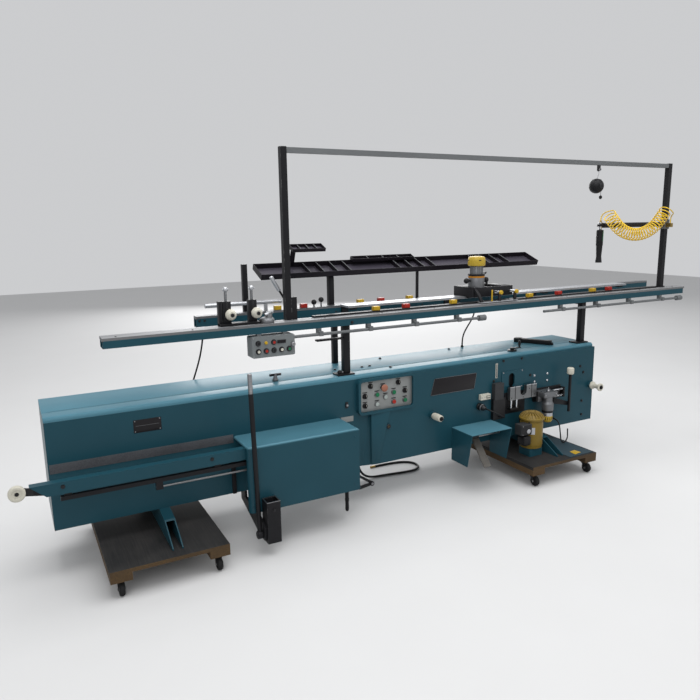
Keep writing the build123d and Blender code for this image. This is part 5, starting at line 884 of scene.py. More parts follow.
    def helix(self) -> list[Triple]:
        """Wind the coil round its sagging centre line.

        Returns:
            The coil's control points.
        """
        line = self.spline("coil_line", self.coil_line, 0)
        bpy.context.view_layer.update()
        dots = bpy.data.meshes.new_from_object(line)
        route = [dot.co.copy() for dot in dots.vertices]
        bpy.data.meshes.remove(dots)
        bpy.data.objects.remove(line)
        reach = [0]
        for first, second in zip(route, route[1:]):
            reach.append(reach[-1] + (second - first).length)
        count = round(self.coil_turns * self.turn_points)
        radius = self.coil_radius / cos(pi / self.turn_points)
        wound = []
        for number in range(count + 1):
            along = reach[-1] * number / count
            index = max(place for place in range(len(route) - 1) if reach[place] <= along + 1e-9)
            share = (along - reach[index]) / (reach[index + 1] - reach[index])
            ahead = (route[index + 1] - route[index]).normalized()
            centre = route[index].lerp(route[index + 1], share)
            phase = 2 * pi * number / self.turn_points
            wind = FRONT.cross(ahead) * cos(phase) + FRONT * sin(phase)
            wound.append(tuple(centre + wind * radius))
        return wound

    def gland(self, form: Form, seat: Triple, out: Vector) -> None:
        """Add a tapered strain relief, its nut against a seat."""
        half, far = self.gland_wide / 2, self.gland_long
        outline = [(0, 0), (half, 0), (half, 4), (half * 0.84, 5), (half * 0.8, 8), (half * 0.6, far),
                   (0, far)]
        form.turned(seat, out, outline, BLACK_PLASTIC, edge=0.3, steps=24)

    def held(self) -> None:
        """Lay the leads that are held at both ends, with their strain reliefs and the plug."""
        for name, points, wide in (
            ("left_drop_lead", self.left_drop, self.drop_wide),
            ("middle_drop_lead", self.middle_drop, self.drop_wide),
            ("connector_lead", self.panel_lead, self.lead_wide),
        ):
            self.lay(name, points, wide, JACKET, "held_leads")
        ends = Form("lead_glands")
        for seat, out in (
            ((-1223.75, 258, 1011), DOWN), ((-1301.75, 271, 627), BACK), ((541.25, 258, 1011), DOWN),
            ((438.25, 250, TOP_Z), UP), ((430.25, -128, 377), FRONT),
        ):
            self.gland(ends, seat, out)
        plug, teeth = Vector((295.25, PANEL_Y, 450)), 24
        shell = [(0, 0), (21, 0), (21, 10), (19, 12), (19, 34), (16.5, 36), (16.5, 44), (14, 47), (8, 60),
                 (6, 62), (0, 62)]
        ends.turned(plug, FRONT, shell, DARK_STEEL, edge=0.5)
        ends.turned(plug, FRONT, [(19, 28), (20.4, 29), (20.4, 33), (19, 34)], STEEL)
        for turn in (2 * pi * number / teeth for number in range(teeth)):
            spot = plug + Vector((19.2 * cos(turn), -13, 19.2 * sin(turn)))
            ends.rod(spot, spot + FRONT * 14, 2.2, DARK_STEEL, edge=0, sides=6)
        ends.done(MACHINE, "held_leads")

    def loose(self) -> None:
        """Lay the deck cable and the floor hose and hang the coil."""
        cable = self.lay("deck_cable_lead", self.deck_cable, self.lead_wide, JACKET, "deck_cable")
        relief = Form("deck_cable_gland")
        self.gland(relief, (886.25, PANEL_Y, 287), FRONT)
        relief_piece = relief.done(MACHINE, "deck_cable")
        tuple(self.deck_cable[0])
        hose = self.lay("floor_air_hose", self.floor_hose, self.floor_wide, JACKET, "floor_hose")
        tail = Form("floor_hose_ends")
        self.gland(tail, (-353.75, 215, 227), DOWN)
        collar = [(0, 0), (7.1, 0), (7.1, 20), (6.4, 21), (6.4, 24), (7.1, 25), (7.1, 33), (5, 34), (0, 34)]
        tail.turned((-145.75, 361, 7.3), LEFT, collar, BRASS, edge=0.3)
        tail_piece = tail.done(MACHINE, "floor_hose")
        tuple(self.floor_hose[0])
        wound = [*self.coil_start, *self.helix(), *self.coil_end]
        coil = self.lay("yellow_coil", wound, self.coil_wide, HOSE, "coil_hose")
        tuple(self.coil_start[0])

    def build(self) -> None:
        """Make every cord, its strain reliefs and its end fittings."""
        self.held()
        self.loose()


@dataclass
class Cabinet:
    """The long housing, its top cover and panel, and the small fittings screwed to them."""

    left: float = -2013.75
    right: float = 1236.25
    front: float = SHELL_Y
    back: float = 271
    floor: float = 227
    lid: float = 713
    top: float = TOP_Z
    panel: float = PANEL_Y
    black_plate: Outline = ((-26.75, 657), (270.25, 656), (254.25, 564), (-52.75, 563))
    panel_bolts: Outline = (
        (401, 589.5), (688, 591), (472, 704), (615, 704), (1115, 597), (1144, 554), (1143, 364), (1147, 270),
    )
    bright_bolts: Outline = ((723.3, 583.1), (829.4, 584.1), (830.2, 540.5), (725.4, 544.1))
    top_bolts: Outline = ((-395, 69), (-343, 73), (-261, -14), (-554, 87), (-191, 216), (322, 233))
    roller_pins: Outline = ((-41.75, 450), (1212.25, 462))
    switch_x: float = 327.25
    switch_z: float = 507
    switch_front: float = -126
    crank_x: float = 612.25
    crank_y: float = -20
    tee_x: float = -927
    tee_y: float = 22

    def paint(self) -> None:
        """Dress the housing and the front panel."""
        shell = Edges((self.left, self.front, self.floor), (self.right, self.back, self.lid), 6)
        dress("cabinet_shell", TEAL, worn=(shell,))
        box = Zone((291, -127, 490), (363.5, self.panel - 0.4, 524), CREAM)
        pins = [Disc((x, self.panel, z), 1, 16, (-200, self.panel - 0.3), STEEL) for x, z in self.roller_pins]
        sheet = Edges((-437, self.panel, self.floor), (self.right, self.front, self.lid), 6)
        dress("front_panel", TEAL, zones=(box, *pins), worn=(sheet,))

    def cover(self) -> None:
        """Make the top cover with its round edge and seam, the crank's flange and the loose bar on it."""
        form = Form("top_cover")
        bend, seam, deep = 16, 3, 1.5
        turns = [radians(180 - 11.25 * step) for step in range(9)]
        rim = [(self.front + bend + bend * cos(turn), self.top - bend + bend * sin(turn)) for turn in turns]
        groove = ((0, self.top), (0, self.top - deep), (seam, self.top - deep), (seam, self.top))
        ends = ((self.back, self.top), (self.back, self.lid))
        outline = [(self.left, y, z) for y, z in ((self.front, self.lid), *rim, *groove, *ends)]
        # The cover is laid in the lighter teal: a painted sheen of the light on the top
        form.prism(outline, (self.right - self.left, 0, 0), SHEEN_TEAL, edge=0.4)
        pivot = Vector((self.crank_x, self.crank_y, self.top))
        form.rod(pivot - UP, pivot + UP * 8, 56, DARK_STEEL, edge=1.5)
        form.rod(pivot + UP * 7, pivot + UP * 24, 12, STEEL)
        start, end = Vector((845, 214, self.top)), Vector((953, 0, self.top))
        along = (end - start).normalized()
        side = along.cross(UP) * 19
        form.prism([start - side, start + side, end + side, end - side], UP * 27, BLACK, edge=4, segments=3)
        wide = side * 1.06
        for near, far in ((start, start + along * 46), (end - along * 30, end + along * 2)):
            form.prism([near - wide, near + wide, far + wide, far - wide], UP * 28.5, BLACK_PLASTIC, edge=2)
        form.block((944, -14, self.top), (962, -4, self.top + 18), DARK_STEEL)
        form.done(MACHINE, "cabinet_top")

    def plates(self) -> None:
        """Fix the bare plates, the ruled and label strips, the dark strips, a black block painted as the
        shade behind the panel's slot, and the panel's slanted flank.
        """
        form = Form("bare_plates")
        corners = [Vector((x, self.panel, z)) for x, z in self.black_plate]
        form.prism(corners, FRONT * 1.6, PLATE_BLACK, edge=0.4)
        rim = [corner + FRONT * 1.5 for corner in corners]
        for first, second in zip(rim, rim[1:] + rim[:1]):
            form.rod(first.lerp(second, 0.02), first.lerp(second, 0.98), 2, DULL_ALUMINIUM, edge=0, sides=8)
        for low, high, finish, edge in (
            ((-1652.75, -86.4, 609), (-1529.75, self.front, 669), PLATE_BLACK, 0.5),
            ((-1642.75, -86.9, 640), (-1539.75, -86.3, 641.2), DULL_ALUMINIUM, 0.1),
            ((-2008.75, -86.6, 485), (-1196.75, self.front, 527), RULED, 0.4),
            ((413, -105.2, 605), (428, self.panel, 694), CREAM, 0.4),
            ((416, -105.6, 609), (425, -105.1, 690), SCALE, 0.1),
            ((-611, -86, 489), (-536, self.front, 518), FACE, 0.3),
            # A black block in the panel's hollow behind its slot: painted shade where the cabinet face lies
            # in shadow
            ((505, -86.2, 528), (570, self.front, 632), BLACK, 0.3),
            ((-1214, -98, 228), (-1195.5, self.front, 419), BLACK, 1),
            ((-1995, 10.6, self.top), (1225, 12.4, self.top + 0.4), DARK_STEEL, 0.1),
        ):
            form.block(low, high, finish, edge)
        form.pans(((-1646, -1536.5), (-86.4,), (615, 663)), FRONT, 5, STEEL)
        slant = [(x, y, z) for y in (self.panel, self.panel - 7) for x, z in ((-321, 522), (-396, 230))]
        form.hull([(-437, self.panel, 522), (-437, self.panel, 230), *slant], TEAL)
        form.done(MACHINE)

    def bolts(self) -> None:
        """Fit the screw heads of the panel, plate and top, the lock, the catch and the T knob."""
        form = Form("cabinet_bolts")
        for x, z in self.panel_bolts:
            form.screw((x, self.panel, z), FRONT, 13, DARK_STEEL)
        for x, z in self.bright_bolts:
            form.pan((x, self.panel, z), FRONT, 15, CHROME)
        form.pans(((472, 619), (-108,), (533, 630)), FRONT, 9, STEEL)
        form.screw((636, self.front, 702), FRONT, 12, DARK_STEEL, tall=4)
        for x, y in self.top_bolts:
            form.screw((x, y, self.top), UP, 14, DARK_STEEL)
        lock = [(0, 0), (13, 0), (13, 3), (11, 5), (4, 5), (3, 3.5), (0, 3.5)]
        form.turned((-332.75, self.panel - 6, 432), FRONT, lock, DARK_STEEL, edge=0.3, steps=28)
        form.block((-334, -115, 428), (-331.5, -113, 436), BRASS, edge=0.2)
        form.block((-583, -90, 566), (-567, self.front, 598), DARK_STEEL)
        form.rod((-575, -90, 582), (-575, -96, 582), 12, STEEL)
        stem = [(0, 0), (15, 0), (15, 10), (10, 16), (8.5, 36), (0, 37)]
        tee = Vector((self.tee_x, self.tee_y, self.top))
        form.turned(tee, UP, stem, DULL_ALUMINIUM, edge=0.5, steps=24)
        tee += UP * 33
        form.rod(tee + LEFT * 31, tee + RIGHT * 32, 13, DARK_STEEL, edge=2)
        form.done(MACHINE)

    def switch(self) -> None:
        """Fit the rocker and cover screws of the white switch box."""
        form = Form("switch_rocker")
        x, y, z = self.switch_x, self.switch_front, self.switch_z
        form.block((x + 4, y - 3, z - 8), (x + 30, y, z + 8), BLACK_PLASTIC, edge=0.8)
        wedge = ((x + 6, y - 2.5, z - 6), (x + 6, y - 2.5, z + 6), (x + 6, y - 5.5, z + 6))
        form.prism(wedge, RIGHT * 22, CREAM, edge=0.3)
        form.pans(((x - 28, x - 8), (y,), (z,)), FRONT, 6, STEEL)
        form.done(MACHINE)

    def crank(self) -> None:
        """Make the small hand crank on the top."""
        form = Form("crank_handle")
        x, y, low = self.crank_x, self.crank_y, 743.3
        form.turned((x, y, low), UP, ring(7, 13, 0, 12), DARK_STEEL, edge=0.5)
        arm = ((6, -9), (66, -7), (66, 7), (6, 9))
        form.prism([(x + out, y + side, low + 5) for out, side in arm], UP * 7, DARK_STEEL, edge=1.5)
        grip = [(0, 0), (5, 0), (5, 8), (7.5, 10), (8.5, 22), (8, 36), (6, 42), (0, 43)]
        form.turned((x + 58, y, low + 10.5), UP, grip, BLACK_PLASTIC)
        form.moving("top_crank")

    def rollers(self) -> None:
        """Turn the two white rollers on the panel's pins and fit their bolts."""
        barrel = [(6.2, 0), (14, 0), (17.5, 3), (19.3, 14), (20, 37), (19.3, 60), (17.5, 71), (14, 74),
                  (6.2, 74)]
        spool = [(6.2, 0), (23, 0), (25, 2), (25, 10), (22, 14), (15, 22), (14, 37), (15, 52), (22, 60),
                 (25, 64), (25, 72), (23, 74), (6.2, 74)]
        bolts = Form("roller_bolts")
        for (x, z), node, outline in zip(self.roller_pins, ("door_roller", "end_spool"), (barrel, spool)):
            form = Form(f"{node}_barrel")
            form.turned((x, -120.3, z), FRONT, outline, CREAM, edge=0.4)
            form.moving(node)
            bolts.turned((x, -194.6, z), FRONT, ring(0, 13, 0, 2), DARK_STEEL, edge=0.3)
            bolts.rod((x, -196.5, z), (x, -203, z), 18, BLACK, edge=1, sides=6)
        bolts.done(MACHINE)

    def build(self) -> None:
        """Dress and fit out the whole cabinet."""
        self.paint()
        self.cover()
        self.plates()
        self.bolts()
        self.switch()
        self.crank()
        self.rollers()


class Action(Enum):
    """What a round control on the plate does."""

    GREEN = "green"
    RED = "red"
    LAMP = "lamp"
    STOP = "stop"
    TURN = "turn"


@dataclass
class Controls:
    """The control plate with its round controls, and the lower box's panel."""

    x: float = -337.75
    z: float = 614
    wide: float = 328
    tall: float = 167
    back: float = -93
    thick: float = 3
    bezel: float = 30
    bezel_tall: float = 7
    button: float = 22
    spots: Sequence[tuple[Action, float, float, str]] = (
        (Action.GREEN, -59, 3, "green_button_1"), (Action.GREEN, 46, 3, "green_button_2"),
        (Action.GREEN, 118, -50, "green_button_3"), (Action.RED, 46, -50, "red_button"),
        (Action.LAMP, -6, -17, ""), (Action.LAMP, -59, -50, ""),
        (Action.STOP, -22, 38, "emergency_stop"),
        (Action.TURN, -99, 54, "selector_1"), (Action.TURN, 75, 54, "selector_2"),
        (Action.TURN, 118, 3, "selector_3"), (Action.TURN, -133, 3, "selector_4"),
        (Action.TURN, -133, -50, "selector_5"),
    )

    def plate(self) -> None:
        """Make the plate, its bezels, lamps, screws and bare legend tabs."""
        form = Form("control_face_plate")
        half, high, rim = self.wide / 2, self.tall / 2, self.bezel / 2
        corners = ((-half, -high), (half, -high), (half, high), (-half, high))
        shape = [(self.x + x, self.back, self.z + z) for x, z in corners]
        form.prism(shape, FRONT * self.thick, FACE, edge=0.5)
        face = self.back - self.thick
        for action, across, up, _ in self.spots:
            x, z = self.x + across, self.z + up
            inner = 0 if action is Action.LAMP else self.button / 2 + 0.6
            tall = self.bezel_tall - (1.5 if action is Action.STOP else 0)
            bezel = [(inner, 0), (rim, 0), (rim, 2), (rim - 1, 3.2), (rim - 1.8, tall), (inner, tall)]
            metal = DARK_STEEL if action in (Action.STOP, Action.TURN) else MACHINED
            form.turned((x, face, z), FRONT, bezel, metal, edge=0.3, steps=32)
            if action is Action.LAMP:
                lens = [(0, 7), (11, 7), (10, 9), (6, 10), (0, 10)]
                form.turned((x, face, z), FRONT, lens, LENS, steps=28)
            form.block((x - 14, face - 0.8, z + 17), (x + 14, face, z + 22), BLACK_PLASTIC, edge=0.2)
        for across, up in corners:
            form.pan((self.x + across * 0.955, face, self.z + up * 0.91), FRONT, 7, STEEL)
        for across, up in corners:
            x, z = self.x + across * 0.93, self.z + up * 0.86
            form.rod((x, SHELL_Y, z), (x, self.back, z), 11, STEEL, edge=0.2, sides=16)
        form.done(MACHINE, "control_plate")

    def knobs(self) -> None:
        """Make the buttons, the mushroom stop and the selectors."""
        half = self.button / 2
        for action, across, up, node in self.spots:
            if action is Action.LAMP:
                continue
            form = Form(f"{node}_cap")
            x, y, z = spot = (self.x + across, self.back - 7.5, self.z + up)
            if action is Action.STOP:
                stem = [(0, 1.9), (half, 1.9), (half, 7.5), (half - 1, 8.5), (0, 8.5)]
                form.turned(spot, FRONT, stem, DARK_STEEL, steps=32)
                crown = [(0, 8.4), (half, 8.4), (18.5, 12), (20, 15.5), (19.4, 18.5), (16, 21.3), (9, 22.9),
                         (0, 23.4)]
                form.turned(spot, FRONT, crown, MUSHROOM, steps=40)
            elif action is Action.TURN:
                collar = [(0, 0), (half, 0), (half, 2.4), (half - 1, 3), (0, 3)]
                form.turned(spot, FRONT, collar, BLACK_PLASTIC, steps=32)
                wing = ((x - 4, z - 10.5), (x + 4, z - 10.5), (x + 3, z + 10.5), (x - 3, z + 10.5))
                shape = [(side, y - 2.8, rise) for side, rise in wing]
                form.prism(shape, FRONT * 10.5, BLACK_PLASTIC, edge=1.4, segments=3)
                form.block((x - 0.8, y - 13.6, z + 1), (x + 0.8, y - 13, z + 9), CREAM, edge=0.15)
            else:
                cap = [(0, 0), (half, 0), (half, 5.5), (half - 1.5, 7.2), (half - 4, 7), (0, 6.6)]
                colour = GREEN_PLASTIC if action is Action.GREEN else RED_PLASTIC
                form.turned(spot, FRONT, cap, colour, steps=32)
            form.moving(node)

    def lower_box(self) -> None:
        """Dress the lower box, colour its buttons and add their collars, the side knob and the screws."""
        face, row, upper, pitch = -81, 917, 957, 40
        colours = (CREAM, RED_PLASTIC, BLACK_PLASTIC, CREAM, GREEN_PLASTIC)
        spots = [(-967.75 + pitch * (number - 2), row, finish) for number, finish in enumerate(colours)]
        spots += [(-1047.75, upper, BLACK_PLASTIC), (-967.75, upper, RED_PLASTIC)]
        caps = [Disc((x, face, z), 1, 11.5, (-95, face - 0.4), CASTING) for x, z, _ in spots]
        caps += [Disc((x, face, z), 1, 7, (-95, face - 5), finish) for x, z, finish in spots]
        dress(
            "control_box", GREY,
            zones=(Zone((-1079, -95, 884), (-856.5, -8, 990), PALE),
                   Zone((-950, -87, 948.5), (-905.5, face - 0.4, 965.5), PLATE_BLACK), *caps),
        )
        form = Form("lower_box_fittings")
        collar = [(10.3, 0), (14, 0), (14, 2.4), (12.8, 4.4), (10.3, 4.4)]
        for x, z, _ in spots:
            form.turned((x, face, z), FRONT, collar, DARK_STEEL, steps=28)
        button = [(0, 0), (8, 0), (8, 5), (6.5, 8), (0, 8.6)]
        form.turned((-1008, face, upper), FRONT, button, YELLOW_PLASTIC, steps=28)
        knob = [(0, 0), (7, 0), (7, 5), (11, 6), (11, 14), (9, 16), (0, 16)]
        form.turned((-869, face, 939), FRONT, knob, STEEL, edge=0.4, steps=24)
        form.pans(((-1072, -863.5), (face,), (892, 982)), FRONT, 6, STEEL)
        form.done(MACHINE)

    def build(self) -> None:
        """Make the plate, its controls and the lower box."""
        self.plate()
        self.knobs()
        self.lower_box()


@dataclass
class Extension:
    """The box cover, sliding rail, end roller, tall lever and receiver at the left."""

    roller_x: float = -2138.75
    roller_z: float = 493
    lever_foot: Triple = (-1164.75, -320, 100)
    lever_head: Triple = (-1180.75, -320, 872.5)
    hang_x: float = -633.75

    def paint(self) -> None:
        """Dress the cover, the rail, the bar and the lever's frame."""
        dress(
            "box_cover", TEAL,
            # The cover's top strip is painted lighter teal: a painted sheen of the light from above
            zones=(Zone((-1200, -296, 511), (-606, -80, 520), SHEEN_TEAL, soft=4),),
            worn=(Edges((-1194.75, -290, 195), (-611.75, -85, 518), 6),),
        )
        rail = Edges((-2093.75, -253, 453), (-1023.75, -213, 505), 4)
        dress("extension_rail", TEAL, worn=(rail,))
        dress(
            "slide_bar", BLACK,
            zones=(Disc((-1500, -235, 396), 0, 6, (-2160, -1020), MACHINED),
                   Zone((-2160, -280, 446), (-2080, -200, 515), DARK_STEEL)),
        )
        dress(
            "lever_frame", BLACK,
            zones=(Zone((-1100, -200, 300), (-500, -25, 434), DULL_ALUMINIUM),
                   Zone((-1141, -365, 264.5), (-1072, -295, 269), STEEL)),
            worn=(Edges((-1139.45, -363, 62), (-1073.45, -297, 267), 4),),
        )

    def roller(self) -> None:
        """Turn the white end roller."""
        form = Form("end_roller_wheel")
        tyre = [(8.3, 0), (28, 0), (31.5, 2.5), (32.4, 8), (32.4, 17), (31.5, 22.5), (28, 25),
                (20, 25), (18, 22), (8.3, 22)]
        seat = (self.roller_x, -248.3, self.roller_z)
        form.turned(seat, FRONT, tyre, CREAM, edge=0.3, steps=48)
        form.moving("end_roller")

    def lever(self) -> None:
        """Make the tall hand lever with its boss, shaft and metal grip."""
        form = Form("tall_hand_lever")
        foot, head = Vector(self.lever_foot), Vector(self.lever_head)
        along = (head - foot).normalized()
        boss = [(8.3, -13), (17, -13), (19.5, -10.5), (19.5, 10.5), (17, 13), (8.3, 13)]
        form.turned(self.lever_foot, RIGHT, boss, BLACK, edge=0.4)
        form.rod(foot + along * 12, head - along * 92, 22, BLACK, edge=0.5)
        grip = [(0, -96), (9, -96), (10.2, -92), (10.2, -8), (9.4, -2), (7, 0), (0, 0)]
        form.turned(head, along, grip, STEEL, edge=0.4)
        band = [(9.9, -1.6), (10.8, -0.8), (10.8, 0.8), (9.9, 1.6)]
        for step in range(6):
            form.turned(head - along * (18 + 12 * step), along, band, STEEL)
        form.moving("tall_lever")

    def fittings(self) -> None:
        """Add the rail's bolts, the screws of cover and receiver, the pointed link and the hanging sleeve."""
        rail = Form("extension_bolts")
        for x in (-1971, -1351):
            rail.screw((x, -253, 485), FRONT, 13, DARK_STEEL)
        rail.done("extension")
        form = Form("cover_screws")
        form.pans(((-1178, -640), (-290,), (230, 480)), FRONT, 8, TEAL)
        form.screw((-1106.45, -363, 225), FRONT, 14, DARK_STEEL)
        upper = ((-640, 262), (-472, 147), (-460, 156), (-640, 277))
        lower = ((-468, 137), (-540, 127), (-562, 136), (-640, 205), (-640, 224), (-554, 152), (-540, 144),
                 (-461, 153))
        for link in (upper, lower):
            form.prism([(x, -156, z) for x, z in link], BACK * 11, BLACK, edge=1.5)
        form.rod((-466, -162, 147), (-466, -140, 147), 25, BLACK, edge=1.5)
        form.screw((-466, -162, 147), FRONT, 11, STEEL)
        sleeve = [(0, 0), (9.6, 0), (9.6, 104), (8.5, 110), (5, 113.5), (0, 114)]
        form.turned((self.hang_x, -185, 154), DOWN, sleeve, BLACK, edge=0.4)
        form.done(MACHINE)

    def build(self) -> None:
        """Make the left end's pieces."""
        self.paint()
        self.roller()
        self.lever()
        self.fittings()


@dataclass
class PedalStation:
    """The pedal hood and its foot strap."""

    x: float = 200.25
    y: float = -185
    z: float = 302
    wide: float = 48
    thick: float = 8

    def strap(self) -> None:
        """Make the foot strap with its hub and tread ribs."""
        low = Vector(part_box("pedal")[0]) / MM
        form = Form("foot_strap")
        hub = [(6.3, -24), (11, -24), (12, -23), (12, 23), (11, 24), (6.3, 24)]
        top = Vector((self.x, self.y, self.z))
        form.turned(top, RIGHT, hub, DARK_STEEL, edge=0.3)
        toe = Vector((self.x, low.y + 6, low.z + 4.5))
        along = (toe - top).normalized()
        face = along.cross(RIGHT).normalized()
        start = top + along * 10
        half, skin = RIGHT * (self.wide / 2), face * (self.thick / 2)
        shape = [start - half - skin, start + half - skin, toe + half - skin, toe - half - skin]
        form.prism(shape, face * self.thick, STRAP, edge=1.5)
        length = (toe - start).length
        for step in range(4):
            line = start + along * (length * (0.60 + 0.10 * step))
            for side in (-1, 1):
                rib = line + face * (side * self.thick / 2)
                form.rod(rib - half * 0.8, rib + half * 0.8, 2.4, STRAP, edge=0, sides=8)
        form.moving("pedal")

    def build(self) -> None:
        """Dress the hood and make the strap."""
        dress(
            "pedal_hood", TEAL,
            zones=(Disc((243, self.y, self.z), 0, 7, (102.5, 383.5), STEEL),
                   # The hood's top rim is painted lighter teal: a painted sheen of the light from above
                   Zone((98, -294, 351), (389, -100, 356), SHEEN_TEAL, soft=1.5)),
            worn=(Edges((100.25, -290, 158), (386.25, -104, 354), 6),),
        )
        self.strap()


@dataclass
class BoringStation:
    """The yellow motor with its ribbed dome, boxes and base, and the U saddle."""

    x: float = 626.25
    y: float = -195
    low: float = 175
    body: float = 186
    wide: float = 136
    rim: float = 149
    dome: float = 35
    ribs: int = 20
    rod_y: float = -129
    rods: tuple[float, float] = (519.25, 561.25)
    slide_y: float = -130
    slides: tuple[float, float] = (439, 477)

    def motor(self) -> None:
        """Make the motor's body, rim, ribbed dome, bolts and bare plate."""
        form = Form("yellow_motor")
        foot = Vector((self.x, self.y, self.low))
        half, rim, body = self.wide / 2, self.rim / 2, self.body
        skin = [(0, 0), (half - 8, 0), (half - 3, 3), (half - 3, 16), (half, 19), (half, body - 24),
                (half - 3, body - 22), (half - 3, body - 13)]
        form.turned(foot, UP, skin, MOTOR, edge=0.8, steps=56)
        collar = [(half - 3, body - 13), (rim, body - 11), (rim, body - 2), (rim - 2, body)]
        turns = [step * pi / 18 for step in range(1, 10)]
        crown = [((rim - 9) * cos(turn), body + (self.dome - 8) * sin(turn) - 1.5) for turn in turns]
        form.turned(foot, UP, collar + crown, MOTOR, edge=0.8, steps=56)
        line = ((rim - 2, -2), (rim - 7, 12), (rim - 20, 23), (rim - 38, 31), (22, 33.8), (22, 20),
                (rim - 16, -2))
        for away in spokes(self.ribs):
            side = away.cross(UP) * 2.4
            shape = [foot + away * wide + UP * (body + along) - side for wide, along in line]
            form.prism(shape, side * 2, DOME, segments=1)
        hub = [(0, body + 30), (21, body + 30), (21, body + 33.5), (18, body + 35), (0, body + 35)]
        form.turned(foot, UP, hub, DOME, edge=0.5)
        for angle in (35, 145, 215, 325):
            spot = foot + heading(radians(angle)) * (rim - 5) + UP * 148
            form.rod(spot, spot + UP * 22, 8, DARK_STEEL, edge=0.4, sides=12)
        plate = bent((self.x, self.y, 268), half - 0.5, half + 0.7, range(205, 250, 5))
        form.prism(plate, UP * 42, ALUMINIUM, edge=0)
        form.done(MACHINE, "boring_motor")

    def boxes(self) -> None:
        """Make the motor's wiring box with its round cover and the capacitor's box."""
        form = Form("motor_boxes")
        form.block((494.5, -254.8, 274.2), (574, -195.2, 337.8), CASTING, edge=2.5, segments=3)
        form.block((498, -256, 278), (566, -254, 334), DARK_STEEL, edge=0.6)
        cover = [(0, 0), (14, 0), (14, 2.5), (11, 4), (0, 4)]
        form.turned((548, -255.8, 296), FRONT, cover, ALUMINIUM, edge=0.3, steps=28)
        form.block((512.5, -261.8, 209.2), (566, -200.2, 264.8), BLACK_PLASTIC, edge=8, segments=4)
        form.pans(((504,), (-256,), (280, 332)), FRONT, 6, STEEL)
        form.done(MACHINE, "boring_motor")

    def build(self) -> None:
        """Dress the base and the saddle, and make the slide plates and the motor with its boxes."""
        rods = [Disc((x, self.rod_y, 400), 2, 6.6, (330, 580), CHROME) for x in self.rods]
        slides = [Disc((800, self.slide_y, z), 0, 8.2, (720.2, 938.2), CHROME) for z in self.slides]
        dress(
            "boring_base", DARK_STEEL,
            zones=(Zone((575.5, -246, 126), (677, -144, 174.8), TEAL),
                   Zone((388.5, -135, 478.5), (456, -103.5, 579), CASTING), *rods, *slides),
        )
        # Black discs on the saddle: painted shade standing for the dark inside of its holes
        hole_shades = [Disc((x, -141, z), 1, 3.4, (-143, -137), BLACK)
                 for x, z in ((512, 478), (604, 473), (696, 478), (650, 520), (696, 530))]
        lip = Zone((499, -142, 541.5), (709.5, -116, 546), CHROME)
        dress("saddle", MACHINED, zones=(lip, *hole_shades))
        plates = Form("slide_plates")
        plates.block((484, -106.6, 372), (648, -104, 505), BLACK, edge=0.6)
        plates.block((716, -107, 416), (946, -104, 500), BLACK, edge=0.6)
        plates.done(MACHINE)
        self.motor()
        self.boxes()


@dataclass
class LatchStation:
    """The inverted latch router on its slide, with the lever handle."""

    x: float = 776.25
    y: float = -172
    low: float = 299
    half: float = 54
    head_low: float = 459
    head_top: float = 491
    head_front: float = -197
    head_back: float = -147
    bar_x: float = 955.25
    bar_y: float = -174

    def motor(self, form: Form) -> None:
        """Add the hanging motor: yellow cap, bright band, black ring, grey case and nose."""
        foot = Vector((self.x, self.y, self.low))
        cap = [(0, 0), (20, 0), (24, 2), (29.5, 10), (31.5, 18), (31.5, 38), (30.5, 40), (0, 40)]
        case = [(0, 75.5), (34.8, 75.5), (34.8, 116), (33, 120), (27, 130), (27, 160.5), (0, 160.5)]
        for outline, finish, edge in (
            (cap, CAP, 0.6), (ring(0, 31, 39.5, 62.5), ALUMINIUM, 0.4),
            (ring(0, 34.4, 62, 76), BLACK_PLASTIC, 1.2), (case, DULL_ALUMINIUM, 0.6),
        ):
            form.turned(foot, UP, outline, finish, edge=edge, steps=44)
        form.slots(foot + UP * 16, spokes(14), 30.9, 2, 18, 1)
        form.ribs(foot + UP * 80, 20, 34, 32, 2.6, DULL_ALUMINIUM)
        nose = [(0, -1), (12, -1), (12, 6), (9, 12), (3, 12), (3, 26), (0, 26)]
        form.turned((self.x, self.y, self.head_top), UP, nose, STEEL, edge=0.3)

    def build(self) -> None:
        """Make the slider, head, hanging motor, knob and lever handle."""
        form = Form("lower_router")
        x, half = self.x, self.half
        form.block((x - half, self.head_back, 425), (x + half, -113.5, self.head_top), DULL_ALUMINIUM,
                   edge=1.5)
        form.block((x - half, self.head_front, self.head_low), (x + half, self.head_back + 1, self.head_top),
                   DULL_ALUMINIUM, edge=2.5)
        self.motor(form)
        seat = (x + half, self.y, 475)
        knob = [(0, 0), (6, 0), (6, 8), (13, 9), (14.5, 11), (14.5, 24), (13, 26), (0, 26)]
        form.turned(seat, RIGHT, knob, BLACK_PLASTIC, edge=0.4)
        form.turned(seat, RIGHT, [(0, 25.5), (10, 25.5), (9, 27.8), (0, 28)], ALUMINIUM)
        arm = ((x + 46, 405), (self.bar_x, 375), (self.bar_x, 401), (x + 46, 445))
        form.prism([(across, -167, z) for across, z in arm], BACK * 8, BLACK, edge=1.5)
        form.block((x + 38, -167, 405), (x + half, self.head_back, self.head_low + 1), BLACK)
        form.block((self.bar_x - 7, self.bar_y - 7, 337), (self.bar_x + 7, self.bar_y + 7, 582), BLACK,
                   edge=2.5, segments=3)
        button = [(0, -4), (14, -4), (20, 0), (21.5, 4), (21.5, 30), (20, 35.5), (16, 38), (0, 38)]
        form.turned((self.bar_x, self.bar_y, 581), UP, button, CREAM)
        sides = (x - 42, x + 42)
        form.pans((sides, (-188, -156), (self.head_top,)), UP, 9, DARK_STEEL)
        form.pans((sides, (self.head_front,), (475,)), FRONT, 9, STEEL)
        form.moving("latch_router")


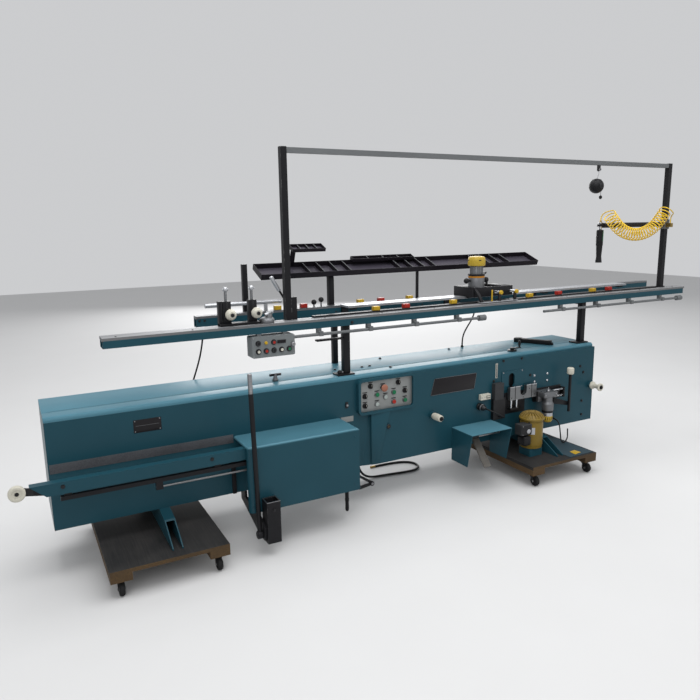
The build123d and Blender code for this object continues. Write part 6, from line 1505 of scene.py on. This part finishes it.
@dataclass
class HingeStation:
    """The rails, stops, clamps and the router carriage above the cabinet."""

    x: float = 398.25
    y: float = 75
    posts: Sequence[tuple[float, float, float, float]] = (
        (-545.75, -27.5, 36, 1000), (-473.75, 245, 30, 1011), (1184.25, -27.5, 36, 1000),
    )
    brackets: tuple[float, float] = (-1173.75, -1043.75)
    pin: float = 12
    pin_z: float = 1101
    screw_y: float = -2
    screw_z: float = 1219

    def uprights(self) -> None:
        """Make the rails' posts, two foot plates and the cross beam of the right post."""
        form = Form("rail_posts")
        for x, y, wide, high in self.posts:
            half = wide / 2
            form.block((x - half, y - half, TOP_Z), (x + half, y + half, high), BLACK, edge=1.5)
        left, _, right = (post[0] for post in self.posts)
        for x in (left, right):
            form.block((x - 62, -62, TOP_Z), (x + 36, 8, TOP_Z + 8), BLACK)
        form.block((right - 15, -45, 984), (right + 15, 262, 1000), BLACK)
        form.block((right - 15, 236, 998), (right + 15, 262, 1011), BLACK, edge=0.8)
        form.done(MACHINE, "station_posts")

    def paint(self) -> None:
        """Dress the rails, tracks and stops."""
        dress("front_rail", TEAL, worn=(Edges((-1749.75, -65, 1000), (2139.25, 10, 1034)),))
        dress("rear_rail", TEAL, worn=(Edges((-1258.75, 233, 1011), (2139.25, 283, 1055)),))
        bands = (
            ((-66, 1030), (11, 1046.3), SCALE), ((20, 1000), (240, 1064.6), DARK_STEEL),
            ((232, 1050), (284, 1068), DULL_ALUMINIUM), ((-11, 1046.3), (26, 1057), DARK_STEEL),
        )
        zones = [Zone((-OPEN, *low), (OPEN, *high), finish) for low, high, finish in bands]
        dress("rail_tracks", ALUMINIUM, zones=zones)
        dress("yellow_stops", YELLOW_PLASTIC)
        dress("red_stops", RED_PLASTIC)

    def clamp_frame(self) -> None:
        """Make the clamps' base bar, end plate, brackets and pins, and the round cam casting."""
        form = Form("clamp_frame")
        form.block((-1213.75, -35, RAIL_Z), (-1013.75, 15, 1058), BLACK)
        form.block((-1213.75, -19, RAIL_Z), (-1199.75, 15, 1164), BLACK, edge=1.2)
        for x in self.brackets:
            form.block((x - 20, -19, 1057.5), (x + 20, 15, 1163), BLACK, edge=1.5)
            form.block((x - 5, -20.2, 1112), (x + 5, -18.5, 1158), DARK_STEEL, edge=0.4)
            pin = Vector((x + self.pin, -19.5, self.pin_z))
            form.rod(pin, pin + FRONT * 40.1, 11.8, STEEL, edge=0.3)
        disc = [(0, 0), (36, 0), (38, 3), (38, 14), (33, 22), (20, 27), (0, 28)]
        form.turned((-975, -17, RAIL_Z), UP, disc, DULL_ALUMINIUM, edge=0.5, steps=40)
        neck = [(0, 26), (19, 26), (17, 34), (17, 48), (13, 54), (0, 56)]
        form.turned((-962, -12, RAIL_Z), UP, neck, MACHINED, edge=0.5, steps=28)
        form.rod((-990, -30, 1086), (-938, -8, 1097), 15, ALUMINIUM, edge=2)
        form.done(MACHINE, "clamp_base")

    def clamps(self) -> None:
        """Turn the clamps' rollers and screws."""
        egg = [(6.1, 0), (19, 0), (24, 5), (27, 14), (26, 23), (21, 33), (15, 40), (6.1, 40)]
        thread = [(6.4, -0.9), (7.1, 0), (6.4, 0.9)]
        y, z = self.screw_y, self.screw_z
        for side, x in zip(("left", "right"), self.brackets):
            form = Form(f"clamp_wheel_{side}")
            form.turned((x + self.pin, -19.3, self.pin_z), FRONT, egg, CREAM, steps=40)
            form.moving(f"clamp_roller_{side}")
            form = Form(f"clamp_spindle_{side}")
            form.rod((x, y, 1113.6), (x, y, z), 13.6, DULL_ALUMINIUM, edge=0.5)
            for step in range(16):
                form.turned((x, y, 1166 + 2.4 * step), UP, thread, DULL_ALUMINIUM, steps=24)
            form.ball((x, y, z), 25.6, ALUMINIUM)
            form.rod((x - 15, y, z), (x + 15, y, z), 8, ALUMINIUM, edge=0.8)
            form.moving(f"clamp_screw_{side}")

    def cam(self) -> None:
        """Make the cam lever with its hub and metal grip, and the nuts of the clamps' rollers."""
        form = Form("cam_handle")
        pivot, lean = Vector((-833.75, 37.3, 1112)), radians(30.8)
        along = Vector((-sin(lean), 0, cos(lean)))
        tip = pivot + along * 179
        hub = [(6.2, -11), (14, -11), (15, -10), (15, 10), (14, 11), (6.2, 11)]
        form.turned(pivot, BACK, hub, DARK_STEEL, edge=0.3)
        form.rod(pivot + along * 11, tip - along * 80, 11, BLACK, edge=0.4)
        grip = [(0, -85), (8, -85), (9.8, -82), (9.8, -4), (8, -1), (0, 0)]
        form.turned(tip, along, grip, ALUMINIUM, edge=0.3)
        form.moving("cam_lever")
        nuts = Form("clamp_nuts")
        for x in self.brackets:
            nut = Vector((x + self.pin, -59.8, self.pin_z))
            nuts.rod(nut, nut + FRONT * 6.2, 20, DARK_STEEL, edge=0.8, sides=6)
        nuts.done(MACHINE)

    def router(self) -> None:
        """Make the hinge router: motor case, vented yellow cap, nose and bit."""
        form = Form("upper_router")
        foot = Vector((self.x, self.y, 0))
        case = [(0, 1114.3), (30, 1114.3), (36.9, 1117), (36.9, 1261), (0, 1261)]
        form.turned(foot, UP, case, DULL_ALUMINIUM, edge=0.5, steps=44)
        nose = [(0, 1078.5), (3, 1078.5), (3, 1090), (10, 1091), (16.8, 1098), (16.8, 1115), (0, 1115)]
        form.turned(foot, UP, nose, STEEL, edge=0.3)
        form.ribs(foot + UP * 1215, 18, 37, 42, 4, DULL_ALUMINIUM)
        cap = [(0, 1260.3), (46, 1260.3), (50, 1262), (51.8, 1267), (51.8, 1292), (50.5, 1304), (46, 1312),
               (38, 1315.6), (0, 1316.2)]
        form.turned(foot, UP, cap, CAP, steps=48)
        form.slots(foot + UP * 1291, spokes(4, radians(254)), 51, 7, 6, 0.9)
        for away in spokes(3, 0.4):
            form.pan(foot + UP * 1315.2 + away * 30, UP, 6, DARK_STEEL)
        form.moving("hinge_router")

    def fittings(self) -> None:
        """Add the rail bolts, the knobs of the rear rail and the shelf and knob of the left post."""
        form = Form("rail_bolts")
        form.screw((-524, -65, 1015), FRONT, 12, DARK_STEEL)
        for x in (-1243, -1216):
            form.screw((x, 233, 1044), FRONT, 10, DARK_STEEL)
        form.pans((range(-1690, 2051, 340), (-42,), (RAIL_Z,)), UP, 9, DARK_STEEL)
        for x, tall in ((-594, 1094), (-550, 1105)):
            form.rod((x, 250, 1067), (x, 250, tall - 10), 9, STEEL, edge=0.3)
            form.ball((x, 250, tall), 30, BLACK_PLASTIC)
        form.block((-719, -50, 928), (-569.8, -20, 937), BLACK)
        form.rod((-569.8, -40, 751), (-580, -40, 751), 9, STEEL, edge=0.3)
        form.ball((-589, -40, 751), 26, BLACK_PLASTIC)
        form.done(MACHINE)

    def carriage(self) -> None:
        """Make the open router carriage: plates, runners, base ring, handles, cross rods and strap."""
        form = Form("carriage_frame")
        left, right, front, back, low, top = 340.25, 642.25, 27, 216.3, 1077.3, 1134.3
        wall, lid, bore = 10, top - 12, 39.8
        for near in (front, back - wall):
            form.block((left, near, low), (right, near + wall, top), BLACK, edge=1.2)
        for edge in (left, right - wall):
            form.block((edge, front + wall - 1, low), (edge + wall, back - wall + 1, top), BLACK)
        for x, far, y, deep in (
            (left + wall, 358, front, back), (438.5, 474, front, back),
            (357, 439, front, 35), (357, 439, 115, back),
        ):
            form.block((x, y + 1, lid), (far, deep - 1, top - 0.2), BLACK, edge=0.5)
        form.block((586, front + 2, lid), (636, back - 2, top - 0.2), BLACK, edge=0.8)
        for y in (93.7, 205.3):
            form.block((left + 8, y, 1068), (right - 8, y + 11, low + 1), DARK_STEEL, edge=0.6)
        collar = [(bore, 1200.8), (49.4, 1200.8), (50.4, 1204), (50.4, 1211), (48, 1213.8), (bore, 1213.8)]
        for outline, finish in (
            (ring(bore, 48.4, 1133, 1191), DULL_ALUMINIUM), (ring(bore, 49, 1190.8, 1201), ORANGE),
            (collar, BLACK_PLASTIC),
        ):
            form.turned((self.x, self.y, 0), UP, outline, finish, edge=0.5, steps=44)
        hub = Vector((self.x, self.y, 1174))
        for side in (LEFT, RIGHT):
            form.rod(hub + side * 47, hub + side * 68, 13, DARK_STEEL)
            form.ball(hub + side * 74, 33, BLACK_PLASTIC)
        tip = [(0, 0), (9, 0), (12, 2), (12, 13), (10, 16), (0, 16)]
        for x in (491.25, 611.25):
            form.rod((x, -36, 1105), (x, 245, 1105), 16, CHROME)
            form.turned((x, -35, 1105), FRONT, tip, YELLOW_PLASTIC, edge=0.5)
            form.block((x - 9, -34, 1052), (x + 9, -24, 1101), DARK_STEEL)
        form.block((left, -48, 1050.5), (622, -14, 1054.5), ALUMINIUM, edge=0.6)
        form.block((430, -33, 1053), (437, -27, 1122), YELLOW_PLASTIC, edge=0.8)
        strap = ((27.4, 1131), (-15, 1094), (-40, 1054), (-28, 1054), (-8.5, 1085), (27.4, 1114))
        form.prism([(346, y, z) for y, z in strap], RIGHT * 18, BLACK, edge=1)
        wing = ((444, 1202), (466, 1210), (472, 1222), (444, 1214))
        form.prism([(x, 66, z) for x, z in wing], BACK * 18, BLACK_PLASTIC, edge=1.5)
        form.block((500, 120, 1096), (575, 190, 1118), DULL_ALUMINIUM, edge=2)
        form.rod((540, 150, 1117), (540, 150, 1152), 15, BLACK_PLASTIC, edge=1.5)
        form.pans(((352, 480, 560, 630), (front + 5, back - 5), (top,)), UP, 7, STEEL)
        form.moving("router_carriage")

    def build(self) -> None:
        """Make the upper station."""
        self.uprights()
        self.paint()
        self.clamp_frame()
        self.clamps()
        self.cam()
        self.carriage()
        self.router()
        self.fittings()


@dataclass
class Overhead:
    """The posts, C-track, trolley, balancer and hanging air tool."""

    tool_x: float = 1355.25
    y: float = 10
    hang_x: float = 1310.25
    hang_y: float = 0.7
    eye_z: float = 1832
    drum_x: float = 1286.25
    drum_z: float = 1729
    cable_x: float = 1329.25
    ball_z: float = 1660

    def paint(self) -> None:
        """Dress the posts, the track and the trolley."""
        dress(
            "overhead_posts", BLACK,
            zones=(Zone((1963.9, -12.2, 1449), (2008.6, 32.2, 1515), GREY),
                   Zone((1960, -48, 1461), (2010, -12.2, 1490), BRASS)),
            worn=(Edges((-868.25, -6, 1046), (-836.25, 26, 1887), 4),),
        )
        dress("overhead_bar", GREY)
        dress("trolley", DARK_STEEL)

    def balancer(self) -> None:
        """Make the spring balancer: hook, drum with its flat cap, cable and stop ball."""
        form = Form("tool_balancer")
        y, drum = self.hang_y, Vector((self.drum_x, self.hang_y, self.drum_z))
        hook, neck = Vector((self.hang_x, y, self.eye_z)), drum + UP * 38
        form.turned(hook, BACK, ring(5.2, 9, -4.3, 4.3), STEEL, edge=0.3)
        form.rod(hook.lerp(neck, 0.11), neck, 5, STEEL, edge=0.3, sides=16)
        turns = [pi * step / 20 for step in range(21)]
        case = [(46 * sin(turn), -46 * cos(turn)) for turn in turns]
        form.turned(drum, UP, case, BLACK, steps=44)
        lid = [(0, 34), (27, 34), (29, 36), (29, 38.5), (27, 40), (0, 40)]
        form.turned(drum, UP, lid, BLACK_PLASTIC, edge=0.4)
        seam = [(45.4, -4), (46.2, -3), (46.2, 3), (45.4, 4)]
        form.turned(drum, BACK, seam, BLACK_PLASTIC, steps=48)
        plug = [(0, 40), (18, 40), (18, 43), (15, 45), (0, 45.4)]
        form.turned(drum, FRONT, plug, DARK_STEEL, edge=0.4)
        stop = (self.cable_x, y, self.ball_z)
        form.rod((self.cable_x, y, self.drum_z), stop, 3.6, STEEL, edge=0.2, sides=12)
        form.ball(stop, 21, BLACK_PLASTIC, flat=1.14)
        form.moving("balancer")

    def tool(self) -> None:
        """Make the hanging air tool: inlet, ribbed body, chrome collar, green sleeve and shell."""
        form = Form("hanging_air_tool")
        top = Vector((self.tool_x, self.y, 1514))
        inlet = [(0, 0), (6.5, 0), (6.5, 6), (8.5, 7), (8.5, 13.5), (0, 13.5)]
        form.turned(top, DOWN, inlet, BRASS, edge=0.3, steps=24)
        body = [(0, 60), (19, 60), (21.6, 64), (21.6, 84), (20.5, 86), (20.5, 148), (19, 190), (16.5, 226),
                (16.5, 232), (21, 268), (20, 270.8), (0, 270.8)]
        form.turned(top, DOWN, body, BLACK_PLASTIC, edge=0.6)
        collar = [(0, 12), (13, 12), (13.5, 13), (13.5, 17), (9.6, 19), (9.6, 61), (0, 61)]
        form.turned(top, DOWN, collar, CHROME, edge=0.3)
        sleeve = [(20.2, 66), (21.9, 67), (21.9, 132), (20.2, 133)]
        form.turned(top, DOWN, sleeve, GREEN_PLASTIC)
        shell = bent(top + DOWN * 136, 21, 23.4, range(130, 271, 20))
        form.prism(shell, UP * 72, BLACK_PLASTIC, edge=0)
        form.ribs(top + DOWN * 120, 14, 20, -40, 3.2, BLACK_PLASTIC)
        form.done(MACHINE, "air_tool")

    def build(self) -> None:
        """Make the overhead frame's pieces."""
        self.paint()
        self.balancer()
        self.tool()


@dataclass
class Dollies:
    """The two board dollies and their casters."""

    left_x: float = -1583.75
    right_x: float = 726.25
    batten: float = 210
    pin_y: float = 327
    axle_y: float = 355
    axle_z: float = 30
    wheel_wide: float = 22

    def paint(self) -> None:
        """Dress the boards, battens and mat, and lay the patch on the mat."""
        dress(
            "dollies", BOARD,
            zones=(Zone((-OPEN, -OPEN, 70), (OPEN, OPEN, 108.8), BATTEN),
                   Zone((-OPEN, -386, 100), (OPEN, -384.6, 128), BATTEN),
                   Zone((777, -371, 127.2), (967.5, 49.5, 131), MAT)),
        )
        form = Form("mat_patch")
        patch = ((838, -352), (898, -343), (891, -296), (844, -303))
        form.prism([(x, y, 130) for x, y in patch], UP * 0.8, YELLOW_PLASTIC, edge=0.2)
        form.done(MACHINE)

    def plate(self, form: Form, x: float, y: float) -> None:
        """Add a caster's top plate, kingpin and screws."""
        form.block((x - 32, y - 32, 70), (x + 32, y + 32, 74), STEEL, edge=0.8)
        form.rod((x, y, 66), (x, y, 70.2), 10, STEEL, edge=0.3)
        form.pans(((x - 24, x + 24), (y - 24, y + 24), (70,)), DOWN, 7, DARK_STEEL)

    def fork(self, form: Form, x: float, y: float, axle: float) -> None:
        """Add a caster's crown, two cheeks, axle and axle nuts."""
        crown = [(6, 60.5), (21, 60.5), (22, 62), (22, 66), (19, 69.6), (6, 69.6)]
        form.turned((x, y, 0), UP, crown, DARK_STEEL, edge=0.4)
        cheek = ((y - 10, 66), (y + 10, 66), (axle + 9, 32), (axle + 6, 23), (axle - 6, 23), (axle - 9, 32))
        centre = Vector((x, axle, self.axle_z))
        for side in (LEFT, RIGHT):
            shape = [(x + side.x * 11.4, back, rise) for back, rise in cheek]
            form.prism(shape, side * 3.2, DARK_STEEL, edge=0.6, segments=1)
            form.rod(centre + side * 14, centre + side * 18, 12, STEEL, edge=0.4, sides=6)
        form.rod(centre + LEFT * 14, centre + RIGHT * 14, 7.6, STEEL, edge=0.2)

    def tyre(self, form: Form, x: float, axle: float) -> None:
        """Add a caster's wheel: rubber tread and dark hub."""
        half, centre = self.wheel_wide / 2, (x, axle, self.axle_z)
        rim = ((20, half), (26, half), (29, half - 3), (30, half - 7))
        hub = ((4.6, half - 1), (9, half - 1), (10, half - 3), (18, half - 4), (20.2, half - 1))
        for side, finish, steps in ((rim, RUBBER, 40), (hub, BLACK_PLASTIC, 32)):
            outline = [(wide, -along) for wide, along in side] + list(reversed(side))
            form.turned(centre, RIGHT, outline, finish, steps=steps)

    def casters(self) -> None:
        """Make the six fixed casters and the two that swivel and roll."""
        fixed = Form("fixed_casters")
        for deck in (self.left_x, self.right_x):
            for side in (-1, 1):
                x = deck + side * self.batten
                for end in (-1, 1):
                    self.plate(fixed, x, end * self.pin_y)
                    if deck == self.left_x or end == 1:
                        self.fork(fixed, x, end * self.pin_y, end * self.axle_y)
                        self.tyre(fixed, x, end * self.axle_y)
        fixed.done(MACHINE, "casters")
        for side, word in ((-1, "left"), (1, "right")):
            x = self.right_x + side * self.batten
            form = Form(f"front_fork_{word}")
            self.fork(form, x, -self.pin_y, -self.axle_y)
            form.moving(f"caster_fork_{word}")
            form = Form(f"front_wheel_{word}")
            self.tyre(form, x, -self.axle_y)
            form.moving(f"caster_wheel_{word}")

    def build(self) -> None:
        """Dress the dollies and make the casters."""
        self.paint()
        self.casters()


@dataclass
class Trays:
    """The long divided tray, tilted to the operator, its two posts, the small trays and the stop post."""

    corner: Triple = (-895.75, 255, 1230)
    tilt: float = 22
    length: float = 1950
    deep: float = 138
    wall: float = 32
    sheet: float = 3
    foot: float = 1011
    rear: float = 283

    def at(self, along: float, back: float, rise: float) -> Triple:
        """Give the place of a spot of the tilted tray."""
        turn = radians(self.tilt)
        x, y, z = self.corner
        return (x + along, y + back * cos(turn) - rise * sin(turn), z + back * sin(turn) + rise * cos(turn))

    def board(self, form: Form, low: Triple, high: Triple, finish: Finish = TRAY) -> None:
        """Add a sheet of the tilted tray between two corners."""
        (left, front, floor), (right, back, top) = low, high
        shape = [self.at(left, front, floor), self.at(right, front, floor), self.at(right, back, floor),
                 self.at(left, back, floor)]
        form.prism(shape, Vector(self.at(left, front, top)) - Vector(shape[0]), finish, edge=0.4, segments=1)

    def tray(self, form: Form, low: Triple, length: float, deep: float, tall: float,
             ribs: Sequence[float]) -> None:
        """Add an open tray with its dividers.

        Args:
            form: The piece.
            low: Its near left corner.
            length: Its length.
            deep: Its depth.
            tall: Its walls' height.
            ribs: The dividers' places along it.
        """
        left, front, floor = low
        right, back, top, sheet = left + length, front + deep, floor + tall, self.sheet
        self.board(form, low, (right, back, floor + sheet))
        self.board(form, (left + sheet, front + sheet, floor + sheet - 0.5),
                   (right - sheet, back - sheet, floor + sheet + 0.4), TRAY_FLOOR)
        for near in (front, back - sheet):
            self.board(form, (left, near, floor + 0.5), (right, near + sheet, top))
        for side in (left, right - sheet):
            self.board(form, (side, front + 1, floor + 0.5), (side + sheet, back - 1, top))
        for rib in ribs:
            self.board(form, (rib - 1.5, front + 1, floor + 1), (rib + 1.5, back - 1, top - 5))
            self.board(form, (rib - 1.6, front + 2, top - 5.4), (rib + 1.6, back - 2, top - 2.6), GREY)

    def build(self) -> None:
        """Make the trays and their posts."""
        form = Form("tray_set")
        ribs = [290 + 585 * group + 84 * number for group in range(3) for number in range(4)]
        self.tray(form, (0, 0, 0), self.length, self.deep, self.wall, ribs)
        for along, length, back, deep, rise in ((212, 200, 107, 70, 104), (602, 420, 108, 42, 29)):
            ribs = [along + length * number / 4 for number in (1, 2, 3)]
            self.tray(form, (along, back, rise), length, deep, 20, ribs)
        self.board(form, (212, 135, 1), (242, 138, 107))
        elbow = ((self.rear, self.foot), (315, self.foot), (315, 1214), (320, 1231), (332, 1246),
                 (368, 1274.5), (340, 1264.9), (300, 1248.7), (288, 1232), (self.rear, 1214))
        form.prism([(-482, y, z) for y, z in elbow], RIGHT * 32, BLACK, edge=1.5)
        form.block((111, self.rear, self.foot), (125, self.rear + 14, 1245), BLACK)
        form.block((-987.25, self.rear, self.foot), (-960.25, self.rear + 27, 1316), BLACK)
        form.pans(((-466, 118, -973.75), (self.rear - 50,), (1033,)), FRONT, 10, DARK_STEEL)
        form.done(MACHINE, "parts_tray")


def main() -> None:
    """Build every class in order."""
    logging.basicConfig(level=logging.INFO, format="%(message)s")
    for part in (Studio(), Cords(), Cabinet(), Controls(), Extension(), PedalStation(), BoringStation(),
                 LatchStation(), HingeStation(), Overhead(), Dollies(), Trays()):
        part.build()


if __name__ == "__main__":
    main()
